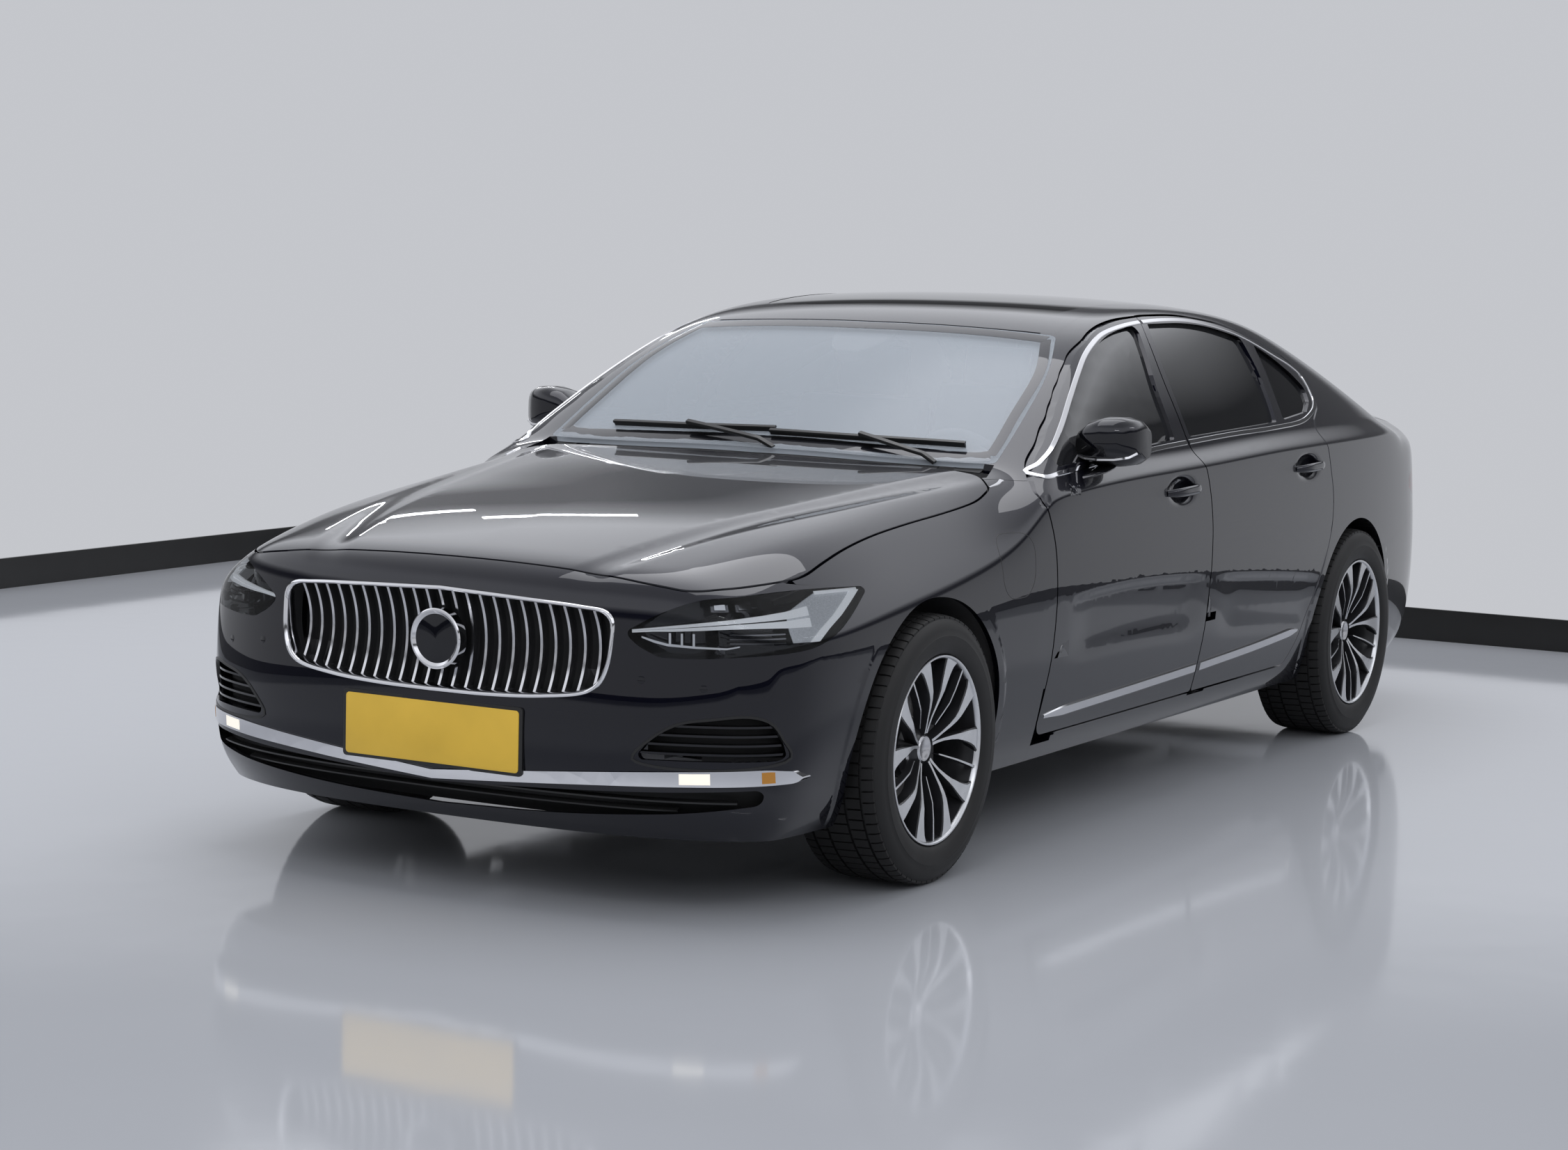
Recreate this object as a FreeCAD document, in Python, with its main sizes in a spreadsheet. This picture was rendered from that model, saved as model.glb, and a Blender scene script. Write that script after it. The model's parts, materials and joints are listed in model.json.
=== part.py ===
"""Long four-door saloon car.

Millimetres.  The nose points to -Y, the car's left side is +X, and the tyres stand on Z = 0.
The outside is one smooth skin.  Its lines are drawn at stations, which count rearwards from the
front axle of a car of the drawn size, and the driving sizes in the sheet stretch them.
"""
import FreeCAD, Part
import math
import os

Vector = FreeCAD.Vector

SIZES = (
    ("wheelbase", 3061),
    ("front_overhang", 872),
    ("rear_overhang", 1150),
    ("body_width", 1879),
    ("body_height", 1450),
    ("track", 1628),
    ("tyre_radius", 341),
    ("tyre_width", 255),
    ("bead_radius", 241),
    ("arch_radius", 384),
    ("panel_gap", 6),
    ("panel_depth", 14),
    ("pillar_depth", 72),
    ("door_edge", 24),
    ("door_depth", 92),
    ("door_rebate", 32),
    ("glass_depth", 5),
    ("fit_gap", 0.3),
    ("hood_depth", 24),
    ("bumper_depth", 14),
    ("lamp_depth", 70),
    ("grille_bars", 23),
    ("grille_bar_width", 8),
    ("disc_radius", 160),
    ("disc_width", 24),
    ("steering_wheel_radius", 185),
    ("floor_height", 240),
    ("ground_clearance", 165),
    ("seat_width", 520),
    ("mirror_reach", 1010),
)

doc = FreeCAD.newDocument("saloon")
sheet = doc.addObject("Spreadsheet::Sheet", "Sizes")
for row, (alias, number) in enumerate(SIZES, start=1):
    sheet.set("A%d" % row, alias)
    sheet.set("B%d" % row, str(number))
    sheet.setAlias("B%d" % row, alias)
doc.recompute()


def size(alias):
    """Value of one driving size."""
    return float(sheet.get(alias))


# Stations and the stretch from the drawing to the driving sizes

DRAWN_FRONT, DRAWN_BASE, DRAWN_REAR = 872.0, 3061.0, 1150.0
DRAWN_HALF, DRAWN_HEIGHT, DRAWN_BELT = 939.5, 1450.0, 1000.0
FRONT_AXLE = (size("front_overhang") - size("wheelbase") - size("rear_overhang")) / 2
REAR_AXLE = FRONT_AXLE + size("wheelbase")
WHEEL_HEIGHT = size("tyre_radius")
GAP = size("panel_gap")
FIT = size("fit_gap")


def along(station):
    """Y of a station."""
    if station < 0:
        return FRONT_AXLE + station * size_front
    if station < DRAWN_BASE:
        return FRONT_AXLE + station * size_base
    return REAR_AXLE + (station - DRAWN_BASE) * size_rear


def station_at(y):
    """Station of a Y, the way back from along()."""
    ahead = y - FRONT_AXLE
    if ahead < 0:
        return ahead / size_front
    if y < REAR_AXLE:
        return ahead / size_base
    return DRAWN_BASE + (y - REAR_AXLE) / size_rear


def across(x):
    """Real X of a drawn X."""
    return x * size_across


def high(z):
    """Real Z of a drawn Z: a taller car grows above its belt."""
    if z < DRAWN_BELT:
        return z
    return DRAWN_BELT + (z - DRAWN_BELT) * size_above


def drawn_height(z):
    """Drawn Z of a real Z, the way back from high()."""
    if z < DRAWN_BELT:
        return z
    return DRAWN_BELT + (z - DRAWN_BELT) / size_above


size_front = size("front_overhang") / DRAWN_FRONT
size_base = size("wheelbase") / DRAWN_BASE
size_rear = size("rear_overhang") / DRAWN_REAR
size_across = size("body_width") / 2 / DRAWN_HALF
size_above = (size("body_height") - DRAWN_BELT) / (DRAWN_HEIGHT - DRAWN_BELT)


class Line:
    """Smooth line through a few points, straight past its ends."""

    def __init__(self, *points):
        self.at = [p[0] for p in points]
        self.to = [p[1] for p in points]
        last = len(points) - 1
        self.bend = [0.0] * (last + 1)
        scale = [0.0] * (last + 1)
        for i in range(1, last):
            before = self.at[i] - self.at[i - 1]
            after = self.at[i + 1] - self.at[i]
            share = before / (before + after)
            pull = share * self.bend[i - 1] + 2
            self.bend[i] = (share - 1) / pull
            turn = (self.to[i + 1] - self.to[i]) / after - (self.to[i] - self.to[i - 1]) / before
            scale[i] = (6 * turn / (before + after) - share * scale[i - 1]) / pull
        for i in range(last - 1, -1, -1):
            self.bend[i] = self.bend[i] * self.bend[i + 1] + scale[i]
        self.bend[0] = 0.0
        self.bend[last] = 0.0
        span = self.at[1] - self.at[0]
        self.start_slope = (self.to[1] - self.to[0]) / span - span * self.bend[1] / 6
        span = self.at[last] - self.at[last - 1]
        self.end_slope = (self.to[last] - self.to[last - 1]) / span + span * self.bend[last - 1] / 6

    def __call__(self, t):
        if t <= self.at[0]:
            return self.to[0] + (t - self.at[0]) * self.start_slope
        if t >= self.at[-1]:
            return self.to[-1] + (t - self.at[-1]) * self.end_slope
        low, top = 0, len(self.at) - 1
        while top - low > 1:
            middle = (low + top) // 2
            if self.at[middle] > t:
                top = middle
            else:
                low = middle
        span = self.at[top] - self.at[low]
        a = (self.at[top] - t) / span
        b = 1 - a
        curve = (a ** 3 - a) * self.bend[low] + (b ** 3 - b) * self.bend[top]
        return a * self.to[low] + b * self.to[top] + curve * span * span / 6


def ramp(t, softness):
    """Zero below t = 0 and t above it, with a soft corner."""
    return 0.5 * (t + math.sqrt(t * t + softness * softness))


def soft_max(a, b, softness):
    """The larger of two, blended where they meet."""
    return 0.5 * (a + b + math.sqrt((a - b) ** 2 + softness * softness))


def soft_min(a, b, softness):
    """The smaller of two, blended where they meet."""
    return -soft_max(-a, -b, softness)


def step(t):
    """Smooth step from 0 to 1."""
    t = min(1.0, max(0.0, t))
    return t * t * t * (t * (6 * t - 15) + 10)


# Lines of the skin.  Each is drawn against the station unless its name says otherwise.

plan_width = Line((-872, 894), (-600, 914), (-300, 926), (0, 931), (500, 936), (1500, 939),
                  (2400, 939), (3061, 931), (3411, 917), (3761, 888), (4061, 845), (4211, 815))
crease_height = Line((-872, 800), (-300, 862), (300, 905), (920, 943), (1736, 960), (2228, 972),
                     (2876, 978), (3534, 976), (4211, 960))
lean = Line((-872, 0.42), (2200, 0.42), (2761, 0.50), (3361, 0.62), (4211, 0.62))
hood_height = Line((-932, 768), (-812, 822), (-672, 856), (-400, 904), (0, 951), (350, 986),
                   (620, 1008), (1300, 1030), (2461, 1075), (3461, 1092), (3861, 1078),
                   (4101, 1064), (4211, 1052))
crown = Line((-872, 24), (-500, 20), (0, 16), (350, 12), (640, 8), (900, 0), (2761, 0),
             (3261, 20), (3761, 46), (4211, 60))
crest_fall = Line((-872, 0.55), (-300, 0.8), (200, 0.8), (500, 0.55), (720, 0.15), (900, 0.0),
                  (3161, 0.0), (3661, 0.3), (4211, 0.4))
crest_width = Line((-872, 620), (-600, 665), (-200, 710), (400, 722), (800, 730), (3061, 720),
                   (4211, 690))
screen_height = Line((540, 962), (620, 1007), (980, 1208), (1320, 1372), (1500, 1445),
                     (1900, 1600))
roof_height = Line((1100, 1290), (1330, 1372), (1480, 1408), (1720, 1438), (2020, 1450),
                   (2350, 1444), (2700, 1420), (3161, 1352), (3461, 1270))
rear_screen_height = Line((2361, 1500), (2861, 1383), (3161, 1280), (3511, 1128), (3621, 1075),
                          (3961, 900))
nose_over_width = Line((0, 0), (250, 6), (450, 27), (600, 62), (720, 112), (800, 165),
                       (860, 240), (900, 360), (930, 560))
nose_over_height = Line((120, 130), (190, 70), (260, 22), (340, 4), (440, 0), (540, 3),
                        (660, 11), (762, 24), (830, 50), (900, 100))
tail_over_width = Line((0, 0), (300, 14), (550, 55), (700, 120), (790, 210), (850, 330),
                       (890, 480), (920, 700))
tail_over_height = Line((120, 190), (200, 110), (280, 40), (380, 8), (480, 0), (600, 4),
                        (720, 22), (860, 44), (1000, 62), (1075, 70), (1150, 100))


def side_width(station, z):
    """Half width of the body sides at a height."""
    above = z - crease_height(station)
    width = plan_width(station) - (z - 650) ** 2 / 10400 - lean(station) * ramp(above, 16)
    width -= 22 * step((station - 200) / 700) * step((above + 10) / 75)
    if above > 0:
        width -= above * above / 5200
    width -= 0.55 * ramp(235 - z, 40)
    width -= 0.14 * ramp(500 - z, 60)
    return width


def top_height(x, station):
    """Height of hood, screens, roof and deck."""
    past_crest = ramp(x - crest_width(station), 70) - ramp(-crest_width(station), 70)
    low = hood_height(station) - crown(station) * (x / 700) ** 2
    low -= max(0.0, crest_fall(station)) * past_crest
    screen = screen_height(station - 70 * (x / 700) ** 2)
    roof = roof_height(station) - 26 * (x / 640) ** 2.2
    rear_screen = rear_screen_height(station + 90 * (x / 600) ** 2)
    cabin = soft_min(soft_min(screen, roof, 26), rear_screen, 50)
    return soft_max(low, cabin, 14)


def outside(x, station, z):
    """Above zero outside the skin and below zero inside it, in drawn coordinates."""
    x = abs(x)
    far = soft_max(x - side_width(station, z), 0.93 * (z - top_height(x, station)), 44)
    nose = -DRAWN_FRONT + nose_over_width(x) + nose_over_height(z) - station
    far = soft_max(far, nose, 46)
    tail = station - (DRAWN_BASE + DRAWN_REAR - tail_over_width(x) - tail_over_height(z))
    return soft_max(far, tail, 50)


def outside_at(point):
    """The same for a real point."""
    return outside(point.x / size_across, station_at(point.y), drawn_height(point.z))


def meet_skin(origin, direction, reach):
    """Point where a ray, walked inwards from its reach, meets the skin."""
    stride = 45.0
    far = reach
    value_far = outside_at(origin + direction * far)
    near = far - stride
    value_near = outside_at(origin + direction * near)
    while value_near > 0:
        far, value_far = near, value_near
        near = far - stride
        value_near = outside_at(origin + direction * near)
        if near < -reach:
            raise ValueError("no skin on this ray")
    for _ in range(9):
        share = value_near / (value_near - value_far)
        share = min(0.9, max(0.1, share))
        middle = near + (far - near) * share
        value = outside_at(origin + direction * middle)
        if value > 0:
            far, value_far = middle, value
        else:
            near, value_near = middle, value
    return origin + direction * (near + (far - near) * value_near / (value_near - value_far))


class Skin:
    """A net of rays and the points where they meet the skin."""

    def __init__(self, rays, reach):
        self.directions = [[direction for origin, direction in row] for row in rays]
        self.points = [[meet_skin(origin, direction, reach) for origin, direction in row]
                       for row in rays]

    def part(self, first, last):
        """The same net between two of its rows."""
        cut = Skin((), 0)
        cut.directions = self.directions[first:last]
        cut.points = self.points[first:last]
        return cut

    def surface(self, depth):
        """Smooth surface through the points, moved inwards along the rays."""
        moved = [[point - direction * depth for point, direction in zip(*rows)]
                 for rows in zip(self.points, self.directions)]
        surface = Part.BSplineSurface()
        surface.interpolate(moved)
        return surface

    def wall(self, outer, inner):
        """Closed solid between two depths under the skin."""
        near = self.surface(outer)
        far = self.surface(inner)
        faces = [near.toShape(), far.toShape()]
        low_u, top_u, low_v, top_v = near.bounds()
        far_u, far_top_u, far_v, far_top_v = far.bounds()
        pairs = ((near.uIso(low_u), far.uIso(far_u)), (near.uIso(top_u), far.uIso(far_top_u)),
                 (near.vIso(low_v), far.vIso(far_v)), (near.vIso(top_v), far.vIso(far_top_v)))
        for first, second in pairs:
            faces.append(Part.makeRuledSurface(first.toShape(), second.toShape()))
        shell = Part.makeShell(faces)
        shell.sewShape()
        solid = Part.makeSolid(Part.Shell(shell.Faces) if shell.ShapeType != "Shell" else shell)
        if solid.Volume < 0:
            solid.reverse()
        return solid


# Outlines

def rounded(corners, place):
    """Closed wire through corners (a, b, radius); a radius of None runs as smoothly as it can."""
    count = len(corners)
    starts, ends, middles = [], [], []
    for i in range(count):
        before = Vector(*corners[i - 1][:2], 0)
        here = Vector(*corners[i][:2], 0)
        after = Vector(*corners[(i + 1) % count][:2], 0)
        back = before - here
        ahead = after - here
        room_back, room_ahead = back.Length, ahead.Length
        back.normalize()
        ahead.normalize()
        half = math.acos(max(-1.0, min(1.0, back.dot(ahead)))) / 2
        room = 0.47 * min(room_back, room_ahead)
        radius = corners[i][2]
        reach = room if radius is None else min(room, radius / math.tan(half))
        if reach < 0.05 or math.pi / 2 - half < 0.004:
            starts.append(here)
            ends.append(here)
            middles.append(None)
            continue
        radius = reach * math.tan(half)
        towards = back + ahead
        towards.normalize()
        centre = here + towards * (radius / math.sin(half))
        starts.append(here + back * reach)
        ends.append(here + ahead * reach)
        middles.append(centre - towards * radius)
    edges = []
    for i in range(count):
        if middles[i] is not None:
            arc = Part.Arc(place(starts[i]), place(middles[i]), place(ends[i]))
            edges.append(arc.toShape())
        following = starts[(i + 1) % count]
        if (following - ends[i]).Length > 0.01:
            edges.append(Part.LineSegment(place(ends[i]), place(following)).toShape())
    return Part.Wire(edges)


def grown(corners, distance):
    """The same corners with every side moved outwards."""
    count = len(corners)
    area = sum(corners[i - 1][0] * corners[i][1] - corners[i][0] * corners[i - 1][1]
               for i in range(count))
    turn = 1 if area > 0 else -1
    result = []
    for i in range(count):
        normals = []
        for first, second in ((i - 1, i), (i, (i + 1) % count)):
            run = Vector(corners[second][0] - corners[first][0],
                         corners[second][1] - corners[first][1], 0)
            run.normalize()
            normals.append(Vector(run.y * turn, -run.x * turn, 0))
        both = normals[0] + normals[1]
        move = both * (2 * distance / both.dot(both))
        if move.Length > 2 * abs(distance):
            move = move * (2 * abs(distance) / move.Length)
        radius = corners[i][2]
        if radius is not None:
            radius = max(0.0, radius + distance)
        result.append((corners[i][0] + move.x, corners[i][1] + move.y, radius))
    return result


def side_corners(stations):
    """Corners drawn as (station, height, radius) at their real Y and Z."""
    return [(along(s), high(z), radius) for s, z, radius in stations]


def plan_corners(half):
    """Both sides of corners drawn as (half width, station, radius), as real X and Y."""
    left = [(across(x), along(s), radius) for x, s, radius in half]
    right = [(-x, y, radius) for x, y, radius in reversed(left) if x > 0]
    return left + right


def front_corners(half):
    """Both sides of corners drawn as (half width, height, radius), as real X and Z."""
    left = [(across(x), high(z), radius) for x, z, radius in half]
    right = [(-x, z, radius) for x, z, radius in reversed(left) if x > 0]
    return left + right


def side_prism(corners, low=-50.0, top=1300.0):
    """Prism across the car, from an outline in Y and Z."""
    wire = rounded(corners, lambda p: Vector(low, p.x, p.y))
    return Part.Face(wire).extrude(Vector(top - low, 0, 0))


def plan_prism(corners, low=-100.0, top=1700.0):
    """Upright prism from an outline in X and Y."""
    wire = rounded(corners, lambda p: Vector(p.x, p.y, low))
    return Part.Face(wire).extrude(Vector(0, 0, top - low))


def front_prism(corners, low, top):
    """Prism along the car, from an outline in X and Z."""
    wire = rounded(corners, lambda p: Vector(p.x, low, p.y))
    return Part.Face(wire).extrude(Vector(0, top - low, 0))


def box(x, y, z):
    """Plain box between two X, two Y and two Z."""
    return Part.makeBox(x[1] - x[0], y[1] - y[0], z[1] - z[0], Vector(x[0], y[0], z[0]))


def mirrored(shape):
    """The same shape on the other side of the car."""
    return shape.mirror(Vector(0, 0, 0), Vector(1, 0, 0))


def only_solids(shape):
    """The solids of a boolean's result, as one shape."""
    solids = [solid for solid in shape.Solids if solid.Volume > 50]
    if len(solids) == 1:
        return solids[0]
    return Part.makeCompound(solids)


def carved(shape, tool):
    """Shape less a tool that reaches into it; a cut that took nothing is done more loosely."""
    result = shape.cut(tool)
    for slack in (0.001, 0.01):
        if result.Volume > shape.Volume - 1000:
            result = shape.cut([tool], slack)
    return result


PIECES = []


def piece(label, shape):
    """A sub-part of the document with its own shape."""
    found = doc.addObject("Part::Feature", label)
    found.Label = label
    found.Shape = shape
    found.Placement = FreeCAD.Placement()
    PIECES.append(found)
    return found


# Outlines of the panels, each corner with its radius

MID_CUT = ((1811, 1389, 0), (1765, 1330, None), (1712, 1215, None), (1690, 1031, None),
           (1712, 960, None), (1740, 880, None), (1757, 792, None), (1757, 700, None),
           (1750, 600, None), (1742, 450, None), (1738, 288, 12))
front_door_line = side_corners(
    ((655, 288, 40), (664, 410, None), (680, 540, None), (684, 680, None), (672, 800, None),
     (640, 890, None), (634, 940, 30), (682, 974, 12), (840, 1066, None), (935, 1120, None),
     (1055, 1188, None), (1178, 1251, None), (1290, 1302, None), (1483, 1360, None),
     (1650, 1382, None)) + MID_CUT)
rear_door_line = side_corners(
    tuple((s + GAP, z, radius) for s, z, radius in reversed(MID_CUT)) +
    ((1860, 1391, None), (2121, 1391, None), (2445, 1361, None),
    (2651, 1313, None), (2869, 1243, None), (2931, 1172, None), (2903, 1102, None),
    (2790, 1058, 12), (2738, 1010, None), (2762, 920, None), (2797, 815, None),
    (2793, 732, None), (2766, 660, None), (2719, 585, None), (2672, 510, None),
    (2625, 435, None), (2565, 345, None), (2500, 288, 60)))
front_door_hole = side_corners(
    ((640, 276, 0), (640, 958, 20), (694, 976, 20), (840, 1062, None), (935, 1116, None),
     (1055, 1184, None), (1178, 1246, None), (1290, 1295, None), (1486, 1344, None),
     (1660, 1362, None), (1722, 1364, 30),
     (1640, 1215, None), (1602, 1031, None), (1640, 930, None), (1642, 800, 60),
     (1640, 312, 40), (800, 312, 20), (790, 276, 0)))
rear_door_hole = side_corners(
    ((1722, 276, 0), (1730, 450, None), (1741, 600, None), (1748, 700, None),
     (1748, 792, None), (1731, 880, None), (1703, 960, None), (1681, 1031, None),
     (1703, 1215, None), (1757, 1330, None), (1795, 1366, 20), (2121, 1368, None),
     (2440, 1338, None), (2640, 1290, None), (2850, 1225, None), (2900, 1170, None),
     (2876, 1118, None), (2770, 1078, 40), (2706, 1005, None), (2730, 920, None),
     (2762, 815, None), (2758, 740, None), (2735, 670, None), (2690, 598, None),
     (2645, 525, None), (2595, 445, None), (2535, 362, None), (2480, 312, 60), (1860, 312, 20),
     (1850, 276, 0)))
front_window = side_corners(
    ((760, 1004, 14), (869, 1064, None), (1055, 1168, None), (1178, 1232, None),
     (1290, 1283, None), (1486, 1341, None), (1650, 1363, None), (1752, 1368, 16), (1690, 1273, None),
     (1640, 1190, None), (1608, 1044, 12)))
rear_window = side_corners(
    ((1722, 1046, 12), (1752, 1215, None), (1800, 1320, None), (1845, 1371, 14),
     (2121, 1371, None), (2330, 1356, None), (2545, 1318, 16), (2508, 1180, None),
     (2446, 1060, 12)))
quarter_window = side_corners(
    ((2512, 1064, 12), (2552, 1150, None), (2626, 1294, 12), (2740, 1248, None),
     (2826, 1196, None), (2868, 1150, None), (2842, 1112, None), (2760, 1080, 12)))

hood_line = plan_corners(
    ((0, -771, 0), (425, -769, None), (551, -762, None), (652, -735, None), (704, -650, None),
     (742, -540, None), (768, -432, None), (762, -330, None), (755, -200, None),
     (753, -50, None), (760, 120, None), (776, 330, None), (788, 470, None),
     (778, 552, 40), (716, 612, 60), (640, 606, None), (400, 590, None), (0, 582, 0)))
screen_line = plan_corners(
    ((0, 640, 0), (400, 652, None), (640, 684, None), (722, 704, 24), (706, 900, None),
     (676, 1132, None), (592, 1352, 30), (400, 1343, None), (0, 1336, 0)))
roof_line = plan_corners(
    ((0, 1343, 0), (400, 1350, None), (585, 1362, 24), (572, 1520, None), (562, 1900, None),
     (562, 2400, None), (572, 2800, None), (580, 2872, 24), (400, 2890, None), (0, 2896, 0)))
roof_glass_line = plan_corners(
    ((0, 1508, 0), (340, 1514, None), (492, 1530, 60), (500, 1900, None), (500, 2300, None),
     (490, 2620, 60), (340, 2632, None), (0, 2636, 0)))
rear_screen_line = plan_corners(
    ((0, 2903, 0), (400, 2897, None), (584, 2880, 24), (618, 3150, None), (652, 3480, 40),
     (400, 3504, None), (0, 3512, 0)))
lid_line = plan_corners(
    ((0, 3519, 0), (400, 3511, None), (660, 3488, 40), (684, 3700, None), (704, 3900, None),
     (712, 4060, None), (712, 4300, 0), (0, 4300, 0)))
LAMP_ANGLE = math.radians(45)
headlamp_line = ((-214, 684, 14), (-189, 655, None), (-141, 630, 40), (-63, 629, None),
                 (44, 636, None), (163, 643, None), (238, 652, None), (300, 677, None),
                 (353, 712, None), (418, 762, 10), (405, 771, 10), (241, 776, None),
                 (90, 772, None), (-60, 764, None), (-150, 726, None))
fender_split = ((-232, 768, 0), (-192, 744, None), (-158, 714, None), (-128, 690, 0),
                (-60, 560, 0), (-60, 500, 0), (1500, 500, 0), (1500, 1200, 0),
                (-500, 1200, 0), (-500, 790, 0), (-440, 784, 0))
grille_line = front_corners(
    ((0, 757, 0), (250, 748, None), (440, 737, None), (486, 722, 26), (487, 640, None),
     (478, 588, None), (462, 556, None), (430, 533, None), (313, 514, None), (164, 505, None),
     (0, 503, 0)))
inlet_line = [(across(x), z, radius) for x, z, radius in (
    (545, 388, 12), (590, 440, 40), (650, 476, None), (720, 489, None), (795, 496, None),
    (828, 482, 24), (846, 445, None), (854, 390, 16))]
strip_line = front_corners(
    ((0, 312, 0), (352, 343, None), (600, 361, None), (828, 371, None), (862, 364, 8),
     (871, 345, 4), (864, 334, None), (675, 328, None), (464, 320, None), (0, 290, 0)))
lower_inlet_line = front_corners(
    ((0, 284, 0), (352, 300, None), (616, 312, None), (820, 322, 20), (812, 284, 24),
     (670, 262, None), (337, 236, None), (0, 226, 0)))
tail_lamp_line = ((-205, 745, 14), (-60, 742, None), (90, 752, None), (166, 784, 16),
                  (170, 818, 16), (90, 852, None), (-60, 902, None), (-205, 945, 14))


fan_height = Line((-600, 610), (300, 640), (750, 900), (1100, 960), (4200, 960))
FAN_WIDTH = 250.0
LEVEL_ROWS = (196, 222, 250, 290, 350, 430, 510, 590, 670, 740, 800, 850, 890, 925, 960)


def side_rays(stations):
    """Rays across the car up to the crease, then fanned over the roof's or hood's edge."""
    rows = []
    for station in stations:
        y = along(station)
        hub = fan_height(station)
        lift = (hub - LEVEL_ROWS[0]) / (LEVEL_ROWS[-1] - LEVEL_ROWS[0])
        row = []
        for z in LEVEL_ROWS:
            height = LEVEL_ROWS[0] + (z - LEVEL_ROWS[0]) * lift
            row.append((Vector(0, y, height), Vector(1, 0, 0)))
        for turn in range(4, 65, 5):
            angle = math.radians(turn)
            row.append((Vector(across(FAN_WIDTH), y, hub),
                        Vector(math.cos(angle), 0, math.sin(angle))))
        rows.append(row)
    return rows


def top_rays(widths, stations, bow=0.0):
    """Upright rays, whose first row may follow the bow of the nose."""
    last = stations[-1]
    rows = []
    for station in stations:
        share = bow * (last - station) / (last - stations[0])
        rows.append([(Vector(across(x), along(station + share * nose_over_width(abs(x))), 500),
                      Vector(0, 0, 1)) for x in widths])
    return rows


def both_ways(widths):
    """Widths on both sides of the middle."""
    return [-x for x in reversed(widths) if x > 0] + list(widths)


def spread(low, top, count):
    """Evenly spread numbers."""
    return [low + (top - low) * i / (count - 1) for i in range(count)]


def fan_rays(station, heights, half_angle, count, forwards):
    """Level rays fanned around an upright line at a station."""
    rows = []
    for degrees in spread(-half_angle, half_angle, count):
        angle = math.radians(degrees)
        direction = Vector(math.sin(angle), -math.cos(angle) * forwards, 0)
        rows.append([(Vector(0, along(station), z), direction) for z in heights])
    return rows


def lid_rays():
    """Rays over the deck that turn down over the tail."""
    rows = []
    for x in both_ways((0, 130, 260, 380, 480, 560, 620, 670, 715)):
        row = []
        for station in (3480, 3560, 3640, 3720, 3800):
            row.append((Vector(across(x), along(station), 600), Vector(0, 0, 1)))
        for turn in range(80, -20, -9):
            angle = math.radians(turn)
            direction = Vector(0, math.cos(angle), math.sin(angle))
            row.append((Vector(across(x), along(3820), 640), direction))
        rows.append(row)
    return rows


def slanted(line, forwards=1):
    """Prism over a front or rear corner, from an outline on a plane across that corner."""
    cosine, sine = math.cos(LAMP_ANGLE), math.sin(LAMP_ANGLE)
    across_corner = Vector(sine, cosine * forwards, 0)
    outwards = Vector(cosine, -sine * forwards, 0)
    base = Vector(0, along(0) if forwards > 0 else along(DRAWN_BASE), 0)
    wire = rounded(line, lambda p: base + across_corner * p.x + Vector(0, 0, p.y) + outwards * 300)
    return Part.Face(wire).extrude(outwards * 1100)


def corner_rays(places, heights, forwards=1):
    """Level rays over a front or rear corner."""
    cosine, sine = math.cos(LAMP_ANGLE), math.sin(LAMP_ANGLE)
    across_corner = Vector(sine, cosine * forwards, 0)
    outwards = Vector(cosine, -sine * forwards, 0)
    base = Vector(0, along(0) if forwards > 0 else along(DRAWN_BASE), 0)
    return [[(base + across_corner * a + Vector(0, 0, z), outwards) for z in heights]
            for a in places]


def front_rays(widths, heights):
    """Level rays straight ahead."""
    return [[(Vector(across(x), along(-400), z), Vector(0, -1, 0)) for z in heights]
            for x in widths]


SIDE_PITCH = 80
SIDE_STATIONS = list(range(-470, 4071, SIDE_PITCH))
side_skin = Skin(side_rays(SIDE_STATIONS), 1150)
HALF_TURN = 77
nose_skin = Skin(fan_rays(150, (190, 214, 240, 270, 310, 360, 420, 490, 560, 630, 690, 740,
                                780, 812, 838), HALF_TURN, 35, 1), 1300)
tail_skin = Skin(fan_rays(3100, (190, 220, 250, 290, 340, 400, 470, 540, 600, 650, 700),
                          HALF_TURN, 31, -1), 1300)
hood_skin = Skin(top_rays(both_ways((0, 150, 300, 420, 520, 600, 660, 705, 740, 770, 800)),
                          spread(-826, 640, 18), 0.95), 1150)
screen_skin = Skin(top_rays(both_ways((0, 180, 340, 470, 570, 640, 690, 735)),
                            spread(600, 1400, 11)), 1150)
roof_skin = Skin(top_rays(both_ways((0, 180, 340, 460, 540, 600)), spread(1320, 2930, 14)), 1150)
rear_skin = Skin(top_rays(both_ways((0, 180, 340, 470, 570, 640, 680)),
                          spread(2860, 3550, 9)), 1150)
lid_skin = Skin(lid_rays(), 1150)


lamp_skin = Skin(corner_rays(spread(-250, 450, 13), spread(600, 800, 7)), 1400)
tail_lamp_skin = Skin(corner_rays(spread(-230, 200, 9), spread(700, 980, 7), -1), 1600)
grille_skin = Skin(front_rays(both_ways((0, 120, 250, 360, 450, 510)), spread(480, 790, 9)), 1000)


# Cutting tools shared by neighbours

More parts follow.
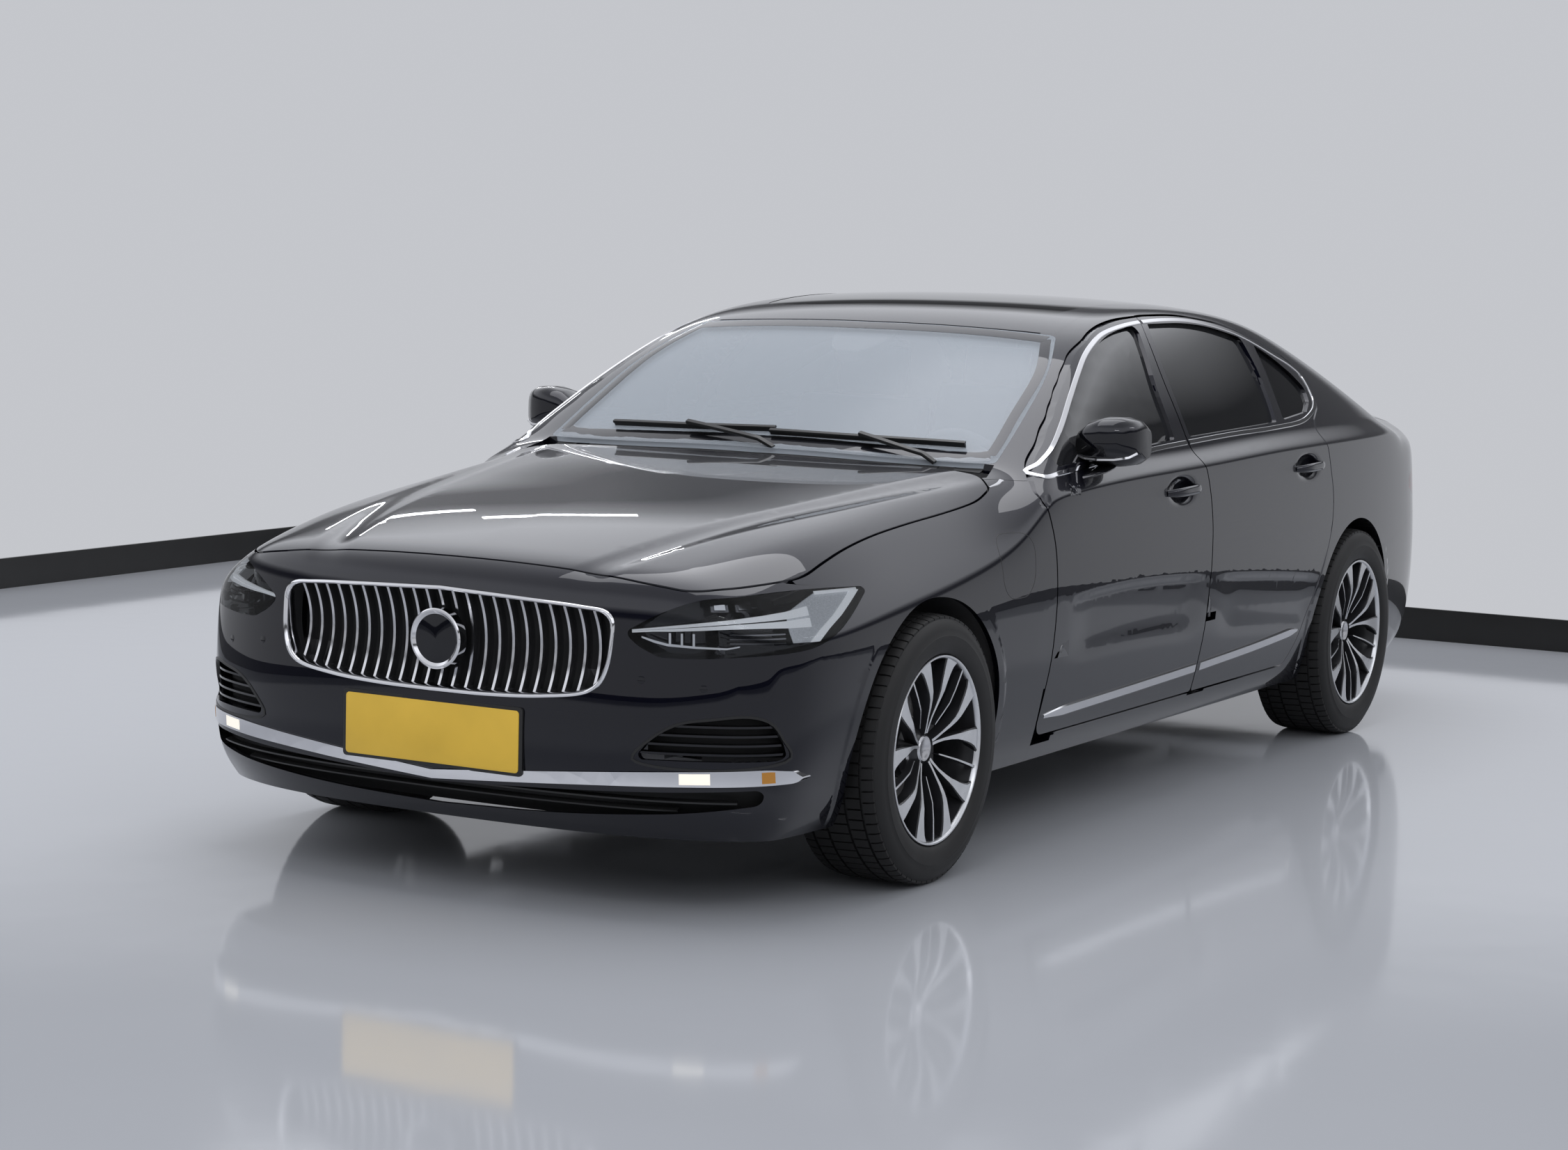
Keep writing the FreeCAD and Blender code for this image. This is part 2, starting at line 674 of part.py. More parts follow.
front_door_cut = side_prism(grown(front_door_line, GAP))
rear_door_cut = side_prism(grown(rear_door_line, GAP))
spine = plan_corners(((0, 630, 0), (500, 640, 0), (540, 1200, 0), (540, 2900, 0), (532, 3540, 0),
                      (0, 3540, 0)))
fixed_top_cut = plan_prism(grown(screen_line, FIT), 500).fuse(
    [plan_prism(grown(roof_line, FIT), 500), plan_prism(grown(rear_screen_line, FIT), 500),
     plan_prism(spine, 500)])
lid_cut = plan_prism(grown(lid_line, GAP), 300)
lid_cut_low = lid_cut.common(box((-1200, 1200), (along(3400), along(4500)), (600 - GAP, 1500)))
hood_cut = plan_prism(grown(hood_line, GAP), 500)
cowl_cut = plan_prism(plan_corners(((0, 570, 0), (716, 570, 0), (742, 614, 0), (722, 700, 0),
                                    (640, 690, 0), (0, 660, 0))), 500)
front_arch = Part.makeCylinder(size("arch_radius"), 2400, Vector(-1200, FRONT_AXLE, WHEEL_HEIGHT),
                               Vector(1, 0, 0))
rear_arch = Part.makeCylinder(size("arch_radius") - 4, 2400,
                              Vector(-1200, REAR_AXLE, WHEEL_HEIGHT), Vector(1, 0, 0))
fender_side = side_prism(side_corners(fender_split), 300)
lamp_hole = slanted(grown(headlamp_line, FIT))
tail_lamp_hole = slanted(grown(tail_lamp_line, FIT), -1)


def side_between(low, top):
    """The side skin's net from one station to another, with a row to spare."""
    first = max(0, int((low - SIDE_STATIONS[0]) / SIDE_PITCH) - 1)
    last = min(len(SIDE_STATIONS), int((top - SIDE_STATIONS[0]) / SIDE_PITCH) + 3)
    return side_skin.part(first, last)


def door(skin, line, window_lines, inner_box):
    """A door: its edge all round, a thick lower part and its window openings."""
    edge = skin.wall(0, size("door_edge")).common(side_prism(line))
    for window in window_lines:
        edge = edge.cut(side_prism(window))
    deep = skin.wall(size("door_edge") / 2, size("door_depth"))
    deep = deep.common(side_prism(inner_box))
    return only_solids(edge.fuse(deep))


def pane(skin, line):
    """A window pane that fills its opening."""
    depth = size("door_edge") / 2
    slab = skin.wall(depth, depth + size("glass_depth"))
    return only_solids(slab.common(side_prism(grown(line, -size("fit_gap")))))


def both_sides(label, shape):
    """A left piece and its mirror image."""
    piece(label + "_left", shape)
    piece(label + "_right", mirrored(shape))


# Doors and their glass

front_door_core = side_corners(((772, 330, 40), (772, 900, 40), (830, 985, 20), (1560, 992, 30),
                                (1612, 900, 40), (1612, 330, 40)))
rear_door_core = side_corners(((1822, 330, 40), (1822, 1000, 30), (2420, 1014, 40),
                               (2690, 1000, 40), (2700, 800, 80), (2640, 640, None),
                               (2560, 480, None), (2470, 370, 50), (2420, 330, 30)))
front_net = side_between(634, 1811)
rear_net = side_between(1690, 2931)
front_door = door(front_net, front_door_line, (front_window,), front_door_core)
front_door = front_door.cut(plan_prism(grown(screen_line, GAP), 1000))
rear_door = door(rear_net, rear_door_line, (rear_window, quarter_window), rear_door_core)

# Door hinges: a pin on the post, between two leaves of it, and an eye on the door

PIN = 5
EYE_RADIUS, LEAF_RADIUS = 9, 7
FRONT_PIN = (across(920), along(730))
REAR_PIN = (across(925), along(1772))
HINGE_HEIGHTS = (545, 775)
EYE_TALL = 26
LEAF_REACH = 33


def eye(pin, back, z):
    """The door's half of a hinge."""
    x, y = pin
    ring = Part.makeCylinder(EYE_RADIUS, EYE_TALL, Vector(x, y, z - EYE_TALL / 2))
    leaf = box((x - EYE_RADIUS, x - 2), (y + 4, y + back), (z - EYE_TALL / 2, z + EYE_TALL / 2))
    return ring.fuse(leaf).cut(Part.makeCylinder(PIN + FIT, 100, Vector(x, y, z - 50)))


def with_hinges(door_shape, pin, front, back):
    """A door with its pockets and eyes."""
    x, y = pin
    for z in HINGE_HEIGHTS:
        pocket = box((x - 60, x + LEAF_RADIUS + 1), (y - front, y + back), (z - 46, z + 46))
        door_shape = door_shape.cut(pocket)
    return only_solids(door_shape.fuse([eye(pin, back + 8, z) for z in HINGE_HEIGHTS]))


def post_hinge(pin, arm):
    """The post's half of a door's hinges: two leaves and the pin, on an arm from the post."""
    x, y = pin
    parts = []
    for z in HINGE_HEIGHTS:
        parts.append(Part.makeCylinder(PIN, 2 * LEAF_REACH, Vector(x, y, z - LEAF_REACH)))
        tall = LEAF_REACH - EYE_TALL / 2 - FIT
        for low in (z - LEAF_REACH, z + EYE_TALL / 2 + FIT):
            parts.append(Part.makeCylinder(LEAF_RADIUS, tall, Vector(x, y, low)))
            parts.append(box((arm[0], x), (y - 1, y + LEAF_RADIUS), (low, low + tall)))
        parts.append(box((arm[0], arm[1]), (arm[2], y + LEAF_RADIUS),
                         (z - LEAF_REACH, z + LEAF_REACH)))
    return parts


front_door = with_hinges(front_door, FRONT_PIN, 40, 44)
rear_door = with_hinges(rear_door, REAR_PIN, 40, 52)
both_sides("front_door", front_door)
both_sides("rear_door", rear_door)
both_sides("front_door_glass", pane(front_net, front_window))
both_sides("rear_door_glass", Part.makeCompound([pane(rear_net, rear_window),
                                                 pane(rear_net, quarter_window)]))

# Mirrors stand on the front doors


def mirror():
    """Mirror head on a short arm that leaves the door below the window."""
    reach = size("mirror_reach")
    stations = ((reach - 175, 958, 1002, 1112), (reach - 120, 950, 998, 1140),
                (reach - 50, 962, 1000, 1142), (reach, 1020, 1020, 1112))
    wires = []
    for x, front, low, top in stations:
        corners = [(along(front), low + 18, 20), (along(front + 30), low, 14),
                   (along(1108), low, 14), (along(1124), (low + top) / 2, None),
                   (along(1108), top, 14), (along(front + 45), top, 24),
                   (along(front), top - 50, 30)]
        wires.append(rounded([(y, high(z), radius) for y, z, radius in corners],
                             lambda p, x=x: Vector(x, p.x, p.y)))
    head = Part.makeLoft(wires, True)
    arm_wires = []
    for x, y, z, wide, tall in ((870, 905, 962, 70, 18), (reach - 130, 990, 985, 55, 20),
                                (reach - 120, 1020, 1010, 60, 22)):
        corners = [(along(y - wide / 2), z - tall / 2, 6), (along(y + wide / 2), z - tall / 2, 6),
                   (along(y + wide / 2), z + tall / 2, 6), (along(y - wide / 2), z + tall / 2, 6)]
        arm_wires.append(rounded(corners, lambda p, x=x: Vector(x, p.x, p.y)))
    arm = Part.makeLoft(arm_wires, True, False)
    return only_solids(head.fuse(arm).cut(side_between(800, 1150).wall(-0.3, 60)))


both_sides("mirror", mirror())

# Body sides: one thick ring, rebated for the doors and cut through inside them

ring_net = side_between(520, 4060)
ring = ring_net.wall(0, size("pillar_depth"))
rebate = ring_net.wall(-20, size("door_rebate"))
ring = ring.common(side_prism(side_corners(
    ((650.3, 216, 0), (2900, 216, 0), (2900, 400, 0), (3100, 520, 0), (3330, 560, 0),
     (3335, 608, 0), (3464, 617, 0), (3673, 669, 0), (3760, 690, 0), (4200, 700, 0),
     (4200, 1500, 0), (540, 1500, 0), (540, 975.3, 0), (770, 975.3, 0), (770, 262, 0),
     (650.3, 262, 0))), 200))
ring = ring.cut(rebate.common(front_door_cut)).cut(rebate.common(rear_door_cut))
for tool in (side_prism(front_door_hole), side_prism(rear_door_hole), fixed_top_cut, cowl_cut,
             lid_cut, hood_cut, rear_arch, tail_lamp_hole):
    ring = carved(ring, tool)
REAR_POST = along(1712)
ring = ring.fuse(post_hinge(REAR_PIN, (across(872), across(890), REAR_POST)))
both_sides("body_side", only_solids(ring))

# Front wings

wing = side_between(-470, 700).wall(0, size("panel_depth"))
wing = wing.common(side_prism(side_corners(
    [(s, z, r) for s, z, r in fender_split if s < 1000][:6] +
    [(100, 400, 0), (300, 216, 0), (650, 216, 0), (650, 420, 0), (760, 420, 0), (760, 975, 0),
     (540, 975, 0), (540, 1200, 0)] + [(-500, 1200, 0), (-500, 790, 0), (-440, 784, 0)]), 300))
for tool in (hood_cut, front_door_cut, front_arch, lamp_hole):
    wing = wing.cut(tool)
both_sides("fender", only_solids(wing))

# Nose: bumper skin with its openings, grille, chrome strip and lamps

bumper = nose_skin.wall(0, size("bumper_depth"))
for tool in (hood_cut, front_arch, lamp_hole, mirrored(lamp_hole), fender_side,
             mirrored(fender_side)):
    bumper = bumper.cut(tool)
for line in (grown(grille_line, size("fit_gap")), grown(strip_line, size("fit_gap")),
             lower_inlet_line, inlet_line, [(-x, z, r) for x, z, r in reversed(inlet_line)]):
    bumper = bumper.cut(front_prism(line, along(-950), along(-300)))
piece("front_bumper", only_solids(bumper))
strip = nose_skin.wall(-5, size("bumper_depth") - 2)
piece("bumper_strip", only_solids(strip.common(front_prism(strip_line, along(-950), along(-300)))))


def grille():
    """Chrome frame with hollow-fronted upright bars, a cross rail behind and a blank boss."""
    skin = grille_skin
    frame = skin.wall(-5, 34).common(front_prism(grille_line, along(-950), along(-700)))
    inner = grown(grille_line, -17)
    frame = frame.cut(front_prism(inner, along(-1000), along(-700)))
    bars = []
    count = int(size("grille_bars"))
    width = size("grille_bar_width")
    pitch = 2 * across(470) / (count + 1)
    field = front_prism(grown(inner, 4), along(-950), along(-700))
    for i in range(count):
        x = pitch * (i + 1) - across(470)
        front = along(-DRAWN_FRONT + nose_over_width(abs(x) / size_across) + 8)
        low = Vector(x - width / 2, front, 490)
        middle = Vector(x - width / 2, front + 40, 625)
        top = Vector(x - width / 2, front + 18, 772)
        face_line = Part.Arc(low, middle, top).toShape()
        back = Vector(0, 26, 0)
        edges = [face_line, Part.LineSegment(top, top + back).toShape(),
                 Part.Arc(top + back, middle + back, low + back).toShape(),
                 Part.LineSegment(low + back, low).toShape()]
        bars.append(Part.Face(Part.Wire(edges)).extrude(Vector(width, 0, 0)).common(field))
    rail = skin.wall(58, 72).common(front_prism(
        front_corners(((0, 648, 0), (474, 648, 0), (474, 612, 0), (0, 612, 0))),
        along(-950), along(-600)))
    cheeks = skin.wall(20, 72).common(front_prism(
        front_corners(((0, 652, 0), (478, 652, 0), (478, 608, 0), (0, 608, 0))),
        along(-950), along(-600)))
    cheeks = cheeks.cut(box((-across(462), across(462)), (along(-1000), along(-500)), (500, 800)))
    boss = Part.makeCylinder(72, 62, Vector(0, along(-DRAWN_FRONT) + 2, 629), Vector(0, 1, 0))
    boss = boss.makeFillet(8, [boss.Edges[2] if len(boss.Edges) > 2 else boss.Edges[0]])
    return only_solids(frame.fuse(bars + [rail, cheeks, boss]))


piece("grille", grille())
lamp = lamp_skin.wall(0, size("lamp_depth")).common(slanted(headlamp_line)).cut(hood_cut)
lamp = only_solids(lamp)
piece("headlamps", Part.makeCompound([lamp, mirrored(lamp)]))

# Tail: bumper skin and lamps

rear_bumper = tail_skin.wall(0, size("bumper_depth"))
rear_bumper = rear_bumper.common(side_prism(side_corners(
    ((3335.4, 200, 0), (4400, 200, 0), (4400, 699.7, 0), (3760, 689.7, 0), (3673, 668.7, 0),
     (3464, 616.7, 0), (3335.4, 607.7, 0))), -1000, 1000))
for tool in (lid_cut_low, rear_arch):
    rear_bumper = rear_bumper.cut(tool)
piece("rear_bumper", only_solids(rear_bumper))
tail_lamp = only_solids(tail_lamp_skin.wall(0, size("lamp_depth")).common(
    slanted(tail_lamp_line, -1)).cut(lid_cut))
piece("tail_lamps", Part.makeCompound([tail_lamp, mirrored(tail_lamp)]))

# Opening panels and fixed panels on top

HOOD_PIN_Y, HOOD_PIN_Z = along(628), 958
LID_PIN_Y, LID_PIN_Z = along(3379), high(1060)
HOOD_ARM_X, LID_ARM_X, ARM_WIDTH = across(590), across(500), 12
ARM_PIN = 8


def arm(points, thick, x):
    """Flat arm through points (y, z) with an eye at the first one, around the hinge's pin."""
    parts = []
    for a, b in zip(points, points[1:]):
        run = Vector(0, b[0] - a[0], b[1] - a[1])
        side = Vector(1, 0, 0).cross(run)
        side.normalize()
        start = Vector(x, a[0], a[1]) - side * (thick / 2)
        corners = [start, start + side * thick, start + side * thick + run, start + run, start]
        parts.append(Part.Face(Part.makePolygon(corners)).extrude(Vector(ARM_WIDTH, 0, 0)))
        parts.append(Part.makeCylinder(thick / 2, ARM_WIDTH, Vector(x, b[0], b[1]), Vector(1, 0, 0)))
    first = Vector(x, points[0][0], points[0][1])
    eye_ring = Part.makeCylinder(16, ARM_WIDTH, first, Vector(1, 0, 0))
    bore = Part.makeCylinder(ARM_PIN + FIT, ARM_WIDTH + 2, first - Vector(1, 0, 0), Vector(1, 0, 0))
    return eye_ring.fuse(parts).cut(bore)


def lean_wire(x, station, z):
    """Section of the wedge that leans the lid's front edge back, to clear the rear window."""
    corners = [Vector(across(x), along(station + ahead), high(z + rise))
               for ahead, rise in ((-3, 6.5), (16, -35), (-20, -35), (-3, 6.5))]
    return Part.makePolygon(corners)


LID_EDGE = ((0, 3519, 1121), (200, 3515, 1116), (400, 3509, 1102), (530, 3499.5, 1091),
            (620, 3491.5, 1082))
hood = hood_skin.wall(0, size("hood_depth")).common(plan_prism(hood_line, 500))
hood_arm = arm(((HOOD_PIN_Y, HOOD_PIN_Z), (along(560), 950), (along(480), 952)), 22,
               HOOD_ARM_X - ARM_WIDTH / 2)
piece("hood", only_solids(hood.fuse([hood_arm, mirrored(hood_arm)])))
lid = lid_skin.wall(0, size("hood_depth")).common(plan_prism(lid_line, 400))
lid = lid.common(box((-1000, 1000), (along(3400), along(4400)), (600, 1400)))
lid_lean = Part.makeLoft([lean_wire(*place) for place in LID_EDGE], True, True)
lid = lid.cut([lid_lean, mirrored(lid_lean)])
lid_arm = arm(((LID_PIN_Y, LID_PIN_Z), (along(3415), LID_PIN_Z - 118),
               (along(3447), LID_PIN_Z - 150), (along(3560), LID_PIN_Z - 140),
               (along(3650), LID_PIN_Z - 60), (along(3662), high(1046))), 24,
              LID_ARM_X - ARM_WIDTH / 2)
piece("boot_lid", only_solids(lid.fuse([lid_arm, mirrored(lid_arm)])))
screen = screen_skin.wall(0, 14).common(plan_prism(screen_line, 500))
piece("windscreen", only_solids(screen))
rear_glass = rear_skin.wall(0, 14).common(plan_prism(rear_screen_line, 500))
piece("rear_window", only_solids(rear_glass))
roof = roof_skin.wall(0, size("panel_depth")).common(plan_prism(roof_line, 500))
roof = roof.cut(plan_prism(grown(roof_glass_line, size("fit_gap")), 500))
piece("roof", only_solids(roof))
roof_glass = roof_skin.wall(1, 8).common(plan_prism(roof_glass_line, 500))
piece("roof_glass", only_solids(roof_glass))


# Wheels

def formula_y(station):
    """Formula of the sheet for a station's Y."""
    front = "(Sizes.front_overhang - Sizes.wheelbase - Sizes.rear_overhang) / 2"
    if station < 0:
        return "%s + Sizes.front_overhang * %.6f" % (front, station / DRAWN_FRONT)
    if station <= DRAWN_BASE:
        return "%s + Sizes.wheelbase * %.6f" % (front, station / DRAWN_BASE)
    return "%s + Sizes.wheelbase + Sizes.rear_overhang * %.6f" % (
        front, (station - DRAWN_BASE) / DRAWN_REAR)


def formula_x(x):
    """Formula of the sheet for a drawn X."""
    return "Sizes.body_width / 2 * %.6f" % (x / DRAWN_HALF)


def block(x, stations, z):
    """Box between two drawn X, two stations and two heights, bound to the sheet."""
    made = doc.addObject("Part::Box", "Block")
    ends = ((formula_x(x[0]), formula_x(x[1])), (formula_y(stations[0]), formula_y(stations[1])),
            (str(z[0]), str(z[1])))
    for name, axis, (low, top) in zip(("Length", "Width", "Height"), "xyz", ends):
        made.setExpression(name, "(%s) - (%s)" % (top, low))
        made.setExpression(".Placement.Base." + axis, low)
    return made


TURN = {"x": FreeCAD.Rotation(Vector(0, 1, 0), 90), "y": FreeCAD.Rotation(Vector(1, 0, 0), -90),
        "z": FreeCAD.Rotation()}


def rod(axis, radius, length, x, y, z):
    """Cylinder along an axis from a place, each size a formula of the sheet."""
    made = doc.addObject("Part::Cylinder", "Rod")
    made.Placement = FreeCAD.Placement(Vector(), TURN[axis])
    made.setExpression("Radius", str(radius))
    made.setExpression("Height", str(length))
    for name, where in zip("xyz", (x, y, z)):
        made.setExpression(".Placement.Base." + name, str(where))
    return made


def fused(pieces, label=None):
    """Several solids as one."""
    made = doc.addObject("Part::MultiFuse", "Fused")
    made.Shapes = pieces
    made.Refine = False
    if label:
        made.Label = label
        PIECES.append(made)
    return made


def less(base, tool, label=None):
    """One solid less another."""
    made = doc.addObject("Part::Cut", "Less")
    made.Base = base
    made.Tool = tool
    if label:
        made.Label = label
        PIECES.append(made)
    return made


def reflected(source, label):
    """The mirror image of an object, on the other side of the car."""
    made = doc.addObject("Part::Mirroring", "Mirror")
    made.Source = source
    made.Normal = Vector(1, 0, 0)
    made.Base = Vector(0, 0, 0)
    made.Label = label
    PIECES.append(made)
    return made


FRONT_Y, REAR_Y = formula_y(0), formula_y(DRAWN_BASE)
RADIUS = "Sizes.tyre_radius"
HALF_TRACK = "Sizes.track / 2"


def sketched(body, name, plane="XZ_Plane"):
    """Sketch on one of a body's planes."""
    sketch = body.newObject("Sketcher::SketchObject", name)
    found = [f for f in body.Origin.OriginFeatures if f.Role == plane][0]
    sketch.AttachmentSupport = [(found, "")]
    sketch.MapMode = "FlatFace"
    return sketch


def profile(sketch, points):
    """Closed outline of straight lines through points."""
    for i, (a, b) in enumerate(points):
        c, d = points[(i + 1) % len(points)]
        sketch.addGeometry(Part.LineSegment(Vector(a, b, 0), Vector(c, d, 0)), False)


def turned(label, outline):
    """Ring turned about the X axis from an outline of (x, radius)."""
    body = doc.addObject("PartDesign::Body", label + "_body")
    sketch = sketched(body, label + "_outline")
    profile(sketch, outline)
    made = body.newObject("PartDesign::Revolution", label + "_turned")
    made.Profile = sketch
    made.ReferenceAxis = (sketch, ["H_Axis"])
    made.Angle = 360
    body.Tip = made
    return body


def place_wheel(body, side, y):
    """Sets a turned body at a wheel's centre."""
    if side < 0:
        body.Placement = FreeCAD.Placement(Vector(), FreeCAD.Rotation(Vector(0, 0, 1), 180))
    body.setExpression(".Placement.Base.x", ("-" if side < 0 else "") + "(%s)" % HALF_TRACK)
    body.setExpression(".Placement.Base.y", y)
    body.setExpression(".Placement.Base.z", RADIUS)


HALF = size("tyre_width") / 2
TREAD = size("tyre_radius")
BEAD = size("bead_radius")
TYRE_OUTLINE = ((-HALF + 14, BEAD), (-HALF + 2, BEAD + 16), (-HALF, BEAD + 46),
                (-HALF + 8, TREAD - 22), (-HALF + 26, TREAD - 5), (-HALF + 48, TREAD),
                (HALF - 48, TREAD), (HALF - 26, TREAD - 5), (HALF - 8, TREAD - 22),
                (HALF, BEAD + 46), (HALF - 2, BEAD + 16), (HALF - 14, BEAD))
DISC = size("disc_radius")
DISC_DEPTH = size("disc_width")
DISC_FACE = -2


def rim(label, side, y):
    """Rim with its hub, ten forked spokes dished inwards, and the brake disc behind."""
    inside = BEAD - FIT
    body = turned(label, (
        (-HALF + 14, inside), (HALF - 12, inside), (HALF - 10, inside - 4),
        (HALF - 16, inside - 14), (HALF - 30, inside - 17), (HALF - 60, inside - 24),
        (-HALF + 30, inside - 24), (-HALF + 18, inside - 14)))
    hub = sketched(body, label + "_hub_outline")
    back = DISC_FACE - DISC_DEPTH
    profile(hub, ((back, 0), (74, 0), (74, 30), (68, 34), (68, 66), (52, 80), (DISC_FACE + 14, 80),
                  (DISC_FACE + 14, 92), (DISC_FACE, 92), (DISC_FACE, DISC), (back, DISC),
                  (back, 70)))
    centre = body.newObject("PartDesign::Revolution", label + "_hub")
    centre.Profile = hub
    centre.ReferenceAxis = (hub, ["H_Axis"])
    centre.Angle = 360
    outline = sketched(body, label + "_spoke_outline", "YZ_Plane")
    outer = inside - 12
    spoke = []
    for radius, degrees in ((60, -9), (150, -6.5), (outer, -13.2), (outer, -6.4), (150, -1.2),
                            (112, 0), (150, 1.2), (outer, 6.4), (outer, 13.2), (150, 6.5),
                            (60, 9)):
        angle = math.radians(degrees)
        spoke.append((radius * math.sin(angle), radius * math.cos(angle)))
    profile(outline, spoke)
    pad = body.newObject("PartDesign::Pad", label + "_spoke")
    pad.Profile = outline
    pad.Length = 118
    body.Tip = pad
    doc.recompute()
    pattern = body.newObject("PartDesign::PolarPattern", label + "_spokes")
    pattern.Originals = [pad]
    pattern.Axis = (outline, ["N_Axis"])
    pattern.Angle = 360
    pattern.Occurrences = 10
    body.Tip = pattern
    doc.recompute()
    front = sketched(body, label + "_front_dish")
    profile(front, ((74.2, 0), (74.2, 30), (68, 34), (68, 66), (66, 90), (74, 130), (88, 170),
                    (100, 200), (HALF - 20, inside - 16.5), (140, inside - 16.5), (140, 0)))
    behind = sketched(body, label + "_back_dish")
    profile(behind, ((-0.1, 92.2), (20, 92.2), (24, 120), (40, 170), (52, inside - 24.2),
                     (-0.1, inside - 24.2)))
    for dish in (front, behind):
        groove = body.newObject("PartDesign::Groove", dish.Name + "_cut")
        groove.Profile = dish
        groove.ReferenceAxis = (dish, ["H_Axis"])
        groove.Angle = 360
        body.Tip = groove
        doc.recompute()
    body.Label = label
    place_wheel(body, side, y)
    PIECES.append(body)
    return body


def tyre(label, side, y):
    """Tyre, with a flat tread and round shoulders."""
    body = turned(label, TYRE_OUTLINE)
    body.Label = label
    place_wheel(body, side, y)
    PIECES.append(body)


for side, name in ((1, "left"), (-1, "right")):
    tyre("tyre_front_" + name, side, FRONT_Y)
    tyre("tyre_rear_" + name, side, REAR_Y)
    rim("rim_front_" + name, side, FRONT_Y)
    rim("rim_rear_" + name, side, REAR_Y)

# Hub carriers.  The front ones turn about an upright line just inboard of the wheel.

PIVOT = 54


def wheel_block(x, y, z, axle):
    """Box set out from a wheel's centre."""
    made = doc.addObject("Part::Box", "Block")
    made.Length, made.Width, made.Height = x[1] - x[0], y[1] - y[0], z[1] - z[0]
    made.setExpression(".Placement.Base.x", "%s + %g" % (HALF_TRACK, x[0]))
    made.setExpression(".Placement.Base.y", "%s + %g" % (axle, y[0]))
    made.setExpression(".Placement.Base.z", "%s + %g" % (RADIUS, z[0]))
    return made


def wheel_rod(axis, radius, length, x, y, z, axle):
    """Cylinder set out from a wheel's centre."""
    return rod(axis, radius, length, "%s + %g" % (HALF_TRACK, x), "%s + %g" % (axle, y),
               "%s + %g" % (RADIUS, z))


def caliper(axle, side):
    """Brake caliper that reaches over the disc with 5 mm to spare."""
    back = DISC_FACE - DISC_DEPTH
    low, top = sorted((side * 98, side * 176))
    outer = wheel_block((back - 40, DISC_FACE + 17), (low, top), (-70, 110), axle)
    slot = wheel_rod("x", "Sizes.disc_radius + 5", DISC_DEPTH + 10, back - 5, 0, 0, axle)
    return less(outer, slot)


def carrier(axle, side, label=None):
    """Hub carrier: bearing, upright with its two ball seats, and the caliper."""
    back = DISC_FACE - DISC_DEPTH
    bearing = wheel_rod("x", 44, 58, back - 58.3, 0, 0, axle)
    upright = wheel_block((-PIVOT - 44, -PIVOT - 8), (-34, 34), (-92, 150), axle)
    low, top = sorted((side * 20, side * 110))
    bridge = wheel_block((-PIVOT - 44, back - 8), (low, top), (-60, 60), axle)
    lower_seat = wheel_rod("z", 20, 22, -PIVOT, 0, -104, axle)
    upper_seat = wheel_rod("z", 20, 18, -PIVOT, 0, 146, axle)
    upper_web = wheel_block((-PIVOT - 30, -PIVOT + 4), (-14, 14), (120, 150), axle)
    return fused([bearing, upright, bridge, lower_seat, upper_seat, upper_web,
                  caliper(axle, side)], label)


knuckle = carrier(FRONT_Y, 1, "knuckle_left")
reflected(knuckle, "knuckle_right")


# Floor: plate between the sills, tunnel, cross members and the kicked-up rear floor

FLOOR = size("floor_height")
FLOOR_PLATE = 26
SILL_DEPTH = size("pillar_depth") + FIT


def slab(x, stations, z):
    """Box between two drawn half widths on both sides, two stations and two heights."""
    return box((across(-x), across(x)), (along(stations[0]), along(stations[1])), z)


def between_sides(shape, depth, low, top):
    """Shape less the body sides down to a depth."""
    side = side_between(low, top).wall(-60, depth)
    return shape.cut(side).cut(mirrored(side))


floor = slab(900, (655, 2560), (FLOOR - FLOOR_PLATE, FLOOR))
floor = between_sides(floor, SILL_DEPTH, 655, 2560)
tunnel = slab(104, (655, 2560), (FLOOR - FLOOR_PLATE, 430))
for low in (1150, 1900):
    tunnel = tunnel.fuse(slab(790, (low, low + 110), (FLOOR - 1, FLOOR + 70)))
floor = floor.fuse(tunnel).cut(slab(84, (600, 2480), (0, 405)))
kick = slab(780, (2440, 2560), (FLOOR - FLOOR_PLATE, 345))
pipe_way = slab(50, (2400, 2600), (0, 300))
rails = [box((across(x), across(x + 60)), (along(700), along(2500)),
             (size("ground_clearance"), FLOOR - 20))
         for x in (560, -620)]
piece("floor_pan", only_solids(floor.fuse([kick] + rails).cut(pipe_way)))

# Rear floor with the boot's well, wheel housings, back panel and parcel shelf

HOUSING = size("arch_radius") + 14
REAR_INNER, FRONT_INNER = 640, 488


def housing(axle, inner, skin_low, skin_top, depth):
    """Half-round wheel housing with its inner wall, up to the body's outer panels."""
    centre = Vector(0, axle, WHEEL_HEIGHT)
    shell = Part.makeCylinder(HOUSING + 5, across(940), centre, Vector(1, 0, 0))
    shell = shell.cut(Part.makeCylinder(HOUSING, across(940), centre, Vector(1, 0, 0)))
    shell = shell.common(box((across(inner - 5), across(940)), (axle - 600, axle + 600),
                             (236, 900)))
    wall = Part.makeCylinder(HOUSING + 2, 5, centre + Vector(across(inner - 5), 0, 0),
                             Vector(1, 0, 0))
    wall = wall.common(box((0, 1000), (axle - 600, axle + 600), (236, 900)))
    shell = shell.fuse(wall).cut(side_between(skin_low, skin_top).wall(-60, depth))
    return max(shell.Solids, key=lambda solid: solid.Volume)


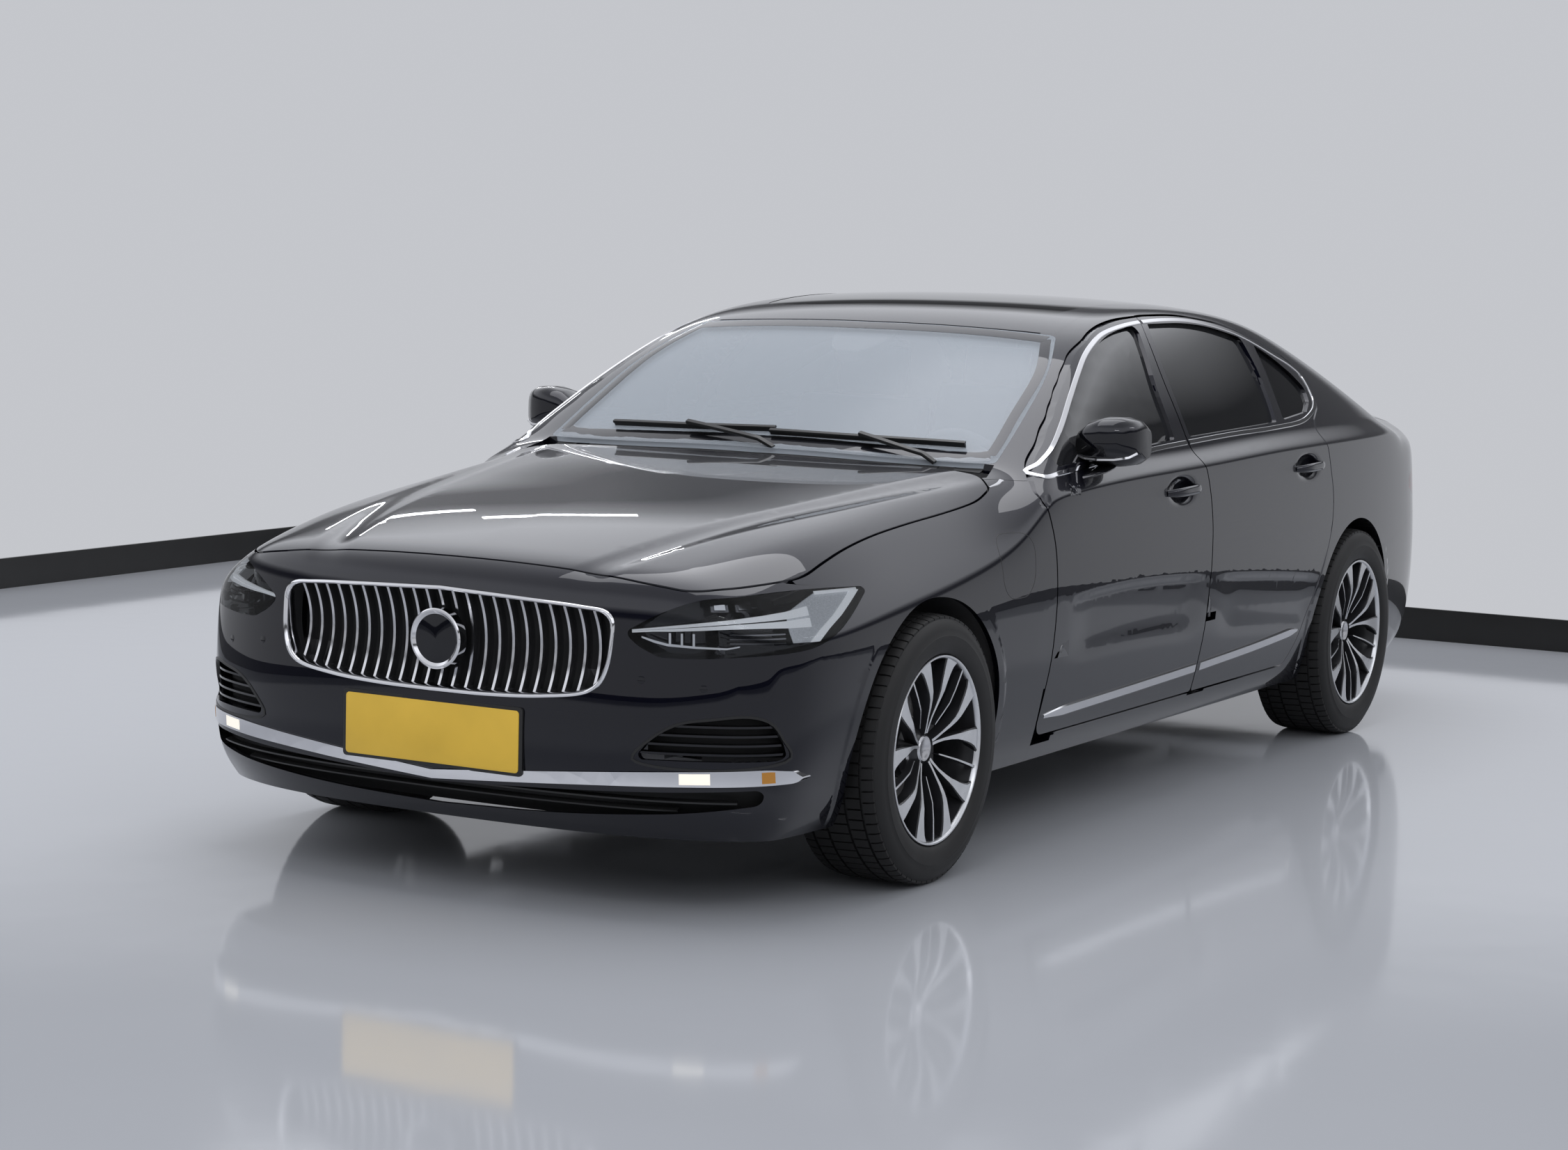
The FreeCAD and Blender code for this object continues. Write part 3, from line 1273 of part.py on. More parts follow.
rear_house = housing(REAR_AXLE, REAR_INNER, 2600, 3530, SILL_DEPTH)
boot_floor = slab(REAR_INNER, (2560.3, 4050), (345, 375))
back_panel = slab(570, (4090, 4110), (345, 590))
boot_floor = boot_floor.fuse([slab(660, (3470, 4050), (345, 375)),
                              slab(570, (4040, 4110), (345, 375)), back_panel])
shelf = slab(600, (3060, 3420), (985, 1003))
arm_slot = box((LID_ARM_X - 12, LID_ARM_X + ARM_WIDTH / 2 + 0.9), (LID_PIN_Y - 21, LID_PIN_Y + 80),
               (900, 1100))
shelf = shelf.cut(arm_slot).cut(mirrored(arm_slot))
posts = slab(600, (3060, 3090), (375, 990)).cut(slab(430, (3000, 3200), (420, 930)))


def pin_stand(x, y, z, foot, thick):
    """Upright plate beside an arm, with the pin that the arm's eye turns on."""
    return [box((x + ARM_WIDTH / 2 + 1, x + ARM_WIDTH / 2 + 9), (y - thick, y + thick),
                (foot, z + thick)),
            Part.makeCylinder(ARM_PIN, ARM_WIDTH + 4, Vector(x - ARM_WIDTH / 2 - 1, y, z),
                              Vector(1, 0, 0))]


brackets = pin_stand(LID_ARM_X, LID_PIN_Y, LID_PIN_Z, 985, 16)
brackets += [mirrored(bracket) for bracket in brackets]
boot = boot_floor.fuse([rear_house, mirrored(rear_house), shelf, posts] + brackets)
cover = box((across(405), across(REAR_INNER)), (along(2960), along(3162)), (345, 560))
room = box((across(410), across(REAR_INNER) + 20), (along(2965), along(3157)), (200, 555))
boot = boot.fuse([cover, mirrored(cover)]).cut([room, mirrored(room)])
piece("boot_tub", only_solids(boot))

# Front structure: bulkhead, hinge posts, wheel housings, cross members and radiator

front_house = housing(FRONT_AXLE, FRONT_INNER, -470, 600, size("panel_depth") + FIT)
window_in_wall = box((across(FRONT_INNER) - 20, across(FRONT_INNER) + 20),
                     (FRONT_AXLE - 130, FRONT_AXLE + 130), (0, WHEEL_HEIGHT + 225))
front_house = front_house.cut(window_in_wall)
bulkhead = slab(815, (629, 645), (FLOOR - FLOOR_PLATE, 940))
bulkhead = between_sides(bulkhead, size("panel_depth") + 20, 560, 720)
post = box((across(700), across(800)), (along(645), along(742)), (262.3, 915))
posts = [post] + post_hinge(FRONT_PIN, (across(799), across(800), FRONT_PIN[1] - 8))
scuttle = slab(690, (600, 645), (905, 935))
stands = pin_stand(HOOD_ARM_X, HOOD_PIN_Y, HOOD_PIN_Z, 930, 14)
rail = box((across(430), across(484)), (along(-700), along(640)), (560, 640))
radiator = slab(440, (-690, -660), (300, 735))
bumper_beam = slab(600, (-760, -690), (500, 580))
front = bulkhead.fuse([front_house, mirrored(front_house), scuttle, rail, mirrored(rail), radiator,
                       bumper_beam] + posts + [mirrored(p) for p in posts] + stands +
                      [mirrored(p) for p in stands])
piece("front_structure", only_solids(front))


# Subframes with their arms, springs and the rear hub carriers

PIVOT_X = "%s - %g" % (HALF_TRACK, PIVOT)
LOWER_BALL = "Sizes.tyre_radius - 116.3"
UPPER_BALL = "Sizes.tyre_radius + 164.3"


def front_corner():
    """Arms, spring and damper of the left front wheel, as far as the knuckle's ball seats."""
    low_arm = rod("x", 15, PIVOT_X + " - 380", 380, FRONT_Y, "Sizes.tyre_radius - 120")
    low_seat = rod("z", 20, 12, PIVOT_X, FRONT_Y, LOWER_BALL)
    high_arm = rod("x", 12, PIVOT_X + " - 470", 470, FRONT_Y, "Sizes.tyre_radius + 176")
    high_seat = rod("z", 16, 18, PIVOT_X, FRONT_Y, UPPER_BALL)
    damper = rod("z", 22, 470, formula_x(562), FRONT_Y, "Sizes.tyre_radius - 120")
    spring = rod("z", 46, 210, formula_x(562), FRONT_Y, "Sizes.tyre_radius + 60")
    top = block((488.3, 610), (-50, 50), (690, 712))
    return [low_arm, low_seat, high_arm, high_seat, damper, spring, top]


def cross_frame(axle_station):
    """Square frame between the arms of one axle."""
    low, top = (190, 270) if axle_station == 0 else (215, 330)
    sides = [block((x, x + 80), (axle_station - 130, axle_station + 130), (low, top))
             for x in (-430, 350)]
    beams = [block((-430, 430), (axle_station + y, axle_station + y + 70), (low, top))
             for y in (-130, 60)]
    return sides + beams


def both(parts):
    """Parts and their mirror images, as one more list."""
    joined = fused(parts)
    made = doc.addObject("Part::Mirroring", "Mirror")
    made.Source = joined
    made.Normal = Vector(1, 0, 0)
    return [joined, made]


towers = [block((x, x + 54), (-40, 40), (260, 559.7)) for x in (-484, 430)]
fused(cross_frame(0) + towers + both(front_corner()), "front_subframe")


def rear_corner():
    """Arms, spring and hub carrier of the left rear wheel."""
    hub = carrier(REAR_Y, 1)
    low_arm = wheel_block((-560, -PIVOT - 10), (-40, 40), (-104, -84), REAR_Y)
    high_arm = rod("x", 14, PIVOT_X + " - 430", 430, REAR_Y, "Sizes.tyre_radius + 140")
    spring = rod("z", 50, 190, formula_x(560), REAR_Y, "Sizes.tyre_radius - 90")
    upper_mount = block((430, 560), (3021, 3101), (455, 500))
    return [hub, low_arm, high_arm, spring, upper_mount]


rear_towers = [block((x, x + 54), (3021, 3101), (215, 554.7)) for x in (-484, 430)]
frame = less(fused(cross_frame(3061)), block((-50, 50), (2900, 3220), (200, 290)))
fused([frame] + rear_towers + both(rear_corner()), "rear_subframe")

# Engine block, the one heavy mass closed inside

engine = slab(330, (-330, 140), (300, 700)).fuse(slab(260, (-126, -66), (270.3, 301)))
piece("engine", only_solids(engine))

# Exhaust under the floor

pipe = Part.makeCylinder(28, along(3720) - along(700), Vector(0, along(700), 250), Vector(0, 1, 0))
silencer = slab(420, (3700, 3950), (225, 344.7))
piece("exhaust", only_solids(pipe.fuse(silencer)))

# Inside: dashboard, steering wheel, seats

dashboard = slab(690, (780, 1000), (760, 930)).fuse(slab(690, (742.3, 880), (700, 955)))
console = slab(104, (1000, 1900), (430.3, 560)).fuse(slab(104, (900, 1010), (430.3, 800)))
dashboard = between_sides(dashboard.fuse(console), size("door_depth") + 12, 700, 1100)
COLUMN = Vector(across(370), along(1230), 900)
TILT = math.radians(23)
column_way = Vector(0, -math.cos(TILT), -math.sin(TILT))
shaft = Part.makeCylinder(34, 260, COLUMN + column_way * 70, column_way)
bearing = Part.makeCylinder(12, 68, COLUMN + column_way * 30, column_way)
piece("dashboard", only_solids(dashboard.fuse([shaft, bearing])))

WHEEL = size("steering_wheel_radius")
grip = Part.makeTorus(WHEEL - 15, 15, COLUMN, column_way)
hub = Part.makeCylinder(58, 60, COLUMN - column_way * 18, column_way)
hub = hub.cut(Part.makeCylinder(12 + FIT, 40, COLUMN + column_way * (30 - FIT), column_way))
across_way = Vector(1, 0, 0)
down_way = column_way.cross(across_way)
bars = []
for way in (across_way, -across_way, down_way if down_way.z < 0 else -down_way):
    width_way = column_way.cross(way)
    start = COLUMN + way * 40 - width_way * 20 - column_way * 6
    corners = [start, start + way * (WHEEL - 55), start + way * (WHEEL - 55) + width_way * 40,
               start + width_way * 40, start]
    bars.append(Part.Face(Part.makePolygon(corners)).extrude(column_way * 12))
piece("steering_wheel", only_solids(grip.fuse([hub] + bars)))


def upright_slab(points, x, width):
    """Plate of a side outline (station, height), extruded across."""
    wire = rounded([(along(a), high(b), r) for a, b, r in points], lambda p: Vector(x, p.x, p.y))
    return Part.Face(wire).extrude(Vector(width, 0, 0))


SEAT = size("seat_width")
SEAT_SIDE = ((1340, 400, 40), (1350, 545, 50), (1790, 520, 30), (1850, 640, None),
             (1985, 1110, 40), (2070, 1100, 40), (1960, 600, None), (1890, 400, 60))
seats = []
for middle in (370, -370):
    left = across(middle) - SEAT / 2
    seats.append(upright_slab(SEAT_SIDE, left, SEAT).fuse([
        upright_slab(((2010, 1100, 0), (2030, 1260, 30), (2100, 1250, 30), (2060, 1090, 0)),
                     across(middle) - 120, 240),
        box((left + 60, left + SEAT - 60), (along(1400), along(1850)), (FLOOR + FIT, 410))
        .cut(box((left + 110, left + SEAT - 110), (along(1300), along(1950)), (0, 395)))]))
piece("front_seats", Part.makeCompound([only_solids(seat) for seat in seats]))
BENCH_SIDE = ((2440, 345.3, 0), (2345, 400, 30), (2350, 580, 50), (2790, 555, 30),
              (2860, 680, None), (2990, 1120, 40), (3050, 1100, 30), (2990, 700, None),
              (2890, 375.3, 0), (2560, 375.3, 0), (2560, 345.3, 0))
bench = upright_slab(BENCH_SIDE, across(-625), across(1250))
bench = bench.cut(slab(104.6, (2300, 2561), (0, 430.6)))
piece("rear_bench", only_solids(bench))

doc.recompute()
os.makedirs("parts", exist_ok=True)
for found in PIECES:
    shape = found.Shape
    if shape.isNull() or not shape.isValid() or not shape.Solids:
        raise RuntimeError("the shape of %s is not a valid solid" % found.Label)
for found in doc.Objects:
    if "Invalid" in found.State or "Error" in found.State:
        raise RuntimeError("%s did not build" % found.Label)
for found in PIECES:
    found.Shape.exportStep("parts/%s.step" % found.Label)
    print(found.Label, len(found.Shape.Solids), round(found.Shape.Volume / 1e6, 2))
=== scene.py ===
"""Looks of a long four-door saloon car: lacquered panels on one smooth skin, screens, chrome, lamps,
forked alloy wheels, a furnished cabin and the underside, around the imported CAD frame.

The outside is one smooth skin, drawn in millimetres against stations that count rearwards from the
front axle.  The panels of the CAD frame are divided finely and settled on that skin, so that the
lacquer mirrors the studio without facets.  Every finished piece lies in the frame's own metres.
"""

import json
import logging
import math
from dataclasses import dataclass, field
from enum import Enum
from typing import Iterable, Optional, Sequence, Union

import bmesh
import bpy
import numpy as np
from mathutils import Matrix, Vector

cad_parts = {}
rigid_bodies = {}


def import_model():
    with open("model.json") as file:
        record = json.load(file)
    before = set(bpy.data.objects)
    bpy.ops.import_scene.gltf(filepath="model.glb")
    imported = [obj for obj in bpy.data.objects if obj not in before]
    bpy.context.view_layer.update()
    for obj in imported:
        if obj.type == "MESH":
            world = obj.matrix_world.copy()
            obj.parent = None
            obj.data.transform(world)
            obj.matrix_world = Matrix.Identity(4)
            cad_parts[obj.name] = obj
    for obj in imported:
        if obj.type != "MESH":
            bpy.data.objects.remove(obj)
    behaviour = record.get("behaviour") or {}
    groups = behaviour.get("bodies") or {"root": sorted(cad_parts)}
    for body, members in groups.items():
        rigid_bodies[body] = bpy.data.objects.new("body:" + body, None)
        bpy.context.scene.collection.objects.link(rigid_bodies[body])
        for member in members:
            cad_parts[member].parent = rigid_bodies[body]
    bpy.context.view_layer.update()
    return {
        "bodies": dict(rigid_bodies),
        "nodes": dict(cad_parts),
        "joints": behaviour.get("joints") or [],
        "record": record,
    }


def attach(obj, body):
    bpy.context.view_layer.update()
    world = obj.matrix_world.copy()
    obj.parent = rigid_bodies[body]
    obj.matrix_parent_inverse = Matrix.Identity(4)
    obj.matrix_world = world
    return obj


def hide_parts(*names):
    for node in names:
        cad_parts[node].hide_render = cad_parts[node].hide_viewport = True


log = logging.getLogger("saloon")

MM = 0.001
FRONT_AXLE = -1669.5
REAR_AXLE = 1391.5
WHEELBASE = REAR_AXLE - FRONT_AXLE
NOSE_STATION = -872.0
TAIL_STATION = 4211.0
WHEEL_X = 814.0
AXLE_HEIGHT = 341.0
FRONT_ARCH_RADIUS = 384.0
REAR_ARCH_RADIUS = 380.0

Points = np.ndarray
Corner = tuple[float, float]


class Side(Enum):
    """The two sides of the car."""

    LEFT = 1
    RIGHT = -1

    @property
    def word(self) -> str:
        """The side's name in lower case."""
        return self.name.lower()


# The skin


class Curve:
    """Smooth line through a few points, straight past its ends."""

    def __init__(self, *points: Corner) -> None:
        """Solves the bends of a natural cubic spline.

        Args:
            points: Places along the line and its values there, in rising order.
        """
        self.at = np.array([p[0] for p in points], float)
        self.to = np.array([p[1] for p in points], float)
        count = len(points)
        span = np.diff(self.at)
        system = np.eye(count)
        turn = np.zeros(count)
        for i in range(1, count - 1):
            system[i, i - 1:i + 2] = span[i - 1], 2 * (span[i - 1] + span[i]), span[i]
            turn[i] = 6 * ((self.to[i + 1] - self.to[i]) / span[i]
                           - (self.to[i] - self.to[i - 1]) / span[i - 1])
        self.bend = np.linalg.solve(system, turn)
        self.first_slope = (self.to[1] - self.to[0]) / span[0] - span[0] * self.bend[1] / 6
        self.last_slope = ((self.to[-1] - self.to[-2]) / span[-1]
                           + span[-1] * self.bend[-2] / 6)

    def __call__(self, place: Union[float, Points]) -> Points:
        """The line's value.

        Args:
            place: Where to read the line.

        Returns:
            The values, in the shape of the places.
        """
        t = np.asarray(place, float)
        low = np.clip(np.searchsorted(self.at, t) - 1, 0, len(self.at) - 2)
        span = self.at[low + 1] - self.at[low]
        a = (self.at[low + 1] - t) / span
        b = 1 - a
        curve = (a ** 3 - a) * self.bend[low] + (b ** 3 - b) * self.bend[low + 1]
        value = a * self.to[low] + b * self.to[low + 1] + curve * span * span / 6
        value = np.where(t < self.at[0], self.to[0] + (t - self.at[0]) * self.first_slope, value)
        return np.where(t > self.at[-1], self.to[-1] + (t - self.at[-1]) * self.last_slope, value)


def ramp(t: Points, softness: float) -> Points:
    """Zero below t = 0 and t above it, with a soft corner."""
    return 0.5 * (t + np.sqrt(t * t + softness * softness))


def soft_max(a: Points, b: Points, softness: float) -> Points:
    """The larger of two, blended where they meet."""
    return 0.5 * (a + b + np.sqrt((a - b) ** 2 + softness * softness))


def soft_min(a: Points, b: Points, softness: float) -> Points:
    """The smaller of two, blended where they meet."""
    return -soft_max(-a, -b, softness)


def smooth_step(t: Points) -> Points:
    """Smooth step from 0 to 1 between t = 0 and t = 1."""
    t = np.clip(t, 0.0, 1.0)
    return t * t * t * (t * (6 * t - 15) + 10)


def bump(t: Points) -> Points:
    """Smooth hill of height 1 at t = 0, and nothing past t = 1 on either side."""
    return smooth_step(1 - np.abs(t))


class Skin:
    """The car's outside, as a function that is above zero outside it, in millimetres."""

    plan_width = Curve((-872, 894), (-600, 914), (-300, 926), (0, 931), (500, 936), (1500, 939),
                       (2400, 939), (3061, 931), (3411, 917), (3761, 888), (4061, 845),
                       (4211, 815))
    crease_height = Curve((-872, 800), (-300, 862), (300, 905), (920, 943), (1736, 960),
                          (2228, 972), (2876, 978), (3534, 976), (4211, 960))
    lean = Curve((-872, 0.42), (2200, 0.42), (2761, 0.50), (3361, 0.62), (4211, 0.62))
    hood_height = Curve((-932, 768), (-812, 822), (-672, 856), (-400, 904), (0, 951), (350, 986),
                        (620, 1008), (1300, 1030), (2461, 1075), (3461, 1092), (3861, 1078),
                        (4101, 1064), (4211, 1052))
    crown = Curve((-872, 24), (-500, 20), (0, 16), (350, 12), (640, 8), (900, 0), (2761, 0),
                  (3261, 20), (3761, 46), (4211, 60))
    crest_fall = Curve((-872, 0.55), (-300, 0.8), (200, 0.8), (500, 0.55), (720, 0.15),
                       (900, 0.0), (3161, 0.0), (3661, 0.3), (4211, 0.4))
    crest_width = Curve((-872, 620), (-600, 665), (-200, 710), (400, 722), (800, 730),
                        (3061, 720), (4211, 690))
    screen_height = Curve((540, 962), (620, 1007), (980, 1208), (1320, 1372), (1500, 1445),
                          (1900, 1600))
    roof_height = Curve((1100, 1290), (1330, 1372), (1480, 1408), (1720, 1438), (2020, 1450),
                        (2350, 1444), (2700, 1420), (3161, 1352), (3461, 1270))
    rear_screen_height = Curve((2361, 1500), (2861, 1383), (3161, 1280), (3511, 1128),
                               (3621, 1075), (3961, 900))
    nose_over_width = Curve((0, 0), (250, 6), (450, 27), (600, 62), (720, 112), (800, 165),
                            (860, 240), (900, 360), (930, 560))
    nose_over_height = Curve((120, 130), (190, 70), (260, 22), (340, 4), (440, 0), (540, 3),
                             (660, 11), (762, 24), (830, 50), (900, 100))
    tail_over_width = Curve((0, 0), (300, 14), (550, 55), (700, 120), (790, 210), (850, 330),
                            (890, 480), (920, 700))
    tail_over_height = Curve((120, 190), (200, 110), (280, 40), (380, 8), (480, 0), (600, 4),
                             (720, 22), (860, 44), (1000, 62), (1075, 70), (1150, 100))

    def side_width(self, station: Points, z: Points) -> Points:
        """Half width of the body sides.

        Args:
            station: Stations along the car.
            z: Heights.

        Returns:
            Half widths there.
        """
        above = z - self.crease_height(station)
        width = self.plan_width(station) - (z - 650) ** 2 / 10400
        width = width - self.lean(station) * ramp(above, 16)
        width = width - 22 * smooth_step((station - 200) / 700) * smooth_step((above + 10) / 75)
        width = width - np.where(above > 0, above * above / 5200, 0)
        width = width - 0.55 * ramp(235 - z, 40)
        return width - 0.14 * ramp(500 - z, 60)

    def top_height(self, x: Points, station: Points) -> Points:
        """Height of hood, screens, roof and deck.

        Args:
            x: Half widths.
            station: Stations along the car.

        Returns:
            Heights there.
        """
        width = self.crest_width(station)
        past_crest = ramp(x - width, 70) - ramp(-width, 70)
        low = self.hood_height(station) - self.crown(station) * (x / 700) ** 2
        low = low - np.maximum(0.0, self.crest_fall(station)) * past_crest
        screen = self.screen_height(station - 70 * (x / 700) ** 2)
        roof = self.roof_height(station) - 26 * (x / 640) ** 2.2
        rear_screen = self.rear_screen_height(station + 90 * (x / 600) ** 2)
        cabin = soft_min(soft_min(screen, roof, 26), rear_screen, 50)
        return soft_max(low, cabin, 14)

    def relief(self, x: Points, station: Points, z: Points) -> Points:
        """Depth of the pressed lines under the plain skin.

        Args:
            x: Half widths.
            station: Stations along the car.
            z: Heights.

        Returns:
            How far the lacquered surface lies inside the plain skin.
        """
        low_line = LOWER_CREASE(station)
        below = (low_line - z) / 120.0
        on_doors = smooth_step((station - 560) / 260) * smooth_step((2790 - station) / 260)
        sideways = smooth_step((x - 700) / 60)
        hinges = np.maximum(bump((station - 720) / 230), bump((station - 1775) / 250))
        depth = 7.0 - 6.2 * hinges
        scoop = depth * smooth_step(below * 3.2) * smooth_step(1.9 - below) * on_doors * sideways
        for middle, height in HANDLE_PLACES:
            reach = np.hypot((station - middle) / 104, (z - height) / 44)
            scoop = scoop + 15.0 * smooth_step(1.25 - reach) * sideways
        arch = np.hypot(station, z - AXLE_HEIGHT) - FRONT_ARCH_RADIUS
        rear_arch = np.hypot(station - WHEELBASE, z - AXLE_HEIGHT) - REAR_ARCH_RADIUS
        flare = 1 - smooth_step((np.minimum(arch, rear_arch) - 26) / 22)
        lips = 2.6 * (1 - flare) * smooth_step((x - 820) / 30) * smooth_step((700 - z) / 200)
        on_hood = smooth_step((700 - station) / 200) * smooth_step((z - 700) / 80)
        ridge = HOOD_RIDGE(station)
        trough = 5.0 * bump((x - ridge - 62) / 74) * on_hood * smooth_step((station + 860) / 200)
        return scoop + lips + trough

    def outside(self, points: Points, pressed: bool = False) -> Points:
        """Distance outside the skin, roughly.

        Args:
            points: Places in millimetres, one per row.
            pressed: Whether the pressed lines count too.

        Returns:
            One value per place, above zero outside.
        """
        x = np.abs(points[:, 0])
        station = points[:, 1] - FRONT_AXLE
        z = points[:, 2]
        far = soft_max(x - self.side_width(station, z),
                       0.93 * (z - self.top_height(x, station)), 44)
        nose = NOSE_STATION + self.nose_over_width(x) + self.nose_over_height(z) - station
        far = soft_max(far, nose, 46)
        tail = station - (TAIL_STATION - self.tail_over_width(x) - self.tail_over_height(z))
        far = soft_max(far, tail, 50)
        return far + self.relief(x, station, z) if pressed else far

    def slope(self, points: Points, pressed: bool = False) -> Points:
        """Gradient of the distance, by small differences.

        Args:
            points: Places in millimetres, one per row.
            pressed: Whether the pressed lines count too.

        Returns:
            One vector per place, not of unit length.
        """
        reach = 0.6
        columns = []
        for axis in range(3):
            shift = np.zeros(3)
            shift[axis] = reach
            ahead = self.outside(points + shift, pressed)
            behind = self.outside(points - shift, pressed)
            columns.append((ahead - behind) / (2 * reach))
        return np.stack(columns, 1)

    def normals(self, points: Points, pressed: bool = False) -> Points:
        """Unit normals of the plain or pressed skin near some places."""
        slope = self.slope(points, pressed)
        return slope / np.linalg.norm(slope, axis=1, keepdims=True)

    def settled(self, points: Points) -> Points:
        """Places moved onto the pressed skin along its slope.

        Args:
            points: Places near the skin in millimetres, one per row.

        Returns:
            The places on the skin.
        """
        places = points.copy()
        for _ in range(4):
            slope = self.slope(places, True)
            share = self.outside(places, True) / np.maximum(1e-9, (slope ** 2).sum(1))
            places -= slope * share[:, None]
        return places

    def met(self, origins: Points, directions: Points, reach: float = 1500.0,
            pressed: bool = True) -> Points:
        """Places where rays, walked inwards from their reach, meet the skin.

        Args:
            origins: Starts of the rays in millimetres, inside the skin.
            directions: Unit directions of the rays.
            reach: How far out the walk starts.
            pressed: Whether the pressed lines count too.

        Returns:
            One place per ray.
        """
        origins = np.broadcast_to(origins, directions.shape).astype(float)
        stride = 30
        far = np.full(len(origins), reach)
        near = far - stride
        searching = np.ones(len(origins), bool)
        for _ in range(int(2 * reach / stride)):
            value = self.outside(origins + directions * near[:, None], pressed)
            searching &= value > 0
            if not searching.any():
                break
            far = np.where(searching, near, far)
            near = np.where(searching, near - stride, near)
        for _ in range(22):
            middle = (near + far) / 2
            out = self.outside(origins + directions * middle[:, None], pressed) > 0
            far = np.where(out, middle, far)
            near = np.where(out, near, middle)
        return origins + directions * ((near + far) / 2)[:, None]

    def beside(self, stations: Sequence[float], heights: Sequence[float],
               side: Side = Side.LEFT, pressed: bool = True) -> Points:
        """Places on a body side.

        Args:
            stations: Stations along the car.
            heights: Heights.
            side: Which side of the car.
            pressed: Whether the pressed lines count too.

        Returns:
            Places in millimetres, one per row.
        """
        stations = np.asarray(stations, float)
        origins = np.stack([np.zeros_like(stations), stations + FRONT_AXLE,
                            np.asarray(heights, float)], 1)
        across = np.zeros_like(origins)
        across[:, 0] = side.value
        return self.met(origins, across, 1100, pressed)

    def above(self, widths: Sequence[float], stations: Sequence[float],
              pressed: bool = True) -> Points:
        """Places on hood, screens, roof or deck.

        Args:
            widths: X of the places.
            stations: Stations along the car.
            pressed: Whether the pressed lines count too.

        Returns:
            Places in millimetres, one per row.
        """
        widths = np.asarray(widths, float)
        origins = np.stack([widths, np.asarray(stations, float) + FRONT_AXLE,
                            np.full(len(widths), 500.0)], 1)
        upright = np.zeros_like(origins)
        upright[:, 2] = 1
        return self.met(origins, upright, 1100, pressed)

    def ahead(self, widths: Sequence[float], heights: Sequence[float],
              pressed: bool = True, backwards: bool = False) -> Points:
        """Places on the nose or, looking backwards, on the tail.

        Args:
            widths: X of the places.
            heights: Heights.
            pressed: Whether the pressed lines count too.
            backwards: Whether the places are on the tail.

        Returns:
            Places in millimetres, one per row.
        """
        widths = np.asarray(widths, float)
        start = 3500.0 if backwards else -300.0
        origins = np.stack([widths, np.full(len(widths), start + FRONT_AXLE),
                            np.asarray(heights, float)], 1)
        lengthways = np.zeros_like(origins)
        lengthways[:, 1] = 1 if backwards else -1
        return self.met(origins, lengthways, 1200, pressed)


HANDLE_PLACES = ((1530, 903), (2565, 918))
LOWER_CREASE = Curve((684, 664), (1079, 678), (1751, 651), (2558, 586), (2800, 560))
HOOD_RIDGE = Curve((-872, 300), (-600, 380), (0, 520), (620, 640))
SKIN = Skin()


# Shader trees


Value = Union[float, "Term"]
Colour = tuple[float, float, float]


class Term:
    """A socket of a shader tree that takes part in plain arithmetic."""

    def __init__(self, tree: "ShaderTree", socket: bpy.types.NodeSocket) -> None:
        """Keeps an output socket with the tree that it is in."""
        self.tree = tree
        self.socket = socket

    def _with(self, operation: str, other: Value, swapped: bool = False) -> "Term":
        """One Math node on this value and another, or on the two swapped."""
        pair = [other, self] if swapped else [self, other]
        return self.tree.node("ShaderNodeMath", {"operation": operation},
                              {0: pair[0], 1: pair[1]})

    def __add__(self, other: Value) -> "Term":
        """Sum."""
        return self._with("ADD", other)

    __radd__ = __add__

    def __sub__(self, other: Value) -> "Term":
        """Difference."""
        return self._with("SUBTRACT", other)

    def __rsub__(self, other: Value) -> "Term":
        """Difference, this value last."""
        return self._with("SUBTRACT", other, True)

    def __mul__(self, other: Value) -> "Term":
        """Product."""
        return self._with("MULTIPLY", other)

    def __pow__(self, other: Value) -> "Term":
        """Power."""
        return self._with("POWER", other)

    def sine(self) -> "Term":
        """Sine of the value."""
        return self.tree.node("ShaderNodeMath", {"operation": "SINE"}, {0: self})

    def held(self) -> "Term":
        """The value kept between 0 and 1."""
        return self.tree.node("ShaderNodeClamp", {}, {0: self})


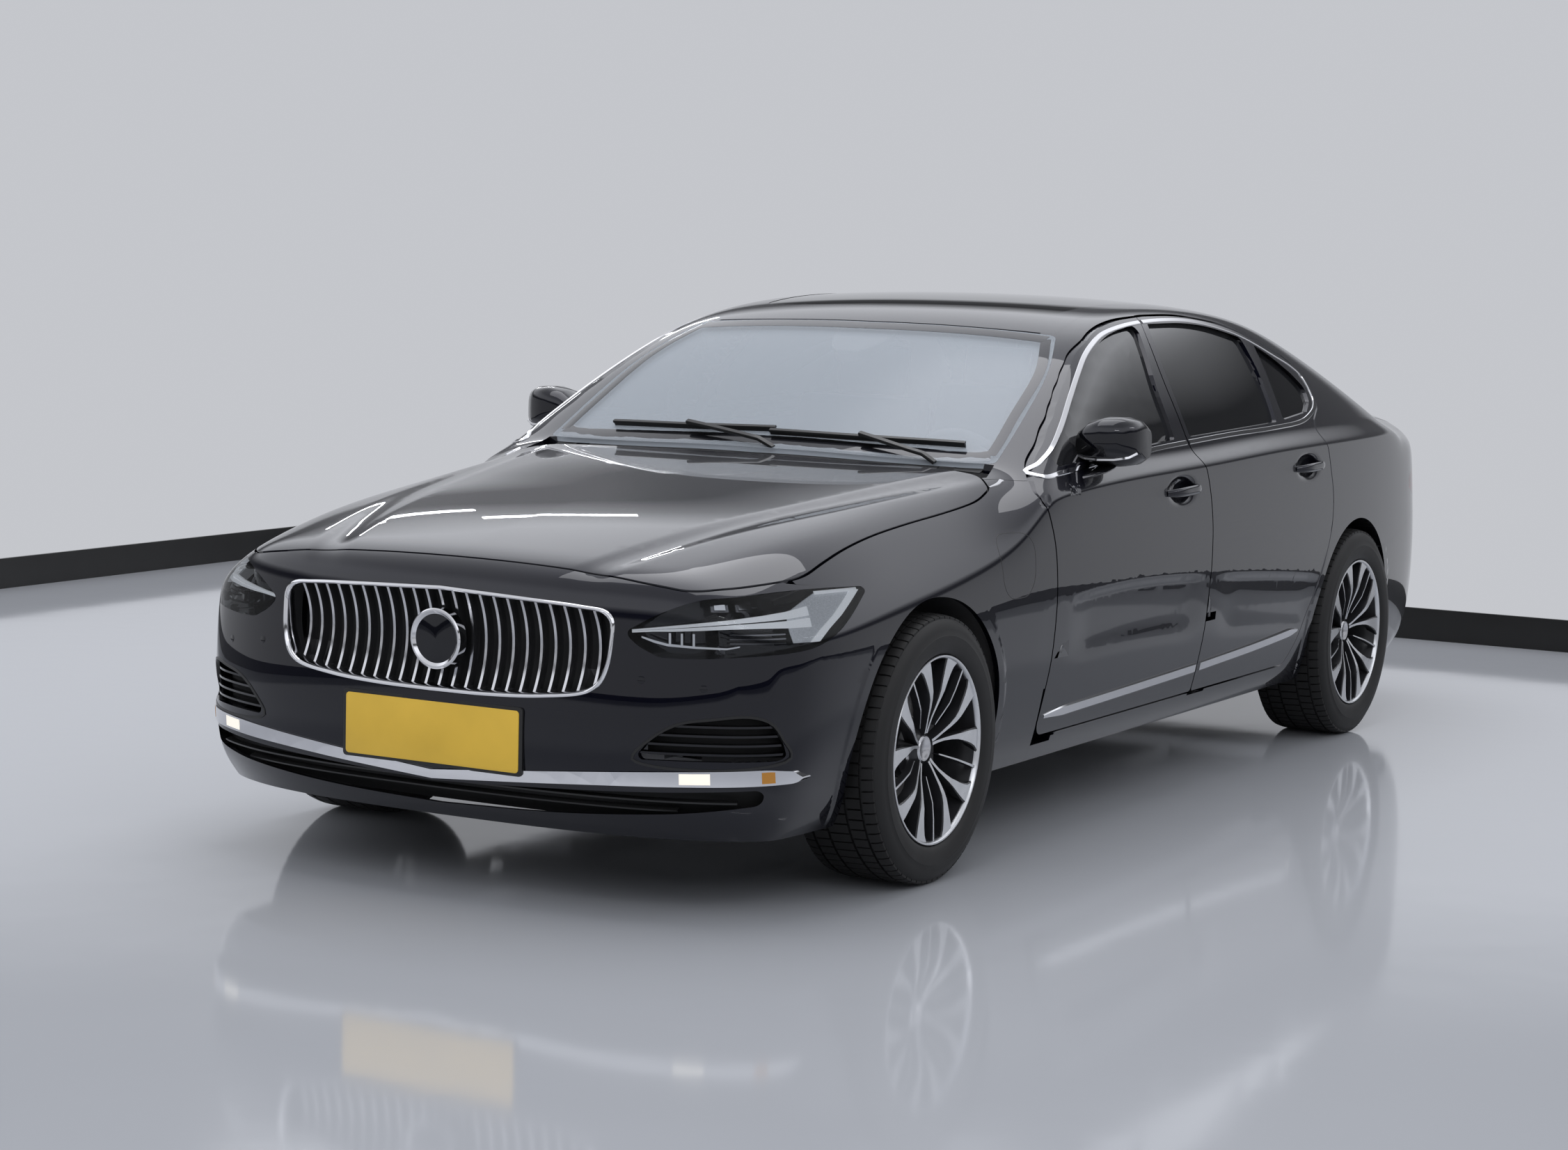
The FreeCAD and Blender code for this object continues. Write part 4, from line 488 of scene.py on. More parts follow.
class ShaderTree:
    """A material's node tree, built by expressions."""

    def __init__(self, name: str) -> None:
        """Starts a material with an empty tree.

        Args:
            name: The material's name.
        """
        self.material = bpy.data.materials.new(name)
        self.material.use_nodes = True
        self.nodes = self.material.node_tree.nodes
        self.links = self.material.node_tree.links
        self.nodes.clear()

    def node(self, kind: str, settings: dict, values: dict, output: Union[int, str] = 0) -> Term:
        """Adds a node.

        Args:
            kind: The node's type.
            settings: Its settings.
            values: Values or links of its sockets, by name or number.
            output: Which output to hand back.

        Returns:
            The output as a term.
        """
        made = self.nodes.new(kind)
        for key, value in settings.items():
            setattr(made, key, value)
        for key, value in values.items():
            if isinstance(value, Term):
                self.links.new(value.socket, made.inputs[key])
            elif isinstance(value, tuple) and made.inputs[key].type == "RGBA":
                made.inputs[key].default_value = (*value, 1.0)
            else:
                made.inputs[key].default_value = value
        return Term(self, made.outputs[output])

    def place(self) -> Term:
        """The point in the piece's own coordinates, in metres."""
        return self.node("ShaderNodeTexCoord", {}, {}, "Object")

    def parts(self, vector: Term) -> tuple[Term, Term, Term]:
        """The three coordinates of a vector."""
        split = self.node("ShaderNodeSeparateXYZ", {}, {0: vector})
        outputs = split.socket.node.outputs
        return Term(self, outputs[0]), Term(self, outputs[1]), Term(self, outputs[2])

    def noise(self, scale: float, detail: float = 3.0) -> Term:
        """Smooth noise between 0 and 1 with so many waves per metre in the piece's own place."""
        return self.node("ShaderNodeTexNoise", {}, {
            "Vector": self.place(), "Scale": scale, "Detail": detail})

    def mix(self, share: Value, first: Union[Colour, Term], second: Union[Colour, Term]) -> Term:
        """A colour between two others, the second one at a share of 1."""
        return self.node("ShaderNodeMix", {"data_type": "RGBA"}, {0: share, 6: first, 7: second}, 2)

    def bump(self, height: Term, depth: float, strength: float = 1.0) -> Term:
        """A normal pushed about by a height between 0 and 1 that is so many metres deep."""
        return self.node("ShaderNodeBump", {}, {
            "Height": height, "Distance": depth, "Strength": strength})

    def surface(self, **values: Union[Value, Colour]) -> Term:
        """The principled shader, its sockets named with underscores for blanks."""
        return self.node("ShaderNodeBsdfPrincipled", {}, {
            key.replace("_", " "): value for key, value in values.items()})

    def seen_through(self, face: Term, clear: Colour, cover: float) -> Term:
        """A face over a view through it, more of it at a glancing angle.

        Args:
            face: The face's shader.
            clear: Colour of the view through it.
            cover: How much of the face there is straight on.

        Returns:
            The mixed shader.
        """
        through = self.node("ShaderNodeBsdfTransparent", {}, {"Color": clear})
        rim = self.node("ShaderNodeFresnel", {}, {"IOR": 1.5})
        share = (rim * (1 - cover) + cover).held()
        return self.node("ShaderNodeMixShader", {}, {0: share, 1: through, 2: face})

    def done(self, shader: Term) -> bpy.types.Material:
        """Ends the tree in a shader.

        Args:
            shader: The surface shader.

        Returns:
            The material.
        """
        ending = self.nodes.new("ShaderNodeOutputMaterial")
        self.links.new(shader.socket, ending.inputs["Surface"])
        return self.material


# Finishes


@dataclass(frozen=True)
class Finish:
    """A surface that a piece can be dressed in."""

    name: str

    def build(self, tree: ShaderTree) -> Term:
        """Builds the finish's shader in a tree."""
        raise NotImplementedError

    def material(self) -> bpy.types.Material:
        """The finish's material, made when it is first asked for."""
        found = bpy.data.materials.get(self.name)
        if found is None:
            tree = ShaderTree(self.name)
            found = tree.done(self.build(tree))
        return found


@dataclass(frozen=True)
class Lacquer(Finish):
    """Colour coat with fine flakes under a clear coat."""

    colour: Colour = (0.0012, 0.0012, 0.0024)
    flake: Colour = (0.004, 0.004, 0.007)
    coat_roughness: float = 0.012

    def build(self, tree: ShaderTree) -> Term:
        """Flakes lighten the colour a little, and a faint haze of dust lies low on the sides."""
        place = tree.place()
        flakes = tree.node("ShaderNodeTexVoronoi", {}, {"Vector": place, "Scale": 1900.0})
        sparkle = (1 - flakes * 1.6).held()
        height = tree.parts(place)[2]
        haze = (1 - height * 3.2).held() * tree.noise(9.0)
        colour = tree.mix(sparkle * 0.6, self.colour, self.flake)
        colour = tree.mix(haze * 0.05, colour, (0.05, 0.048, 0.045))
        return tree.surface(Base_Color=colour, Roughness=0.34 + haze * 0.2,
                            Coat_Weight=1.0, Coat_Roughness=self.coat_roughness, Coat_IOR=1.5,
                            Specular_IOR_Level=0.09, Specular_Tint=(0.35, 0.4, 1.0))


@dataclass(frozen=True)
class Moulding(Finish):
    """Moulded plastic, glossy or grained."""

    colour: Colour = (0.012, 0.012, 0.013)
    roughness: float = 0.5
    grain: float = 700.0
    depth: float = 0.0002

    def build(self, tree: ShaderTree) -> Term:
        """Grain from one noise, tone from a slower one."""
        grain = tree.noise(self.grain, 2.0)
        tone = tree.noise(6.0)
        light = tuple(min(1.0, 1.35 * part + 0.004) for part in self.colour)
        return tree.surface(Base_Color=tree.mix(tone, self.colour, light),
                            Roughness=(self.roughness - 0.05) + grain * 0.1,
                            Normal=tree.bump(grain, self.depth, 0.5))


@dataclass(frozen=True)
class Epoxy(Finish):
    """Plain polished floor coat."""

    colour: Colour = (0.50, 0.515, 0.545)

    def build(self, tree: ShaderTree) -> Term:
        """One even tone under a clear, faintly uneven coat."""
        wave = tree.noise(1.6)
        return tree.surface(Base_Color=self.colour, Roughness=wave * 0.04 + 0.06,
                            Normal=tree.bump(wave, 0.004, 0.25), Specular_IOR_Level=0.6)


@dataclass(frozen=True)
class Chrome(Finish):
    """Bright plated metal, polished or satin."""

    colour: Colour = (0.80, 0.80, 0.82)
    roughness: float = 0.06

    def build(self, tree: ShaderTree) -> Term:
        """A slow smear keeps the mirror from being perfect."""
        smear = tree.noise(14.0)
        dark = tuple(0.9 * part for part in self.colour)
        return tree.surface(Base_Color=tree.mix(smear, self.colour, dark), Metallic=1.0,
                            Roughness=smear * 0.05 + self.roughness)


@dataclass(frozen=True)
class Glazing(Finish):
    """Tinted sheet glass that is seen through and mirrors the studio; on the windscreen its pale
    face colour is a painted reflection of the bright ceiling.
    """

    # Face colour: the glass's own tint, but on the windscreen a pale painted reflection of the
    # ceiling.
    tint: Colour = (0.02, 0.022, 0.026)
    clear: Colour = (0.35, 0.38, 0.42)
    cover: float = 0.55
    roughness: float = 0.01

    def build(self, tree: ShaderTree) -> Term:
        """A glossy face over a tinted view through the glass: dark on tinted glass, pale on the
        windscreen as a painted reflection of the ceiling.
        """
        streaks = tree.noise(3.0)
        face = tree.surface(Base_Color=tree.mix(streaks * 0.3, self.tint, (0.05, 0.05, 0.055)),
                            Roughness=streaks * 0.01 + self.roughness, IOR=1.52,
                            Coat_Weight=0.6, Coat_Roughness=0.01)
        return tree.seen_through(face, self.clear, self.cover)


@dataclass(frozen=True)
class Lens(Finish):
    """Clear or coloured lamp cover."""

    clear: Colour = (0.92, 0.94, 0.96)
    tint: Colour = (0.02, 0.02, 0.02)
    cover: float = 0.10

    def build(self, tree: ShaderTree) -> Term:
        """Mirrors at a glancing angle and is clear straight on."""
        cloud = tree.noise(20.0)
        face = tree.surface(Base_Color=self.tint, Roughness=cloud * 0.02 + 0.01,
                            Coat_Weight=1.0, Coat_Roughness=0.01)
        return tree.seen_through(face, self.clear, self.cover)


@dataclass(frozen=True)
class Glow(Finish):
    """A lit light guide behind a diffusing face."""

    colour: Colour = (0.9, 0.93, 1.0)
    strength: float = 0.9

    def build(self, tree: ShaderTree) -> Term:
        """Fine ribs along the guide vary its light."""
        ribs = tree.noise(260.0, 1.0)
        return tree.surface(Base_Color=tree.mix(ribs, self.colour, (0.75, 0.77, 0.8)),
                            Roughness=ribs * 0.1 + 0.2, Emission_Color=self.colour,
                            Emission_Strength=self.strength, Coat_Weight=0.5)


@dataclass(frozen=True)
class Rubber(Finish):
    """Tyre rubber with a dusty bloom."""

    colour: Colour = (0.008, 0.008, 0.008)

    def build(self, tree: ShaderTree) -> Term:
        """Bloom and fine grain."""
        bloom = tree.noise(11.0)
        grain = tree.noise(420.0, 4.0)
        return tree.surface(Base_Color=tree.mix(bloom * 0.6, self.colour, (0.02, 0.019, 0.019)),
                            Roughness=bloom * 0.2 + 0.5,
                            Normal=tree.bump(grain, 0.0004, 0.45), Specular_IOR_Level=0.4)


@dataclass(frozen=True)
class Turned(Finish):
    """Bright alloy or steel with the fine rings that a lathe leaves about a wheel's axle."""

    colour: Colour = (0.78, 0.79, 0.81)
    roughness: float = 0.24
    axle_y: float = 0.0
    pitch: float = 0.0016
    ring_depth: float = 0.00003

    def build(self, tree: ShaderTree) -> Term:
        """Rings of the distance from the axle."""
        _, y, z = tree.parts(tree.place())
        radius = ((y - self.axle_y) ** 2.0 + (z - AXLE_HEIGHT * MM) ** 2.0) ** 0.5
        rings = (radius * (2 * math.pi / self.pitch)).sine() * 0.5 + 0.5
        stain = tree.noise(30.0)
        dark = tuple(0.8 * part for part in self.colour)
        return tree.surface(Base_Color=tree.mix(stain, self.colour, dark), Metallic=1.0,
                            Roughness=stain * 0.1 + self.roughness,
                            Normal=tree.bump(rings, self.ring_depth, 0.4))


@dataclass(frozen=True)
class Cast(Finish):
    """Cast or coated metal of the chassis."""

    colour: Colour = (0.05, 0.05, 0.052)
    metallic: float = 0.0
    roughness: float = 0.55

    def build(self, tree: ShaderTree) -> Term:
        """Road dirt in patches over a grainy coat."""
        grain = tree.noise(180.0, 5.0)
        dirt = tree.noise(7.0, 5.0)
        worn = (dirt * 1.8 - 0.7).held()
        return tree.surface(Base_Color=tree.mix(worn * 0.5, self.colour, (0.11, 0.10, 0.09)),
                            Metallic=self.metallic, Roughness=worn * 0.2 + self.roughness,
                            Normal=tree.bump(grain, 0.0008, 0.5))


@dataclass(frozen=True)
class Leather(Finish):
    """Fine grained hide."""

    colour: Colour = (0.028, 0.026, 0.026)

    def build(self, tree: ShaderTree) -> Term:
        """Pebbled grain and a slow change of tone."""
        pebbles = tree.node("ShaderNodeTexVoronoi", {"feature": "SMOOTH_F1"}, {
            "Vector": tree.place(), "Scale": 520.0})
        tone = tree.noise(5.0)
        light = tuple(1.7 * part for part in self.colour)
        return tree.surface(Base_Color=tree.mix(tone, self.colour, light),
                            Roughness=tone * 0.12 + 0.42,
                            Normal=tree.bump(pebbles, 0.0005, 0.4))


LACQUER = Lacquer("black_lacquer")
PIANO = Lacquer("piano_black", (0.002, 0.002, 0.002), (0.004, 0.004, 0.004), 0.02)
CHROME = Chrome("bright_chrome")
SATIN_CHROME = Chrome("satin_chrome", (0.62, 0.62, 0.64), 0.2)
DARK_CHROME = Chrome("dark_chrome", (0.16, 0.16, 0.17), 0.12)
# The windscreen's pale blue-grey face, covering most of the view straight on, is a painted
# reflection of the bright ceiling.
WINDSCREEN_PAINTED_REFLECTION = Glazing("screen_glass", (0.15, 0.175, 0.22), (0.50, 0.55, 0.62), 0.62)
PRIVACY = Glazing("privacy_glass", (0.010, 0.011, 0.012), (0.16, 0.17, 0.18), 0.72)
ROOF_GLASS = Glazing("roof_glass", (0.006, 0.006, 0.007), (0.08, 0.08, 0.09), 0.88)
LENS = Lens("lamp_lens")
RED_LENS = Lens("red_lens", (0.7, 0.03, 0.03), (0.12, 0.002, 0.004), 0.45)
AMBER = Lens("amber_lens", (0.9, 0.45, 0.05), (0.65, 0.28, 0.02), 0.8)
GLOW = Glow("light_guide", (0.62, 0.64, 0.67), 0.42)
FROSTED = Glow("frosted_guide", (0.40, 0.42, 0.45), 0.14)
WARM_GLOW = Glow("day_lamp", (0.95, 0.88, 0.72), 0.6)
POCKET = Moulding("wheel_pocket", (0.018, 0.018, 0.02), 0.3, 500.0, 0.00005)
RUBBER = Rubber("tyre_rubber")
GRAINED = Moulding("grained_plastic")
BLACK_TRIM = Moulding("satin_black_trim", (0.008, 0.008, 0.008), 0.3, 900.0, 0.00005)
DARK_VOID = Moulding("dark_mesh", (0.004, 0.004, 0.004), 0.7)
PLATE = Moulding("plate_yellow", (0.72, 0.46, 0.05), 0.38, 60.0, 0.0001)
UNDERSEAL = Cast("underseal")
ALLOY_CAST = Cast("cast_alloy", (0.30, 0.30, 0.31), 0.8, 0.45)
STEEL = Cast("exhaust_steel", (0.34, 0.33, 0.31), 1.0, 0.35)
LEATHER = Leather("seat_leather")
TRIM_LEATHER = Leather("trim_leather", (0.02, 0.019, 0.02))
CARPET = Moulding("carpet", (0.012, 0.012, 0.013), 0.95, 380.0, 0.002)
RED_GLOW = Glow("red_light_guide", (0.75, 0.02, 0.02), 0.5)
FLOOR = Epoxy("studio_floor")


# Meshes


Faces = list[tuple[int, ...]]


@dataclass
class Shape:
    """Vertices in millimetres and faces, before they become a mesh."""

    points: Points = field(default_factory=lambda: np.zeros((0, 3)))
    faces: Faces = field(default_factory=list)
    marks: list[int] = field(default_factory=list)

    def join(self, other: "Shape", mark: Optional[int] = None) -> "Shape":
        """Adds another shape to this one.

        Args:
            other: The shape to add.
            mark: The finish number of all its faces, or its own ones.

        Returns:
            This shape.
        """
        base = len(self.points)
        self.points = np.vstack([self.points, other.points])
        self.faces += [tuple(base + i for i in face) for face in other.faces]
        own = other.marks or [0] * len(other.faces)
        self.marks = (self.marks or [0] * (len(self.faces) - len(other.faces)))
        self.marks += [mark] * len(other.faces) if mark is not None else own
        return self

    def mirrored(self) -> "Shape":
        """The same shape on the other side of the car."""
        flipped = self.points * (-1, 1, 1)
        return Shape(flipped, [tuple(reversed(face)) for face in self.faces], list(self.marks))

    def on(self, side: Side) -> "Shape":
        """The shape on one side, from one that is drawn on the left."""
        return self if side is Side.LEFT else self.mirrored()

    def facing_out(self) -> "Shape":
        """The same closed shape with its faces pointing outwards."""
        total = 0.0
        middle = self.points.mean(0) if len(self.points) else np.zeros(3)
        for face in self.faces:
            corners = self.points[list(face)] - middle
            for i in range(1, len(face) - 1):
                total += float(np.dot(corners[0], np.cross(corners[i], corners[i + 1])))
        if total < 0:
            self.faces = [tuple(reversed(face)) for face in self.faces]
        return self


def tube(rings: Points, closed_path: bool = False) -> Shape:
    """Closed skin over a row of rings with as many points each.

    Args:
        rings: Array of rings, points and coordinates.
        closed_path: Whether the last ring joins the first, else the ends get faces.

    Returns:
        The shape, faces outwards.
    """
    count, around = rings.shape[:2]
    faces: Faces = []
    for i in range(count if closed_path else count - 1):
        following = (i + 1) % count
        for j in range(around):
            k = (j + 1) % around
            faces.append((i * around + j, i * around + k, following * around + k,
                          following * around + j))
    if not closed_path:
        faces.append(tuple(reversed(range(around))))
        faces.append(tuple((count - 1) * around + j for j in range(around)))
    return Shape(rings.reshape(-1, 3), faces).facing_out()


def sheet_of(rows: Points, back: Points) -> Shape:
    """Closed sheet between two nets of points of the same size.

    Args:
        rows: Net of the front, rows by columns by coordinates.
        back: Net of the back.

    Returns:
        The shape, faces outwards.
    """
    high, wide = rows.shape[:2]
    faces: Faces = []
    base = high * wide
    for i in range(high - 1):
        for j in range(wide - 1):
            a, b = i * wide + j, i * wide + j + 1
            c, d = a + wide + 1, a + wide
            faces.append((a, b, c, d))
            faces.append((base + d, base + c, base + b, base + a))
    border = ([(0, j) for j in range(wide)] + [(i, wide - 1) for i in range(1, high)]
              + [(high - 1, j) for j in range(wide - 2, -1, -1)]
              + [(i, 0) for i in range(high - 2, 0, -1)])
    ring = [i * wide + j for i, j in border]
    for a, b in zip(ring, ring[1:] + ring[:1]):
        faces.append((b, a, base + a, base + b))
    return Shape(np.vstack([rows.reshape(-1, 3), back.reshape(-1, 3)]), faces).facing_out()


def turns(count: int) -> Points:
    """Angles of evenly spaced places around a circle, in radians."""
    return np.arange(count) * (2 * math.pi / count)


def revolved(outline: Sequence[Corner], centre: Sequence[float], count: int = 96) -> Shape:
    """Closed ring turned about a line across the car.

    Args:
        outline: Closed outline of (x from the centre, radius).
        centre: A point on the line.
        count: Steps around.

    Returns:
        The shape.
    """
    x, y, z = centre
    rings = []
    for turn in turns(count):
        rings.append([(x + a, y + r * math.sin(turn), z + r * math.cos(turn))
                      for a, r in outline])
    return tube(np.array(rings), closed_path=True)


def smooth_line(corners: Sequence[Sequence[float]], step: float, closed: bool = False) -> Points:
    """Evenly stepped smooth line through points of a plane or of space.

    Args:
        corners: The points.
        step: Distance between the new points.
        closed: Whether the line runs back to its start.

    Returns:
        The new points, one per row.
    """
    points = np.array(corners, float)
    if closed:
        points = np.vstack([points, points[:1]])
    dense = []
    count = len(points) - 1
    for i in range(count):
        before = points[i - 1] if i > 0 else (points[-2] if closed else 2 * points[0] - points[1])
        after = (points[i + 2] if i + 2 <= count
                 else (points[1] if closed else 2 * points[-1] - points[-2]))
        here, there = points[i], points[i + 1]
        spans = [max(1e-6, float(np.linalg.norm(b - a))) ** 0.5
                 for a, b in ((before, here), (here, there), (there, after))]
        lean_in = (there - here + spans[1] * ((here - before) / spans[0]
                   - (there - before) / (spans[0] + spans[1])))
        lean_out = (there - here + spans[1] * ((after - there) / spans[2]
                    - (after - here) / (spans[1] + spans[2])))
        for t in np.arange(24) / 24:
            dense.append((2 * t ** 3 - 3 * t * t + 1) * here + (t ** 3 - 2 * t * t + t) * lean_in
                         + (3 * t * t - 2 * t ** 3) * there + (t ** 3 - t * t) * lean_out)
    dense.append(points[-1])
    line = np.array(dense)
    length = np.concatenate([[0], np.cumsum(np.linalg.norm(np.diff(line, axis=0), axis=1))])
    steps = max(2, int(round(length[-1] / step)) + 1)
    places = np.linspace(0, length[-1], steps)
    even = np.stack([np.interp(places, length, line[:, k]) for k in range(line.shape[1])], 1)
    return even[:-1] if closed else even


def swept(path: Points, up: Points, profile: Sequence[Corner], closed: bool = False,
          scale: Optional[Points] = None) -> Shape:
    """Profile carried along a path.

    Args:
        path: Points of the path.
        up: The way out of the surface at each point.
        profile: Closed outline of (sideways, outwards).
        closed: Whether the path runs back to its start.
        scale: Sideways scale of the profile at each point.

    Returns:
        The closed shape.
    """
    if closed:
        along = np.roll(path, -1, 0) - np.roll(path, 1, 0)
    else:
        along = np.gradient(path, axis=0)
    along /= np.linalg.norm(along, axis=1, keepdims=True)
    up = up - along * (up * along).sum(1, keepdims=True)
    up /= np.linalg.norm(up, axis=1, keepdims=True)
    sideways = np.cross(up, along)
    widths = np.ones(len(path)) if scale is None else scale
    rings = np.stack([path + sideways * (a * widths)[:, None] + up * b for a, b in profile], 1)
    return tube(rings, closed_path=closed)


def slab_between(outline: Points, low: float, top: float, axis: int) -> Shape:
    """Straight prism over a flat outline, from low to top along an axis."""
    rings = np.stack([np.insert(outline, axis, place, axis=1) for place in (low, top)])
    return tube(rings)


def rounded_outline(width: float, height: float, radius: float, steps: int = 5) -> Points:
    """Outline of a rectangle with round corners about the origin."""
    points = []
    for quarter in range(4):
        sign_a = 1 if quarter in (0, 3) else -1
        sign_b = 1 if quarter < 2 else -1
        centre = np.array([sign_a * (width / 2 - radius), sign_b * (height / 2 - radius)])
        for i in range(steps + 1):
            turn = math.radians(90 * quarter + 90 * i / steps)
            points.append(centre + radius * np.array([math.cos(turn), math.sin(turn)]))
    return np.array(points)


def rounded_block(size: Corner, radius: float, span: Corner, axis: int,
                  place: Sequence[float]) -> Shape:
    """Block with round corners.

    Args:
        size: Its width and height across the axis.
        radius: Radius of its corners.
        span: Where it starts and ends on the axis, before it is moved.
        axis: The axis that it runs along.
        place: How far it is moved.

    Returns:
        The shape.
    """
    block = slab_between(rounded_outline(*size, radius), *span, axis)
    block.points += place
    return block


SMOOTH_ANGLE = 35.0
BEVELLED_ANGLE = 40.0
PIECES_MADE: dict[str, int] = {}


def make_mesh(name: str, shape: Shape, finishes: Sequence[Finish],
              smooth: float = SMOOTH_ANGLE,
              bevel: float = 0.0) -> bpy.types.Object:
    """Turns a shape into an object in metres.

    Args:
        name: The object's name.
        shape: The shape in millimetres.
        finishes: The finishes that its marks number.
        smooth: Angle in degrees up to which edges are shaded smooth.
        bevel: Width in millimetres of a bevel on sharp edges.

    Returns:
        The object.
    """
    mesh = bpy.data.meshes.new(name)
    mesh.from_pydata((shape.points * MM).tolist(), [], shape.faces)
    for finish in finishes:
        mesh.materials.append(finish.material())
    if shape.marks:
        mesh.polygons.foreach_set("material_index", shape.marks)
    mesh.polygons.foreach_set("use_smooth", [True] * len(mesh.polygons))
    mesh.update()
    made = bpy.data.objects.new(name, mesh)
    bpy.context.scene.collection.objects.link(made)
    if bevel > 0:
        edge = made.modifiers.new("edge", "BEVEL")
        edge.width = bevel * MM
        edge.segments = 2
        edge.limit_method = "ANGLE"
        edge.angle_limit = math.radians(BEVELLED_ANGLE)
        apply_modifiers(made)
        mesh = made.data
    mesh.set_sharp_from_angle(angle=math.radians(smooth))
    return made


def apply_modifiers(made: bpy.types.Object) -> None:
    """Replaces an object's mesh by what its modifiers make, and removes them."""
    graph = bpy.context.evaluated_depsgraph_get()
    mesh = bpy.data.meshes.new_from_object(made.evaluated_get(graph))
    old = made.data
    made.modifiers.clear()
    made.data = mesh
    name = old.name
    bpy.data.meshes.remove(old)
    mesh.name = name


def place_piece(made: bpy.types.Object, body: str,
                replaces: Iterable[str] = ()) -> bpy.types.Object:
    """Hands a finished object to the frame.

    Args:
        made: The object.
        body: The CAD body that it rides on.
        replaces: CAD nodes that it stands for.

    Returns:
        The object.
    """
    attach(made, body)
    nodes = tuple(replaces)
    if nodes:
        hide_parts(*nodes)
    PIECES_MADE[made.name] = sum(len(face.vertices) - 2 for face in made.data.polygons)
    log.info("%s on %s, %d triangles", made.name, body, PIECES_MADE[made.name])
    return made


def build_piece(name: str, shape: Shape, finishes: Sequence[Finish], body: str,
                replaces: Iterable[str] = (), smooth: float = SMOOTH_ANGLE,
                bevel: float = 0.0) -> bpy.types.Object:
    """Makes a mesh from a shape, dresses it and hands it to the frame."""
    made = make_mesh(name, shape, finishes, smooth, bevel)
    return place_piece(made, body, replaces)


# Panels


